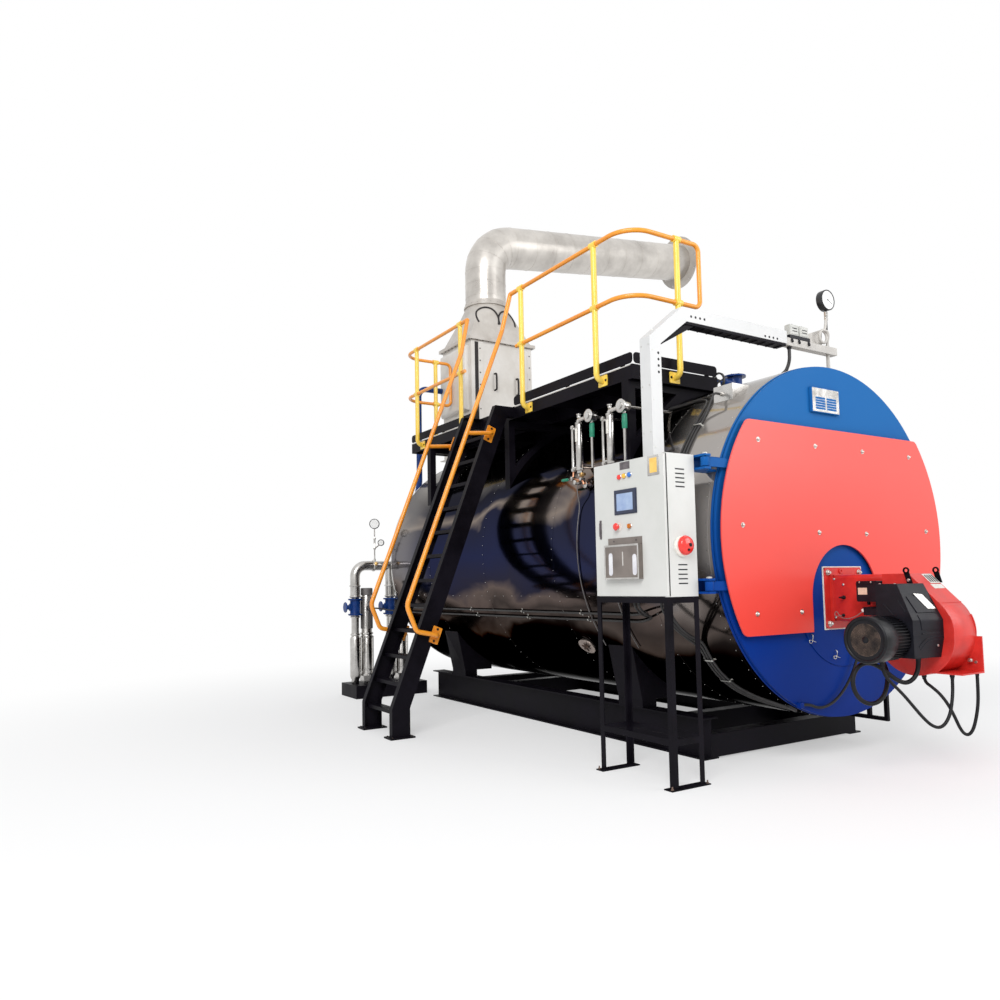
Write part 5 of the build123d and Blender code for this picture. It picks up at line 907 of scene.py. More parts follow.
def cover_side(y, z):
    """How far out the right side of the cover lies at a place."""
    share = (y - COVER_NEAR_Y) / (COVER_FAR_Y - COVER_NEAR_Y)
    rows = [
        (level, FAN_AXIS[0] + out + flare * share)
        for (level, out), flare in zip(COVER_EDGE, COVER_FLARE)
    ]
    for (z1, x1), (z0, x0) in zip(rows, rows[1:]):
        if z >= z0:
            return x0 + (x1 - x0) * (z - z0) / (z1 - z0)
    return rows[-1][1]


def add_cover_skin(built, corners, lift, rows=10):
    """A raised skin on the cover's side between four (y, z) corners."""
    (ya, za), (yb, zb), (yc, zc), (yd, zd) = corners
    grids = []
    for raised in (-0.002, lift):
        grid = []
        for i in range(rows + 1):
            u = i / rows
            line = []
            for j in range(rows + 1):
                v = j / rows
                y = (1 - v) * ((1 - u) * ya + u * yb) + v * ((1 - u) * yd + u * yc)
                z = (1 - v) * ((1 - u) * za + u * zb) + v * ((1 - u) * zd + u * zc)
                out = Vector((0.93, 0, 0.37)) if z > 1.0333 else Vector(FRONT)
                line.append(built.verts.new(Vector((cover_side(y, z), y, z)) + out * raised))
            grid.append(line)
        grids.append(grid)
    under, over = grids
    for i in range(rows):
        for j in range(rows):
            built.faces.new((over[i][j], over[i + 1][j], over[i + 1][j + 1], over[i][j + 1]))
    border = [(i, 0) for i in range(rows)] + [(rows, j) for j in range(rows)]
    border += [(i, rows) for i in range(rows, 0, -1)] + [(0, j) for j in range(rows, 0, -1)]
    for (i0, j0), (i1, j1) in zip(border, border[1:] + border[:1]):
        built.faces.new((under[i0][j0], under[i1][j1], over[i1][j1], over[i0][j0]))
    return built


cover_relief = bmesh.new()
add_cover_skin(cover_relief, ((-0.47, 1.18), (-0.285, 1.18), (-0.285, 1.078), (-0.44, 1.078)), 0.005)
add_cover_skin(cover_relief, ((-0.445, 1.064), (-0.28, 1.064), (-0.28, 0.972), (-0.43, 0.972)), 0.004)
add_cover_skin(cover_relief, ((-0.43, 0.955), (-0.28, 0.955), (-0.28, 0.945), (-0.43, 0.945)), 0.004)
piece("cover_lid", cover_relief, moulded_black, "burner_door", 0.0015)
ARC = [
    (cover_side(y, z) + 0.0005, y, z)
    for y, z in (
        (-0.455, 0.868), (-0.43, 0.895), (-0.395, 0.918), (-0.343, 0.926), (-0.3, 0.927), (-0.268, 0.927)
    )
]
LOWER_ARC = [(x, y + 0.012, z - 0.018) for x, y, z in ARC[:-1]]
NEAR_RIDGES = (
    ((1.95, -0.5005, 1.136), (1.985, -0.5005, 1.095), (2.012, -0.5005, 1.066)),
    ((2.046, -0.5005, 1.156), (2.072, -0.5005, 1.118), (2.092, -0.5005, 1.086)),
)
bent_rod(
    "cover_ridges", (ARC, LOWER_ARC, *NEAR_RIDGES), 0.0028, moulded_black, "burner_door"
)
piece(
    "cover_plate",
    add_cover_skin(
        bmesh.new(), ((-0.402, 1.196), (-0.325, 1.19), (-0.268, 1.098), (-0.338, 1.1)), 0.0072, 4
    ),
    stainless, "burner_door", 0.0006,
)
cover_screws = bmesh.new()
add_turned(
    cover_screws, ((0.008, 0), (0.008, 0.004), (0.006, 0.006), (0, 0.006)),
    (cover_side(-0.294, 0.872) - 0.001, -0.294, 0.872), FRONT, 14,
)
for x in (FAN_AXIS[0] - 0.06, FAN_AXIS[0] + 0.04):
    add_turned(cover_screws, ((0.007, 0), (0.007, 0.003), (0, 0.004)), (x, -0.488, 1.2598), UP, 12)
piece("cover_screws", cover_screws, zinc, "burner_door")

# Fan motor: black aluminium body with cooling fins and a dished cowl, whose
# near end is a round wire grille over the fan.
MOTOR_NEAR = -0.76
MOTOR_R = 0.128
COWL_R = 0.146
FIN_ENDS = (-0.648, -0.504)
FINS = 44
GRILLE_R = 0.098
WIRE_PITCH = 0.0068
dress(motor_black, "fan_motor", edge=0.002)
motor_end = (FAN_AXIS[0], MOTOR_NEAR, FAN_AXIS[1])
cowl = bmesh.new()
lip_turns = [radians(-10 + 20 * step) for step in range(10)]
lip = [(COWL_R - 0.012 + 0.0125 * cos(a), 0.0125 * sin(a)) for a in lip_turns]
add_turned(cowl, (*lip, (COWL_R - 0.03, 0.002), (GRILLE_R + 0.004, -0.001)), motor_end, NEAR, 64)
for i in range(FINS):
    add_block(
        cowl, (MOTOR_R - 0.002, FIN_ENDS[0], -0.0016), (MOTOR_R + 0.011, FIN_ENDS[1], 0.0016),
        -tau * (i + 0.5) / FINS, "Y", (FAN_AXIS[0], 0, FAN_AXIS[1]),
    )
piece("motor_cowl", cowl, motor_black, "burner_door")
grille = bmesh.new()
for i in range(-14, 15):
    offset = i * WIRE_PITCH
    if abs(offset) < GRILLE_R - 0.002:
        half = sqrt(GRILLE_R ** 2 - offset ** 2)
        for turn in (-45, 45):
            add_block(
                grille, (-half, -0.001, offset - 0.0007), (half, 0.0006, offset + 0.0007),
                radians(turn), "Y", (FAN_AXIS[0], MOTOR_NEAR - 0.0015, FAN_AXIS[1]),
            )
hub = ((0.02, 0), (0.02, 0.004), (0.014, 0.007), (0, 0.008))
add_turned(grille, hub, (FAN_AXIS[0], MOTOR_NEAR - 0.001, FAN_AXIS[1]), NEAR, 24)
piece("cowl_grille", grille, motor_black, "burner_door")
fan_brown = surface(
    "dusty fan", (0.24, 0.165, 0.125), (0.03, 0.022, 0.019), (0.5, 0.8), patch=13, grain=120, shine=0.3
)
piece(
    "cowl_fan", add_turned(bmesh.new(), disc(0.1, 0, 0.0008), motor_end, NEAR, 48),
    fan_brown, "burner_door",
)

# Free cables of the burner and its door, black rubber. Each follows the route
# of its solid and goes back into the object at both ends, in a black nut.
rubber = surface(
    "cable rubber", (0.01, 0.01, 0.011), (0.005, 0.005, 0.006), (0.42, 0.6), patch=14, grain=500, shine=0.25
)


def free_cable(name, node, route, radius):
    """A smooth cable through its route, riding on the burner door in place of its hidden CAD node."""
    cable = smooth_curve(name, (route,), radius, rubber, 5, 10)
    bpy.context.scene.collection.objects.link(cable)
    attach(cable, "burner_door")
    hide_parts(node)


SUPPLY_ROUTE = (
    (1.326, -0.52, 0.425), (1.326, -0.45, 0.425), (1.333, -0.35, 0.386), (1.338, -0.235, 0.4),
    (1.342, -0.135, 0.448), (1.345, -0.045, 0.52), (1.347, 0.03, 0.605), (1.35, 0.085, 0.7),
    (1.362, 0.118, 0.8), (1.386, 0.13, 0.895), (1.386, 0.13, 0.995),
)
HOSE_ROUTE = (
    (2.058, -0.33, 0.798), (2.058, -0.33, 0.729), (2.049, -0.36, 0.668), (2.022, -0.405, 0.632),
    (1.992, -0.455, 0.648), (1.966, -0.505, 0.692), (1.944, -0.555, 0.735), (1.914, -0.602, 0.764),
    (1.88, -0.65, 0.762), (1.855, -0.685, 0.722), (1.842, -0.702, 0.658), (1.845, -0.692, 0.592),
    (1.862, -0.665, 0.538), (1.888, -0.622, 0.508), (1.913, -0.572, 0.51), (1.928, -0.515, 0.545),
    (1.918, -0.455, 0.61), (1.888, -0.395, 0.68), (1.832, -0.34, 0.742), (1.762, -0.302, 0.795),
    (1.7, -0.262, 0.845), (1.662, -0.195, 0.888), (1.65, -0.125, 0.922), (1.65, -0.125, 0.995),
)
NEAR_LOOP_ROUTE = (
    (1.985, -0.6, 0.772), (1.985, -0.6, 0.712), (2.012, -0.572, 0.655), (2.054, -0.52, 0.585),
    (2.09, -0.475, 0.51), (2.128, -0.44, 0.44), (2.158, -0.402, 0.39), (2.183, -0.362, 0.372),
    (2.203, -0.325, 0.395), (2.216, -0.288, 0.455), (2.219, -0.262, 0.54), (2.212, -0.235, 0.615),
    (2.212, -0.235, 0.69),
)
FAR_LOOP_ROUTE = (
    (1.985, -0.15, 0.665), (1.985, -0.15, 0.62), (2.03, -0.146, 0.59), (2.08, -0.137, 0.545),
    (2.122, -0.125, 0.478), (2.15, -0.113, 0.403), (2.168, -0.103, 0.345), (2.19, -0.095, 0.308),
    (2.215, -0.087, 0.305), (2.238, -0.078, 0.34), (2.256, -0.07, 0.415), (2.268, -0.062, 0.5),
    (2.272, -0.06, 0.6), (2.272, -0.06, 0.69),
)
free_cable("burner_supply_cable", "supply_cable", SUPPLY_ROUTE, 0.01)
free_cable("burner_ring_hose", "ring_hose", HOSE_ROUTE, 0.014)
free_cable("motor_cable", "near_loop", NEAR_LOOP_ROUTE, 0.01)
free_cable("servo_cable", "far_loop", FAR_LOOP_ROUTE, 0.01)
CABLE_NUTS = (
    ((2.058, -0.33, 0.797), 0.021), ((1.985, -0.6, 0.7715), 0.0175), ((2.212, -0.235, 0.69), 0.016),
    ((1.985, -0.15, 0.6645), 0.017), ((2.272, -0.06, 0.69), 0.0125), ((1.65, -0.125, 0.995), 0.021),
)
cable_nuts = bmesh.new()
for seat, radius in CABLE_NUTS:
    nut = (
        (radius, -0.001), (radius, 0.012), (0.8 * radius, 0.018), (0.8 * radius, 0.026),
        (0.6 * radius, 0.03),
    )
    add_turned(cable_nuts, nut, seat, DOWN, 6)
piece("cable_nuts", cable_nuts, moulded_black, "burner_door", 0.001)

# Control cabinet: folded sheet steel body and flat door on a rubber seal, powder
# coated pale grey, on a welded black stand. Louvres are pressed in its side.
cabinet_grey = surface(
    "cabinet grey", (0.66, 0.66, 0.635), (0.6, 0.605, 0.575), (0.35, 0.45), grain=380, depth=0.0003
)
foot_brown = surface(
    "worn foot", (0.2, 0.13, 0.1), (0.035, 0.026, 0.024), (0.6, 0.85), patch=14, grain=160, depth=0.0006
)
dress(black_paint, "cabinet_stand", edge=0.0012)
dress(cabinet_grey, "cabinet_body", "cabinet_door", edge=0.002)
body_low, body_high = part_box("cabinet_body")
door_low, door_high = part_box("cabinet_door")
DOOR_Y = door_low.y
VENT_LEVELS = (2.028, 1.998, 1.97, 1.942, 1.913, 1.407, 1.376, 1.346, 1.317, 1.287)
vents = bmesh.new()
vent_hoods = bmesh.new()
for z in VENT_LEVELS:
    add_block(vents, (body_high.x - 0.001, -1.601, z - 0.0055), (body_high.x + 0.0006, -1.521, z + 0.0025))
    add_block(
        vent_hoods, (body_high.x - 0.001, -1.604, z + 0.0025), (body_high.x + 0.004, -1.518, z + 0.0065)
    )
piece("cabinet_vents", vents, moulded_black, "boiler")
piece("cabinet_vent_hoods", vent_hoods, cabinet_grey, "boiler", 0.001)
piece(
    "cabinet_door_seal",
    add_block(
        bmesh.new(), (body_high.x - 0.004, door_high.y + 0.0005, body_low.z + 0.012),
        (body_high.x - 0.0012, door_high.y + 0.004, body_high.z - 0.012),
    ),
    rubber, "boiler",
)

# Cabinet controls: bright bezels with moulded lenses and knobs, a screen in a
# moulded case, a blank plate, a card in a frame and a lock handle, set in the door.
LAMPS = ((0.835, 2.018), (0.886, 2.021), (0.94, 2.023))
LAMP_R = 0.017
lens_finishes = [
    surface(name, light, dark, (0.12, 0.22), coat=0.5, patch=60)
    for name, light, dark in (
        ("lens red", (0.85, 0.03, 0.02), (0.72, 0.018, 0.012)),
        ("lens amber", (0.9, 0.52, 0.04), (0.82, 0.44, 0.03)),
        ("lens blue", (0.015, 0.17, 0.6), (0.01, 0.12, 0.48)),
    )
]
knob_amber = surface("knob amber", (0.62, 0.19, 0.015), (0.4, 0.1, 0.01), (0.2, 0.35), coat=0.3, patch=60)
bezels = bmesh.new()
for x, z in (*LAMPS, (0.81, 1.679), (0.927, 1.676)):
    add_turned(
        bezels, ((LAMP_R + 0.003, -0.0005), (LAMP_R + 0.003, 0.002), (LAMP_R + 0.001, 0.004), (0, 0.004)),
        (x, DOOR_Y, z), NEAR, 28,
    )
piece("lamp_bezels", bezels, stainless, "cabinet_door")
for name, finish, (x, z) in zip(("lamp_red", "lamp_amber", "lamp_blue"), lens_finishes, LAMPS):
    lens_form = add_turned(
        bmesh.new(), ((LAMP_R, 0.003), *dome(LAMP_R, 0.01, 0.007)), (x, DOOR_Y, z), NEAR, 28
    )
    piece(name, lens_form, finish, "cabinet_door")
piece(
    "stop_button",
    add_turned(
        bmesh.new(),
        (
            (0.014, 0.003), (0.014, 0.014), (0.024, 0.02), (0.026, 0.026), (0.021, 0.033), (0.01, 0.036),
            (0, 0.037),
        ),
        (0.81, DOOR_Y, 1.679), NEAR, 32,
    ),
    lens_finishes[0], "cabinet_door",
)
piece(
    "stop_button_ring",
    add_turned(
        bmesh.new(), ((0.029, -0.0005), (0.029, 0.002), (0.016, 0.003), (0.016, 0.005), (0, 0.005)),
        (0.814, DOOR_Y, 1.679), NEAR, 32,
    ),
    ceramic, "cabinet_door",
)
selector = bmesh.new()
add_turned(
    selector, ((0.017, 0.003), (0.017, 0.012), (0.014, 0.014), (0, 0.014)), (0.927, DOOR_Y, 1.676), NEAR, 28
)
add_block(selector, (0.923, DOOR_Y - 0.024, 1.663), (0.931, DOOR_Y - 0.012, 1.689))
piece("selector_switch", selector, knob_amber, "cabinet_door", 0.001)
SCREEN = (0.778, 1.004, 1.76, 1.93)
screen_case = bmesh.new()
x0, x1, z0, z1 = SCREEN
add_block(screen_case, (x0, DOOR_Y - 0.006, z0), (x1, DOOR_Y + 0.0005, z1))
for low, high in (
    ((x0 + 0.006, z0 + 0.006), (x1 - 0.006, z0 + 0.026)),
    ((x0 + 0.006, z1 - 0.026), (x1 - 0.006, z1 - 0.006)),
    ((x0 + 0.006, z0 + 0.026), (x0 + 0.026, z1 - 0.026)),
    ((x1 - 0.034, z0 + 0.026), (x1 - 0.006, z1 - 0.026)),
):
    add_block(screen_case, (low[0], DOOR_Y - 0.01, low[1]), (high[0], DOOR_Y - 0.005, high[1]))
case_blue = surface(
    "screen case", (0.03, 0.038, 0.075), (0.018, 0.024, 0.052), (0.4, 0.55), patch=20, grain=500,
    depth=0.0002,
)
piece("screen_case", screen_case, case_blue, "cabinet_door", 0.002)
screen_glass = surface(
    "screen glass", (0.36, 0.47, 0.66), (0.24, 0.34, 0.58), (0.08, 0.16), coat=0.6, patch=9, depth=0.00005
)
piece(
    "screen_glass",
    add_block(
        bmesh.new(), (x0 + 0.026, DOOR_Y - 0.0068, z0 + 0.026), (x1 - 0.034, DOOR_Y - 0.0058, z1 - 0.026)
    ),
    screen_glass, "cabinet_door",
)
dark_plate = surface(
    "dark plate", (0.17, 0.15, 0.16), (0.09, 0.08, 0.085), (0.4, 0.6), metal=0.4, patch=26, grain=300
)
piece(
    "door_plate", add_block(bmesh.new(), (0.841, DOOR_Y - 0.0014, 2.066), (0.941, DOOR_Y + 0.0004, 2.118)),
    dark_plate, "cabinet_door", 0.0006,
)
piece(
    "card_frame", add_block(bmesh.new(), (1.116, DOOR_Y - 0.003, 1.99), (1.224, DOOR_Y + 0.0004, 2.1195)),
    stainless, "cabinet_door", 0.002,
)
card_yellow = surface(
    "card yellow", (0.9, 0.6, 0.16), (0.83, 0.52, 0.12), (0.5, 0.65), patch=30, grain=300, depth=0.0001
)
piece(
    "card_blank", add_block(bmesh.new(), (1.138, DOOR_Y - 0.0042, 2.008), (1.204, DOOR_Y - 0.0028, 2.104)),
    card_yellow, "cabinet_door",
)
handle = bmesh.new()
add_block(handle, (0.612, DOOR_Y - 0.004, 1.604), (0.632, DOOR_Y + 0.0005, 1.736))
add_block(handle, (0.617, DOOR_Y - 0.013, 1.622), (0.628, DOOR_Y - 0.003, 1.716))
for z in (1.612, 1.728):
    add_turned(handle, disc(0.007, 0.003, 0.007), (0.622, DOOR_Y, z), NEAR, 16)
piece("door_lock_handle", handle, dark_plate, "cabinet_door", 0.0012)

# Document pocket: folded stainless box with a rolled front lip and three slots
# in its front sheet; pale plates in the two wide ones are painted highlights.
rail_pale = surface("rail pale", (0.56, 0.535, 0.5), (0.46, 0.44, 0.41), (0.35, 0.5), patch=5, grain=200)
taupe_steel = surface(
    "brushed taupe", (0.27, 0.235, 0.215), (0.19, 0.165, 0.15), (0.28, 0.42), metal=0.9, patch=5,
    grain=260, stretch=(0.06, 1, 1),
)
dress(taupe_steel, "document_pocket", edge=0.0008)
pocket_low, pocket_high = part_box("document_pocket")
POCKET_TOP = 1.5545
pocket_trim = bmesh.new()
front_y = pocket_low.y
for z0, z1 in ((POCKET_TOP - 0.014, POCKET_TOP), (pocket_low.z, pocket_low.z + 0.012)):
    add_block(pocket_trim, (pocket_low.x, front_y - 0.003, z0), (pocket_high.x, front_y + 0.0006, z1))
for x0, x1 in ((pocket_low.x, pocket_low.x + 0.012), (pocket_high.x - 0.012, pocket_high.x)):
    add_block(pocket_trim, (x0, front_y - 0.0026, pocket_low.z), (x1, front_y + 0.0006, POCKET_TOP))
piece("pocket_rim", pocket_trim, stainless, "cabinet_door", 0.0012)


def add_slot_plate(built, x, z0, z1, half, y, thick):
    """An upright plate with round ends, facing the near side."""
    outline = [(x + half * cos(a), z1 - half + half * sin(a)) for a in (pi * i / 8 for i in range(9))]
    outline += [(x - half * cos(a), z0 + half - half * sin(a)) for a in (pi * i / 8 for i in range(9))]
    near, far = [[built.verts.new((px, py, pz)) for px, pz in outline] for py in (y - thick, y)]
    add_skin(built, (near, far))
    built.faces.new(near)
    return built


# Painted highlights: the pale plates in the two wide slots.
slot_highlight = surface(
    "painted slot highlights", (0.78, 0.78, 0.8), (0.62, 0.61, 0.66), (0.6, 0.8), patch=12, grain=200,
    depth=0.0001,
)
pocket_slot_highlights = bmesh.new()
for x, z0, z1 in ((0.764, 1.345, 1.5), (1.005, 1.345, 1.486)):
    add_slot_plate(pocket_slot_highlights, x, z0, z1, 0.02, front_y + 0.0005, 0.0016)
piece("pocket_slot_highlights", pocket_slot_highlights, slot_highlight, "cabinet_door")
piece(
    "pocket_middle_slot", add_slot_plate(bmesh.new(), 0.888, 1.41, 1.505, 0.0055, front_y + 0.0005, 0.0016),
    rail_pale, "cabinet_door",
)
pocket_screws = bmesh.new()
for x in (0.76, 0.985):
    add_turned(
        pocket_screws, ((0.006, -0.0005), (0.005, 0.003), (0, 0.004)),
        (x, DOOR_Y - 0.002, pocket_high.z - 0.022), NEAR, 14,
    )
piece("pocket_screws", pocket_screws, plate_steel, "cabinet_door")

# Sounder on the cabinet's side: pale moulded base and a red moulded dome with a
# dark lens, screwed to the sheet.
SOUNDER = (-1.552, 1.53)
piece(
    "sounder_base",
    add_turned(
        bmesh.new(), ((0.068, -0.0005), (0.068, 0.014), (0.064, 0.018), (0, 0.018)),
        (body_high.x, SOUNDER[0] - 0.012, SOUNDER[1] - 0.006), FRONT, 40,
    ),
    ceramic, "boiler",
)
sounder_form = ((0.062, 0.015), (0.064, 0.026), *dome(0.059, 0.034, 0.022, 10))
piece(
    "sounder_dome", add_turned(bmesh.new(), sounder_form, (body_high.x, *SOUNDER), FRONT, 44),
    lens_finishes[0], "boiler",
)
sounder_lens = bmesh.new()
for y, z, radius in (
    (SOUNDER[0] + 0.01, SOUNDER[1] + 0.002, 0.012), (SOUNDER[0] - 0.004, SOUNDER[1] - 0.03, 0.008)
):
    add_turned(
        sounder_lens, ((radius, 0.05), (radius, 0.059), (0.7 * radius, 0.062), (0, 0.0625)),
        (body_high.x, y, z), FRONT, 20,
    )
piece("sounder_lens", sounder_lens, moulded_black, "boiler")

# Stand feet: thin rusty plates under the four legs, each with an anchor bolt,
# and cable glands under the cabinet floor.
stand_low, stand_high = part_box("cabinet_stand")
foot_bolts = bmesh.new()
for x in (stand_low.x + 0.016, stand_high.x - 0.016):
    for y in (stand_low.y + 0.016, stand_high.y - 0.016):
        add_bolts(foot_bolts, [(x, y, 0.008)], UP, 0.01)
        add_turned(foot_bolts, ((0.005, 0.006), (0.005, 0.02), (0, 0.021)), (x, y, 0.008), UP, 12)
piece("stand_foot_bolts", foot_bolts, foot_brown, "boiler")
floor_glands = bmesh.new()
for x in (0.8, 0.86, 0.92, 0.98, 1.04):
    add_turned(
        floor_glands, ((0.014, 0), (0.014, 0.012), (0.011, 0.014), (0.011, 0.026), (0.008, 0.03), (0, 0.03)),
        (x, -1.53, body_low.z + 0.0005), DOWN, 8,
    )
piece("floor_glands", floor_glands, moulded_black, "boiler")

# Cable trunk: folded channel in white enamel with an L bend over the front. Small
# dark holes along it, a black cable tray under its arm and a stay in its corner.
trunk_white = surface("trunk white", (0.66, 0.66, 0.655), (0.6, 0.605, 0.6), (0.3, 0.42), grain=380)
dress(trunk_white, "cable_trunk", edge=0.0015)
dress(rail_pale, "gauge_rail", edge=0.0012)
trunk_low, trunk_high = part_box("cable_trunk")
TRUNK_HOLES = [(-1.216 + 0.044 * i, 3.151) for i in range(4)]
TRUNK_HOLES += [(-0.442 + 0.046 * i, 3.13) for i in range(4)]
TRUNK_HOLES += [(-1.54, 2.714 + 0.044 * i) for i in range(4)]
trunk_holes = bmesh.new()
for y, z in TRUNK_HOLES:
    add_turned(trunk_holes, disc(0.0095, -0.0005, 0.0006), (trunk_high.x, y, z), FRONT, 14)
piece("trunk_holes", trunk_holes, moulded_black, "boiler")
tray = bmesh.new()
ARM_LOW = trunk_high.z - 0.1
add_block(tray, (trunk_low.x + 0.006, -1.3, ARM_LOW - 0.02), (trunk_high.x - 0.004, -0.2, ARM_LOW + 0.0005))
for i in range(12):
    y = -1.26 + i * 0.092
    add_block(
        tray, (trunk_low.x + 0.012, y, ARM_LOW - 0.026), (trunk_high.x - 0.008, y + 0.012, ARM_LOW - 0.018)
    )
piece("trunk_tray", tray, black_paint, "boiler", 0.0015)
STAY_ENDS = ((-1.512, 2.93), (-1.19, ARM_LOW - 0.004))
along = Vector((0, STAY_ENDS[1][0] - STAY_ENDS[0][0], STAY_ENDS[1][1] - STAY_ENDS[0][1])).normalized()
normal = Vector((0, -along.z, along.y)) * 0.02
stay_corners = [
    Vector((x, *STAY_ENDS[end])) + normal * side
    for x in (trunk_low.x + 0.03, trunk_high.x - 0.012)
    for end, side in ((0, -1), (0, 1), (1, 1), (1, -1))
]
piece("trunk_stay", add_six_sided(bmesh.new(), stay_corners), black_paint, "boiler", 0.002)
trunk_screws = bmesh.new()
trunk_screw = ((0.005, -0.0005), (0.004, 0.003), (0, 0.0035))
for z in (2.2, 2.52, 2.86, 3.0):
    add_turned(trunk_screws, trunk_screw, (trunk_high.x, -1.594, z), FRONT, 12)
for x in (trunk_low.x + 0.016, trunk_high.x - 0.016):
    for z in (2.3, 2.62, 2.9):
        add_turned(trunk_screws, trunk_screw, (x, trunk_low.y, z), NEAR, 12)
piece("trunk_screws", trunk_screws, zinc, "boiler")

# Gauge rail fittings: two grey pressure switches on a black base, a sheet gusset
# behind them, the siphon coil and its pipe down to the crown, and the conduit
# from the rail.
switch_grey = surface("switch grey", (0.6, 0.6, 0.57), (0.48, 0.48, 0.45), (0.4, 0.55), patch=16, grain=300)
SWITCHES = ((-0.118, -0.018), (0.0, 0.1))
SWITCH_Z = (3.176, 3.285)
switch_boxes = bmesh.new()
switch_base = bmesh.new()
for y0, y1 in SWITCHES:
    add_block(switch_boxes, (1.008, y0, SWITCH_Z[0] + 0.014), (1.062, y1, SWITCH_Z[1]))
    add_block(switch_boxes, (1.06, y0 + 0.01, SWITCH_Z[0] + 0.03), (1.066, y1 - 0.01, SWITCH_Z[1] - 0.012))
    add_turned(
        switch_base, ((0.012, 0), (0.012, 0.006), (0.007, 0.012), (0, 0.013)),
        (1.035, (y0 + y1) / 2, SWITCH_Z[1] - 0.001), UP, 20,
    )
    for z in (SWITCH_Z[0] + 0.052, SWITCH_Z[0] + 0.074):
        add_block(switch_base, (1.065, y0 + 0.022, z), (1.0672, y1 - 0.022, z + 0.007))
add_block(switch_base, (1.004, -0.13, 3.1695), (1.068, 0.112, SWITCH_Z[0] + 0.022))
for y in (-0.11, -0.025, 0.092):
    add_turned(
        switch_base, ((0.009, 0), (0.009, 0.028), (0.006, 0.032), (0, 0.032)), (1.066, y, 3.165),
        (0.35, 0, -1), 12,
    )
piece("pressure_switches", switch_boxes, switch_grey, "boiler", 0.003)
piece("switch_base", switch_base, moulded_black, "boiler", 0.0015)
gusset_corners = [
    (x, y, z)
    for x in (1.008, 1.011)
    for y, z in ((0.115, 3.17), (0.118, 3.245), (0.345, 3.325), (0.34, 3.17))
]
piece("rail_gusset", add_six_sided(bmesh.new(), gusset_corners), rail_pale, "boiler", 0.0008)
SIPHON = (0.312, 3.252)
SIPHON_R = 0.052
gauge_low, gauge_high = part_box("pressure_gauge")
gauge_y = (gauge_low.y + gauge_high.y) / 2
dial_r = (gauge_high.y - gauge_low.y) / 2
gauge_z = gauge_high.z - dial_r
coil = []
for i in range(19):
    a = tau * i / 18
    coil.append((1.036 + 0.016 * i / 18, SIPHON[0] + SIPHON_R * sin(a), SIPHON[1] + SIPHON_R * cos(a)))
siphon_run = [
    (1.035, gauge_y, 3.44), (1.036, gauge_y - 0.01, 3.36), (1.036, gauge_y - 0.028, 3.31), *coil,
    (1.054, 0.355, 3.3), (1.05, gauge_y, 3.27), (1.036, gauge_y, 3.215), (1.036, gauge_y, 3.168),
]
bent_rod("siphon_coil", (siphon_run,), 0.0105, rail_pale, "boiler")
siphon_fittings = bmesh.new()
for z0, z1 in ((gauge_z - dial_r - 0.045, gauge_z - dial_r - 0.01), (3.4, 3.425), (3.169, 3.19)):
    add_turned(siphon_fittings, ((0, z0), *disc(0.017, z0, z1)), (1.036, gauge_y, 0), UP, 6)
piece("siphon_fittings", siphon_fittings, stainless, "boiler", 0.001)
black_flex = surface(
    "flexible conduit", (0.03, 0.028, 0.028), (0.014, 0.013, 0.013), (0.4, 0.6), patch=20, grain=300
)
bent_rod(
    "rail_conduit",
    (((1.035, -0.105, 3.112), (1.035, -0.105, 3.06), (1.03, -0.1, 3.01), (1.02, -0.108, 2.96),
      (1.0, -0.12, 2.915), (0.965, -0.15, 2.886)),),
    0.013, black_flex, "boiler",
)
piece(
    "conduit_nuts",
    add_turned(
        bmesh.new(), ((0, 0), (0.02, 0), (0.02, 0.016), (0.015, 0.02), (0, 0.02)), (1.035, -0.105, 3.1105),
        DOWN, 6,
    ),
    moulded_black, "boiler",
)

# Pressure gauge: black steel case with a white dial, an arc of ticks and a thin
# pointer under glass.
case_black = surface("case black", (0.022, 0.022, 0.024), (0.014, 0.014, 0.015), (0.25, 0.4))
dial_white = surface(
    "dial white", (0.88, 0.88, 0.87), (0.82, 0.82, 0.8), (0.3, 0.4), coat=0.4, patch=40, depth=0.00005
)
dress(case_black, "pressure_gauge", edge=0.001)
face_at = (gauge_high.x, gauge_y, gauge_z)
piece(
    "gauge_dial", add_turned(bmesh.new(), disc(dial_r - 0.009, -0.001, 0.0008), face_at, FRONT, 56),
    dial_white, "boiler",
)


def bead(radius, along, thick, steps):
    """Profile of a round bead about a ring."""
    return [
        (radius + thick * cos(a), along + thick * sin(a))
        for a in (tau * i / steps for i in range(steps + 1))
    ]


piece(
    "gauge_bezel", add_turned(bmesh.new(), bead(dial_r - 0.0055, 0, 0.005, 10), face_at, FRONT, 56),
    case_black, "boiler",
)
marks = bmesh.new()
for i in range(31):
    inner = dial_r - 0.018 - (0.012 if i % 5 == 0 else 0.006)
    add_block(
        marks, (-0.0002, -0.0008, inner), (0.0012, 0.0008, dial_r - 0.018), radians(i * 9 - 135), "X",
        face_at,
    )
add_block(marks, (0.0002, -0.0018, -0.018), (0.002, 0.0018, dial_r - 0.03), radians(-118), "X", face_at)
add_turned(marks, disc(0.006, 0.0005, 0.003), face_at, FRONT, 16)
piece("gauge_marks", marks, case_black, "boiler")

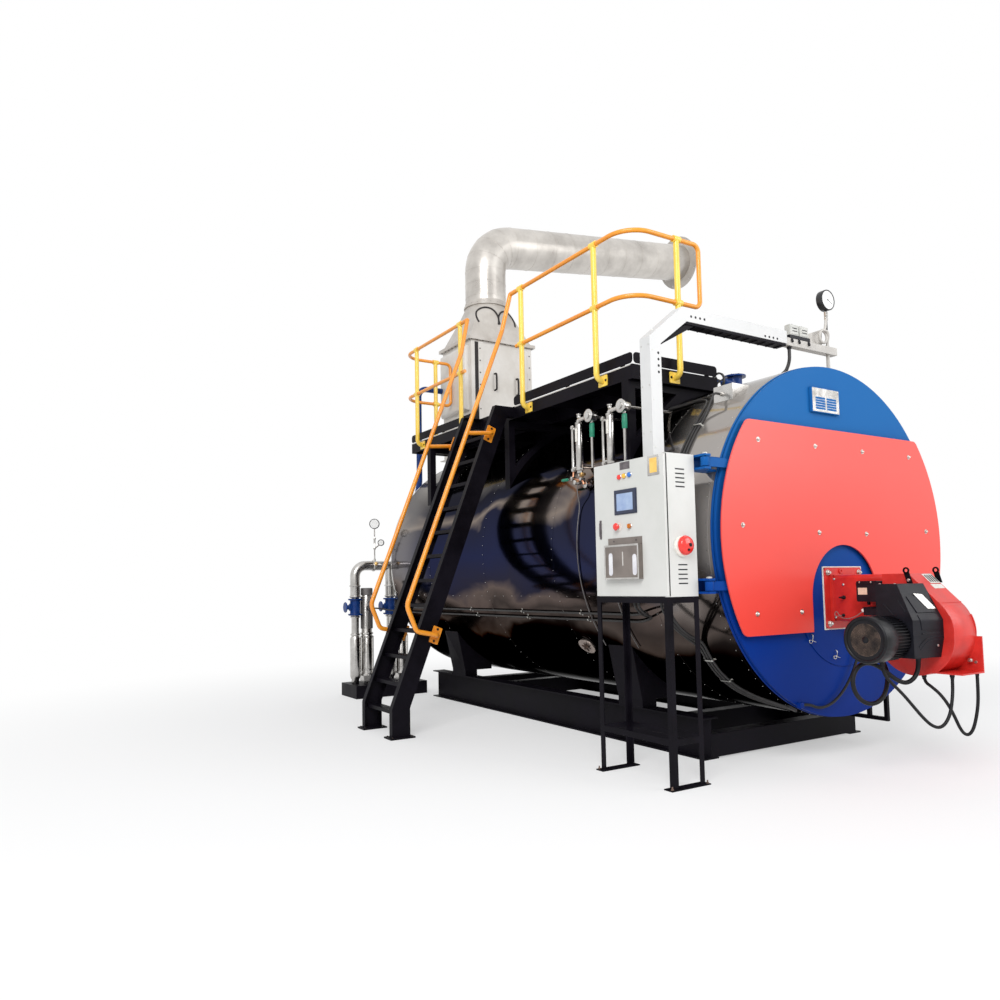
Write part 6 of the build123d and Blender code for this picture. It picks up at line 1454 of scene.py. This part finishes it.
# Platform: black channel frame with a plate deck and toe boards on clips, held
# by brackets on the shell.
dress(black_paint, "platform_frame", "platform_deck", "platform_brackets", "toe_boards", edge=0.0015)
deck_low, deck_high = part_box("platform_frame")
DECK_GAP = (-1.98, -1.3)      # where the ladder comes up
deck_edge = bmesh.new()
toe_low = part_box("toe_boards")[0]
for x0, x1 in ((deck_low.x + 0.02, DECK_GAP[0]), (DECK_GAP[1], deck_high.x - 0.02)):
    add_block(
        deck_edge, (x0, deck_low.y - 0.0015, toe_low.z - 0.009), (x1, deck_low.y + 0.0005, toe_low.z - 0.001)
    )
piece("deck_edge_strip", deck_edge, rail_pale, "boiler")

# Rails and posts: bent steel tube in orange and yellow enamel. Posts are bolted
# to the channel with two bolts at each foot; ladder rails with two at each end.
rail_orange = surface(
    "rail orange", (0.92, 0.34, 0.022), (0.85, 0.28, 0.016), (0.25, 0.38), coat=0.25, grain=120, patch=3
)
post_yellow = surface(
    "post yellow", (0.94, 0.66, 0.095), (0.88, 0.57, 0.06), (0.25, 0.38), coat=0.25, grain=120, patch=3
)
dress(rail_orange, "guardrail_front", "guardrail_rear", "ladder_handrails")
dress(post_yellow, "guard_posts_front", "guard_posts_rear")
POST_FEET = (0.025, -1.055, -2.221, -3.265)
POST_BOLT_OUT = 0.04
bolt_black = surface(
    "bolt black", (0.05, 0.035, 0.028), (0.02, 0.016, 0.014), (0.4, 0.6), metal=0.6, patch=40
)
post_plate_y = deck_low.y - 0.008
foot_z = (deck_low.z + deck_high.z) / 2
post_bolts = bmesh.new()
for x in POST_FEET:
    for side in (-1, 1):
        add_bolts(post_bolts, [(x + side * POST_BOLT_OUT, post_plate_y, foot_z)], NEAR, 0.01)
for side in (-1, 1):
    add_bolts(post_bolts, [(deck_high.x + 0.008, -0.69 + side * POST_BOLT_OUT, foot_z)], FRONT, 0.01)
    add_bolts(post_bolts, [(deck_low.x - 0.008, -0.77 + side * POST_BOLT_OUT, foot_z)], REAR, 0.01)
piece("post_foot_bolts", post_bolts, bolt_black, "boiler")

# Ladder: folded channel stringers with plate treads welded between them, in black
# paint, bolted down at its foot plates and to the handrails.
LADDER_LEAN = 0.3975
LADDER_FRONT_Y = -2.44
LADDER_WEBS = (-1.981, -1.315)
HAND_ENDS = ((0.179, 0.862), (0.04, 2.715))
dress(black_paint, "ladder_stringers", "ladder_treads", edge=0.0012)
ladder_bolts = bmesh.new()
lean = Vector((0, LADDER_LEAN, 1)).normalized()
for web_x, outward in zip(LADDER_WEBS, (-1, 1)):
    for back, z in HAND_ENDS:
        middle = Vector((web_x + outward * 0.008, LADDER_FRONT_Y + LADDER_LEAN * (z - 0.25) + back, z))
        for side in (-1, 1):
            add_bolts(ladder_bolts, [middle + lean * 0.055 * side], (outward, 0, 0), 0.011)
piece("handrail_bolts", ladder_bolts, bolt_black, "boiler")
floor_bolts = bmesh.new()
for web_x, inward in zip(LADDER_WEBS, (1, -1)):
    for y in (-2.445, -2.265):
        for x in (web_x - inward * 0.02, web_x + inward * 0.088):
            add_bolts(floor_bolts, [(x, y, 0.014)], UP, 0.009)
piece("ladder_floor_bolts", floor_bolts, bolt_black, "boiler")

# Economiser: sheet steel box round the finned tubes, pale enamel gone warm. A
# dark sheet of painted shadow in the gap and a bolted strip at its near front
# corner, a bolted rim under the hood, two grab handles and the pipe flange of its header.
white_sheet = surface(
    "white sheet", (0.74, 0.715, 0.675), (0.6, 0.565, 0.515), (0.32, 0.5), patch=2.2, grain=8, depth=0.002
)
hood_sheet = surface(
    "hood sheet", (0.6, 0.565, 0.52), (0.44, 0.4, 0.355), (0.3, 0.48), patch=3, grain=8, depth=0.002
)
# Near-black: painted shadow in the corner gap and along the hood's arched seams, and the dark steel of the
# grab handles.
dark_steel_and_shadow = surface(
    "dark steel and painted shadow", (0.035, 0.03, 0.03), (0.018, 0.016, 0.016), (0.6, 0.8), patch=9, grain=80, shine=0.3
)
dress(white_sheet, "economiser_casing", "flue_collar", edge=0.003)
dress(hood_sheet, "economiser_hood", edge=0.003)
eco_low, eco_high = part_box("economiser_casing")
hood_low, hood_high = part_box("economiser_hood")
eco_near = -0.45
eco_front = hood_high.x - 0.04
eco_strips = bmesh.new()
gap_shadow_strips = bmesh.new()
eco_bolts = bmesh.new()
for built, y0, y1, out, inset in (
    (gap_shadow_strips, eco_near + 0.052, eco_near + 0.104, 0.0012, 0.02),
    (eco_strips, eco_near + 0.002, eco_near + 0.052, 0.006, 0.01),
    (eco_strips, eco_near + 0.104, eco_near + 0.172, 0.009, 0.01), (eco_strips, 0.385, 0.448, 0.005, 0.01),
):
    add_block(built, (eco_front - 0.001, y0, eco_low.z + inset), (eco_front + out, y1, eco_high.z - inset))
for i in range(9):
    z = eco_low.z + 0.1 + i * 0.152
    add_bolts(eco_bolts, [(eco_front + 0.009, eco_near + 0.126, z)], FRONT, 0.009)
    add_bolts(eco_bolts, [(eco_front + 0.005, 0.415, z)], FRONT, 0.009)
rim_z = hood_low.z - 0.0005
rim_places = [(eco_front + 0.02, -0.45 + i * 0.082, rim_z) for i in range(12)]
rim_places += [(hood_low.x + 0.06 + i * 0.088, hood_low.y + 0.018, rim_z) for i in range(9)]
add_bolts(eco_bolts, rim_places, DOWN, 0.009)
piece("economiser_gap_shadow", gap_shadow_strips, dark_steel_and_shadow, "boiler")
piece("economiser_strips", eco_strips, white_sheet, "boiler", 0.002)
piece("economiser_bolts", eco_bolts, plate_steel, "boiler")
GRABS = ((-0.11, 3.83), (0.215, 3.8))
bent_rod(
    "grab_handles",
    [
        (
            (eco_front - 0.002, y, z - 0.105), (eco_front + 0.04, y, z - 0.105),
            (eco_front + 0.046, y, z - 0.075), (eco_front + 0.046, y, z), (eco_front + 0.046, y, z + 0.075),
            (eco_front + 0.04, y, z + 0.105), (eco_front - 0.002, y, z + 0.105),
        )
        for y, z in GRABS
    ],
    0.0115, dark_steel_and_shadow, "boiler",
)
drain = bmesh.new()
drain_seat = (eco_front, 0.205, eco_low.z + 0.125)
add_turned(
    drain,
    ((0.03, -0.001), (0.03, 0.014), (0.018, 0.016), (0.018, 0.04), (0.026, 0.042), (0.026, 0.056),
     (0.012, 0.06), (0, 0.06)),
    drain_seat, FRONT, 24,
)
piece("economiser_drain", drain, plate_steel, "boiler", 0.001)

# Hood: four sheets folded to a round neck. Dark strips of painted shadow follow
# the arched seams of its front sheet; the neck carries a bolted ring.
NECK_R = 0.265
ARCHES = ((-0.15, 0.15, 205, -25), (0.13, 0.135, 205, -20))
ARCH_Z = 4.66
hood_faces = BVHTree.FromObject(frame["nodes"]["economiser_hood"], bpy.context.evaluated_depsgraph_get())
centre_x = (hood_low.x + hood_high.x) / 2
arch_shadows = []
for arch_y, reach, start, end in ARCHES:
    arch = []
    for i in range(13):
        a = radians(start + (end - start) * i / 12)
        y, z = arch_y + reach * cos(a), ARCH_Z + 1.05 * reach * sin(a)
        hit = hood_faces.ray_cast(Vector((hood_high.x + 1, y, z)), Vector(REAR))
        arch.append(hit[0] + hit[1] * 0.004)
    arch_shadows.append(arch)
bent_rod("hood_arch_shadows", arch_shadows, 0.011, dark_steel_and_shadow, "boiler")
neck = bmesh.new()
neck_z = hood_high.z
add_turned(
    neck,
    ((NECK_R - 0.001, -0.01), (NECK_R + 0.022, -0.01), (NECK_R + 0.022, 0.012), (NECK_R + 0.006, 0.014),
     (NECK_R + 0.006, 0.06), (NECK_R - 0.001, 0.061)),
    (centre_x, 0, neck_z), UP, 72,
)
piece("neck_ring", neck, hood_sheet, "boiler")
neck_places = [(centre_x + x, y, neck_z + 0.012) for x, y in around(NECK_R + 0.013, 20)]
piece("neck_bolts", add_bolts(bmesh.new(), neck_places, UP, 0.008), plate_steel, "boiler")

# Flue: insulated duct under aluminium foil wound in a spiral, in gored sheets on
# the elbow, with thin lap bands. Its end ring is bare for the chimney.
duct_foil = surface(
    "duct foil", (0.7, 0.665, 0.62), (0.5, 0.47, 0.435), (0.26, 0.44), metal=0.85, patch=2.6,
    grain=14, depth=0.004, stretch=(1, 1, 0.3),
)
dress(duct_foil, "flue_duct")
dress(hood_sheet, "duct_flange", edge=0.002)
ELBOW_R = 0.42
ELBOW_TURN = 82               # degrees; the duct goes on rising by what is left to level
ELBOW_TOP = 5.74
DUCT_TILT = radians(90 - ELBOW_TURN)
duct_bands = bmesh.new()
start_z = ELBOW_TOP - ELBOW_R * (1 - sin(DUCT_TILT)) / cos(DUCT_TILT)
places = [(0.0, z, 0.0) for z in (5.02, 5.2)]
for i in range(5):
    turn = ELBOW_TURN * i / 4
    a = radians(turn)
    places.append((ELBOW_R * (1 - cos(a)), start_z + ELBOW_R * sin(a), turn))
bend_end = places[-1]
for i in range(1, 9):
    reach = i * 0.315
    places.append((bend_end[0] + reach * cos(DUCT_TILT), bend_end[1] + reach * sin(DUCT_TILT), ELBOW_TURN))
band_form = (
    (NECK_R - 0.001, -0.01), (NECK_R + 0.0022, -0.009), (NECK_R + 0.0022, 0.009), (NECK_R - 0.001, 0.01)
)
for y, z, turn in places:
    add_turned(duct_bands, band_form, (centre_x, y, z), (0, sin(radians(turn)), cos(radians(turn))), 64)
piece("duct_bands", duct_bands, duct_foil, "boiler")

# Steam valve on the crown: blue cast body with its flanges bolted, a black
# spoked handwheel towards the near side.
valve_blue = surface(
    "valve blue", (0.006, 0.045, 0.22), (0.004, 0.026, 0.13), (0.25, 0.42), patch=9, grain=120,
    depth=0.0006, shine=0.25,
)
dress(valve_blue, "steam_valve", edge=0.002)
dress(case_black, "valve_handwheel")
VALVE_AXIS = (0.3, 0.11)
valve_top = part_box("steam_valve")[1].z - 0.0005
valve_places = [(VALVE_AXIS[0] + x, VALVE_AXIS[1] + y, valve_top) for x, y in around(0.078, 8, 0.5)]
piece(
    "steam_valve_bolts", add_bolts(bmesh.new(), valve_places, UP, 0.008), bolt_black, "boiler"
)

# Terminal box: folded stainless steel with a screwed lid, on the cladding. The
# cables of the shell are black flexible conduit.
dress(stainless, "terminal_box", edge=0.0015)
dress(black_flex, "upper_cables", "lower_cables")
box_low, box_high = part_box("terminal_box")
box_lid = bmesh.new()
add_block(
    box_lid, (box_low.x + 0.004, box_low.y + 0.03, box_high.z - 0.0005),
    (box_high.x - 0.004, box_high.y - 0.004, box_high.z + 0.002),
)
for x in (box_low.x + 0.016, box_high.x - 0.016):
    for y in (box_low.y + 0.044, box_high.y - 0.016):
        add_turned(box_lid, ((0.005, 0.001), (0.004, 0.005), (0, 0.006)), (x, y, box_high.z), UP, 12)
piece("terminal_box_lid", box_lid, stainless, "boiler", 0.0008)

# Level gauges: polished stainless columns with glass tubes beside them, dial
# cocks with turned hubs and green grips, fittings of brass and copper.
GAUGE_COLUMNS = (-0.19, 0.208)
COCK_IN = 0.17
GLASS_OUT = 0.088
COLUMN_Y = -1.235
COLUMN_FOOT = 2.23
COLUMN_TOP = 2.62
COLUMN_HEAD = 2.655
dress(stainless, "level_gauges", edge=0.001)
grip_green = surface("grip green", (0.012, 0.26, 0.15), (0.008, 0.18, 0.1), (0.4, 0.55), patch=30, grain=300)
brass = surface("brass", (0.62, 0.4, 0.16), (0.48, 0.29, 0.11), (0.25, 0.4), metal=1.0, patch=40, grain=300)
copper = surface(
    "copper", (0.66, 0.33, 0.2), (0.46, 0.2, 0.12), (0.28, 0.45), metal=1.0, patch=30, grain=300
)
gauge_metal = bmesh.new()
grips = bmesh.new()
brass_bits = bmesh.new()
for column_x in GAUGE_COLUMNS:
    cock_x = column_x + COCK_IN
    glass_x = column_x - GLASS_OUT
    hub = (
        (0.054, 0), (0.054, 0.01), (0.046, 0.016), (0.03, 0.018), (0.03, 0.028), (0.014, 0.031), (0, 0.031)
    )
    add_turned(gauge_metal, hub, (cock_x, -1.2655, COLUMN_HEAD), NEAR, 32)
    hub_places = [(cock_x + x, -1.278, COLUMN_HEAD + z) for x, z in around(0.042, 6)]
    add_bolts(gauge_metal, hub_places, NEAR, 0.006)
    for z, radius in (
        (COLUMN_TOP - 0.004, 0.036), (COLUMN_TOP + 0.014, 0.024), (COLUMN_FOOT + 0.004, 0.036)
    ):
        add_turned(gauge_metal, ((0, 0), *disc(radius, 0, 0.014)), (column_x, COLUMN_Y, z), UP, 8)
    gland = ((0, 0), (0.019, 0), (0.022, 0.006), (0.022, 0.02), (0.016, 0.028), (0, 0.028))
    for z in (COLUMN_FOOT + 0.002, COLUMN_TOP - 0.03):
        add_turned(gauge_metal, gland, (glass_x, COLUMN_Y, z), UP, 8)
    vent = (
        (0.01, 0), (0.016, 0.004), (0.016, 0.022), (0.022, 0.026), (0.022, 0.034), (0.008, 0.04), (0, 0.04)
    )
    add_turned(gauge_metal, vent, (column_x, COLUMN_Y, COLUMN_HEAD + 0.014), UP, 16)
    grip = ((0, 0), (0.019, 0.001), (0.021, 0.008), (0.022, 0.06), (0.02, 0.112), (0.016, 0.118), (0, 0.119))
    add_turned(grips, grip, (cock_x, COLUMN_Y, COLUMN_HEAD - 0.175), UP, 20)
    for z, radius in ((COLUMN_FOOT - 0.024, 0.024), (COLUMN_FOOT - 0.05, 0.017)):
        nut = ((0, 0), (radius, 0.002), (radius, 0.022), (0, 0.024))
        add_turned(gauge_metal, nut, (column_x, COLUMN_Y, z), UP, 6)
    fitting = ((0, 0), (0.02, 0), (0.02, 0.024), (0.014, 0.028), (0.014, 0.05), (0, 0.05))
    add_turned(brass_bits, fitting, (column_x + 0.01, COLUMN_Y, COLUMN_FOOT - 0.038), FRONT, 6)
piece("gauge_cocks", gauge_metal, stainless, "boiler", 0.0008)
piece("gauge_grips", grips, grip_green, "boiler")
piece("gauge_brass", brass_bits, brass, "boiler")
low_cocks = bmesh.new()
for column_x in GAUGE_COLUMNS:
    for x, z, radius, reach in (
        (column_x - 0.06, 2.166, 0.018, 0.055), (column_x + 0.052, 2.15, 0.015, 0.05),
        (column_x + 0.066, 2.105, 0.03, 0.014), (column_x, 2.128, 0.02, 0.07),
    ):
        add_turned(
            low_cocks, ((0, 0), (radius, 0.002), (radius, reach - 0.003), (0.6 * radius, reach), (0, reach)),
            (x, -1.232, z), NEAR, 8 if radius < 0.025 else 28,
        )
piece("gauge_low_cocks", low_cocks, stainless, "boiler", 0.0008)
bent_rod(
    "gauge_low_pipes",
    [
        (
            (x - GLASS_OUT, COLUMN_Y, 2.24), (x - GLASS_OUT, -1.237, 2.19),
            (x - GLASS_OUT + 0.004, -1.25, 2.168), (x - 0.04, -1.256, 2.16), (x, -1.256, 2.15),
            (x + 0.07, -1.258, 2.14), (x + 0.072, -1.258, 2.105),
        )
        for x in GAUGE_COLUMNS
    ],
    0.009, copper, "boiler",
)
piece(
    "gauge_lever_grip",
    add_turned(
        bmesh.new(), ((0, 0), (0.011, 0.001), (0.013, 0.01), (0.013, 0.08), (0.009, 0.088), (0, 0.089)),
        (GAUGE_COLUMNS[0] - 0.12, -1.268, 2.166), (-1, 0, 0.02), 18,
    ),
    grip_green, "boiler",
)
bent_rod(
    "gauge_lever",
    (((GAUGE_COLUMNS[0] - 0.055, -1.286, 2.164), (GAUGE_COLUMNS[0] - 0.075, -1.284, 2.165),
      (GAUGE_COLUMNS[0] - 0.095, -1.268, 2.166), (GAUGE_COLUMNS[0] - 0.125, -1.268, 2.166)),),
    0.006, stainless, "boiler",
)
bent_rod(
    "gauge_drains",
    [
        [(x, -1.24, 2.17), (x + 0.004, -1.262, 2.12), (x + 0.02, -1.29, 2.06)] +
        [shell_point(x + 0.03, turn, 0.012) for turn in (15, 9, 3, -4, -11, -18, -25, -32, -38)]
        for x in GAUGE_COLUMNS
    ],
    0.0048, plate_steel, "boiler",
)
gauge_scale = bmesh.new()
for column_x in GAUGE_COLUMNS:
    add_block(
        gauge_scale, (column_x - 0.016, -1.2668, COLUMN_TOP - 0.15),
        (column_x + 0.016, -1.2652, COLUMN_TOP - 0.04),
    )
piece("gauge_plates", gauge_scale, ceramic, "boiler", 0.0004)

# Feed pumps: stainless sleeves and motors on a black base, with a polished pipe
# header, clamped joints, blue valves and small gauges.
dress(black_paint, "pump_base", edge=0.003)
dress(stainless, "feed_pumps", "feed_header", edge=0.001)
dress(valve_blue, "feed_riser", edge=0.001)
PUMP_PLACES = (-1.545, -1.09)
RISERS = (-1.692, -1.237)
header_low, header_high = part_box("feed_header")
pump_x = (header_low.x + header_high.x) / 2
pump_bands = bmesh.new()
motor_fins = bmesh.new()
motor_head = ((0.064, 0), (0.072, 0.002), (0.072, 0.08), (0.06, 0.086), (0, 0.086))
for y in PUMP_PLACES:
    for z, radius in ((0.24, 0.078), (0.3, 0.074), (0.69, 0.078), (0.73, 0.078)):
        band = ((0.068, 0), (radius, 0.002), (radius, 0.022), (0.068, 0.024))
        add_turned(pump_bands, band, (pump_x, y, z), UP, 40)
    for out, side in around(0.082, 4, 0.5):
        add_turned(pump_bands, ((0, 0), *disc(0.006, 0, 0.44)), (pump_x + out, y + side, 0.27), UP, 10)
    for i in range(28):
        add_block(
            motor_fins, (0.062, -0.0015, 0.8), (0.073, 0.0015, 1.18), tau * i / 28, "Z", (pump_x, y, 0)
        )
    add_turned(motor_fins, motor_head, (pump_x, y, 1.2), UP, 36)
piece("pump_bands", pump_bands, stainless, "boiler")
piece("pump_motor_fins", motor_fins, plate_steel, "boiler")
header_joints = bmesh.new()
sleeve = ((0.044, 0), (0.052, 0.002), (0.062, 0.03), (0.062, 0.47), (0.052, 0.498), (0.044, 0.5))
for y in RISERS:
    for z in (0.33, 0.72, 0.93, 1.172, 1.3):
        radius = 0.058 if z < 1.1 else 0.068
        joint = (
            (0.04, 0), (radius - 0.006, 0.001), (radius, 0.008), (radius, 0.016), (radius - 0.006, 0.024),
            (0.04, 0.025),
        )
        add_turned(header_joints, joint, (pump_x, y, z), UP, 32)
    add_turned(header_joints, sleeve, (pump_x, y, 0.21), UP, 40)
for y in (-1.47, -1.02):
    joint = ((0.05, 0), (0.064, 0.001), (0.07, 0.01), (0.07, 0.02), (0.064, 0.029), (0.05, 0.03))
    add_turned(header_joints, joint, (pump_x, y, 1.555), (0, 1, 0), 36)
piece("header_joints", header_joints, stainless, "boiler")
valve_parts = bmesh.new()
riser_bolts = bmesh.new()
for y in RISERS:
    for z in (0.962, 1.142):
        flange = ((0.06, 0), (0.084, 0.001), (0.084, 0.017), (0.06, 0.018))
        add_turned(valve_parts, flange, (pump_x, y, z), UP, 36)
    bonnet = ((0.044, 0.045), (0.044, 0.07), (0.03, 0.078), (0.022, 0.112), (0, 0.112))
    add_turned(valve_parts, bonnet, (pump_x, y, 1.059), NEAR, 28)
    add_turned(valve_parts, bead(0.056, 0.124, 0.007, 8), (pump_x, y, 1.059), NEAR, 32)
    for z, way in ((0.96, -1), (1.158, 1)):
        riser_places = [(pump_x + out, y + side, z) for out, side in around(0.063, 8, 0.5)]
        add_bolts(riser_bolts, riser_places, (0, 0, way), 0.006)
piece("riser_valve_parts", valve_parts, valve_blue, "boiler")
piece("riser_bolts", riser_bolts, zinc, "boiler")
STEM_Y, STEM_Z = -1.437, 1.612
pump_gauge = bmesh.new()
for profile, lift, way, steps in (
    (((0.014, 0), (0.014, 0.03), (0.008, 0.034), (0.008, 0.4), (0, 0.4)), -0.004, UP, 12),
    (((0.012, 0.14), (0.016, 0.145), (0.016, 0.175), (0.012, 0.18), (0.012, 0.26), (0.016, 0.265),
      (0.016, 0.29), (0.012, 0.295)), 0, UP, 6),
    (disc(0.007, 0, 0.075), 0.15, (0, 0.8, 0.6), 10),
):
    add_turned(pump_gauge, profile, (pump_x, STEM_Y, STEM_Z + lift), way, steps)
piece("pump_gauge_stem", pump_gauge, stainless, "boiler")
gauge_cases = bmesh.new()
gauge_faces = bmesh.new()
for seat, radius in (
    ((pump_x, STEM_Y, STEM_Z + 0.455), 0.062), ((pump_x, STEM_Y + 0.085, STEM_Z + 0.225), 0.04)
):
    case = (
        (0, -0.014), (radius, -0.013), (radius, 0.01), (radius - 0.004, 0.014), (radius - 0.008, 0.012),
        (0, 0.0115),
    )
    add_turned(gauge_cases, case, seat, (0.85, -0.5, 0), 40)
    add_turned(gauge_faces, disc(radius - 0.009, 0.0105, 0.0125), seat, (0.85, -0.5, 0), 40)
piece("pump_gauge_cases", gauge_cases, case_black, "boiler")
piece("pump_gauge_dials", gauge_faces, dial_white, "boiler")
cock_form = ((0, 0), (0.022, 0.002), (0.024, 0.03), (0.016, 0.04), (0, 0.042))
cock = add_turned(bmesh.new(), cock_form, (pump_x + 0.045, -1.44, 1.57), (1, -0.3, 0.3), 12)
piece("header_cock", cock, brass, "boiler")

# Cable clips: bright strips of plated sheet bent over the cables on the cladding
# and riveted down at their feet, one on each pump cable, one over each bundle.
CLIP_W = 0.013
CLIP_T = 0.0012
CLIP_FOOT = 0.0008        # middle of the strip above the sheet, at its feet
OVER_CABLE = (
    (-0.026, CLIP_FOOT), (-0.0118, CLIP_FOOT), (-0.011, 0.0125), (-0.0078, 0.0196),
    (0, 0.0226), (0.0078, 0.0196), (0.011, 0.0125), (0.0118, CLIP_FOOT), (0.026, CLIP_FOOT),
)


def add_strip(built, route, across):
    """A bent strip of sheet along a route; across is the direction of its width."""
    rings = []
    for i, point in enumerate(route):
        tangent = route[min(i + 1, len(route) - 1)] - route[max(i - 1, 0)]
        thick = across.cross(tangent).normalized() * CLIP_T / 2
        wide = across.normalized() * CLIP_W / 2
        rings.append([
            built.verts.new(corner)
            for corner in (
                point - wide - thick, point + wide - thick, point + wide + thick, point - wide + thick
            )
        ])
    add_skin(built, rings)
    built.faces.new(rings[0])
    built.faces.new(rings[-1])


def cable_middles(tree, line):
    """Middles of the cables that cross a line of (x, turn) places on the shell."""
    found, run = [], []
    for x, turn in line:
        if tree.ray_cast(shell_point(x, turn, 0.08), -shell_out(turn).normalized(), 0.078)[0] is not None:
            run.append((x, turn))
        elif run:
            found.append(run[len(run) // 2])
            run = []
    return found


clips = bmesh.new()
clip_rivets = bmesh.new()
trees = {}
for name in ("lower_cables", "upper_cables"):
    skin = frame["nodes"][name].data
    trees[name] = BVHTree.FromPolygons(
        [frame["nodes"][name].matrix_world @ vertex.co for vertex in skin.vertices],
        [list(face.vertices) for face in skin.polygons],
    )
for x, turns in (
    (-2.1, (-26.0, -23.2)), (-2.02, (-28.6, -26.0)), (-1.16, (-26.0, -23.2)),
    (-1.1, (-28.6, -26.0)), (-0.28, (-26.0, -23.2)), (-0.21, (-28.6, -26.0)),
):
    line = [(x, turns[0] + 0.02 * i) for i in range(int((turns[1] - turns[0]) / 0.02))]
    for _, turn in cable_middles(trees["lower_cables"], line):
        route = [shell_point(x, turn + away / SHELL_R * 180 / pi, lift) for away, lift in OVER_CABLE]
        add_strip(clips, route, Vector(FRONT))
        for away in (-0.019, 0.019):
            seat = shell_point(x, turn + away / SHELL_R * 180 / pi, 0.0012)
            add_turned(clip_rivets, rivet_dome, seat, shell_out(turn), 8)
for name, turn in (("lower_cables", -40.5), ("lower_cables", -50.0), ("upper_cables", 39.5)):
    found = [x for x, _ in cable_middles(trees[name], [(0.8 + 0.001 * i, turn) for i in range(300)])]
    if len(found) < 2:
        continue
    start, end = found[0], found[-1]
    route = [
        shell_point(x, turn, lift)
        for x, lift in (
            (start - 0.03, CLIP_FOOT), (start - 0.013, CLIP_FOOT), (start - 0.011, 0.019),
            (start - 0.006, 0.0224), (start, 0.0228), (end, 0.0228), (end + 0.006, 0.0224),
            (end + 0.011, 0.019), (end + 0.013, CLIP_FOOT), (end + 0.03, CLIP_FOOT),
        )
    ]
    add_strip(clips, route, shell_out(turn).cross(Vector(FRONT)).normalized())
    for x in (start - 0.022, end + 0.022):
        add_turned(clip_rivets, rivet_dome, shell_point(x, turn, 0.0012), shell_out(turn), 8)
piece("cable_clips", clips, zinc, "boiler")
piece("cable_clip_rivets", clip_rivets, plain_sheet, "boiler")
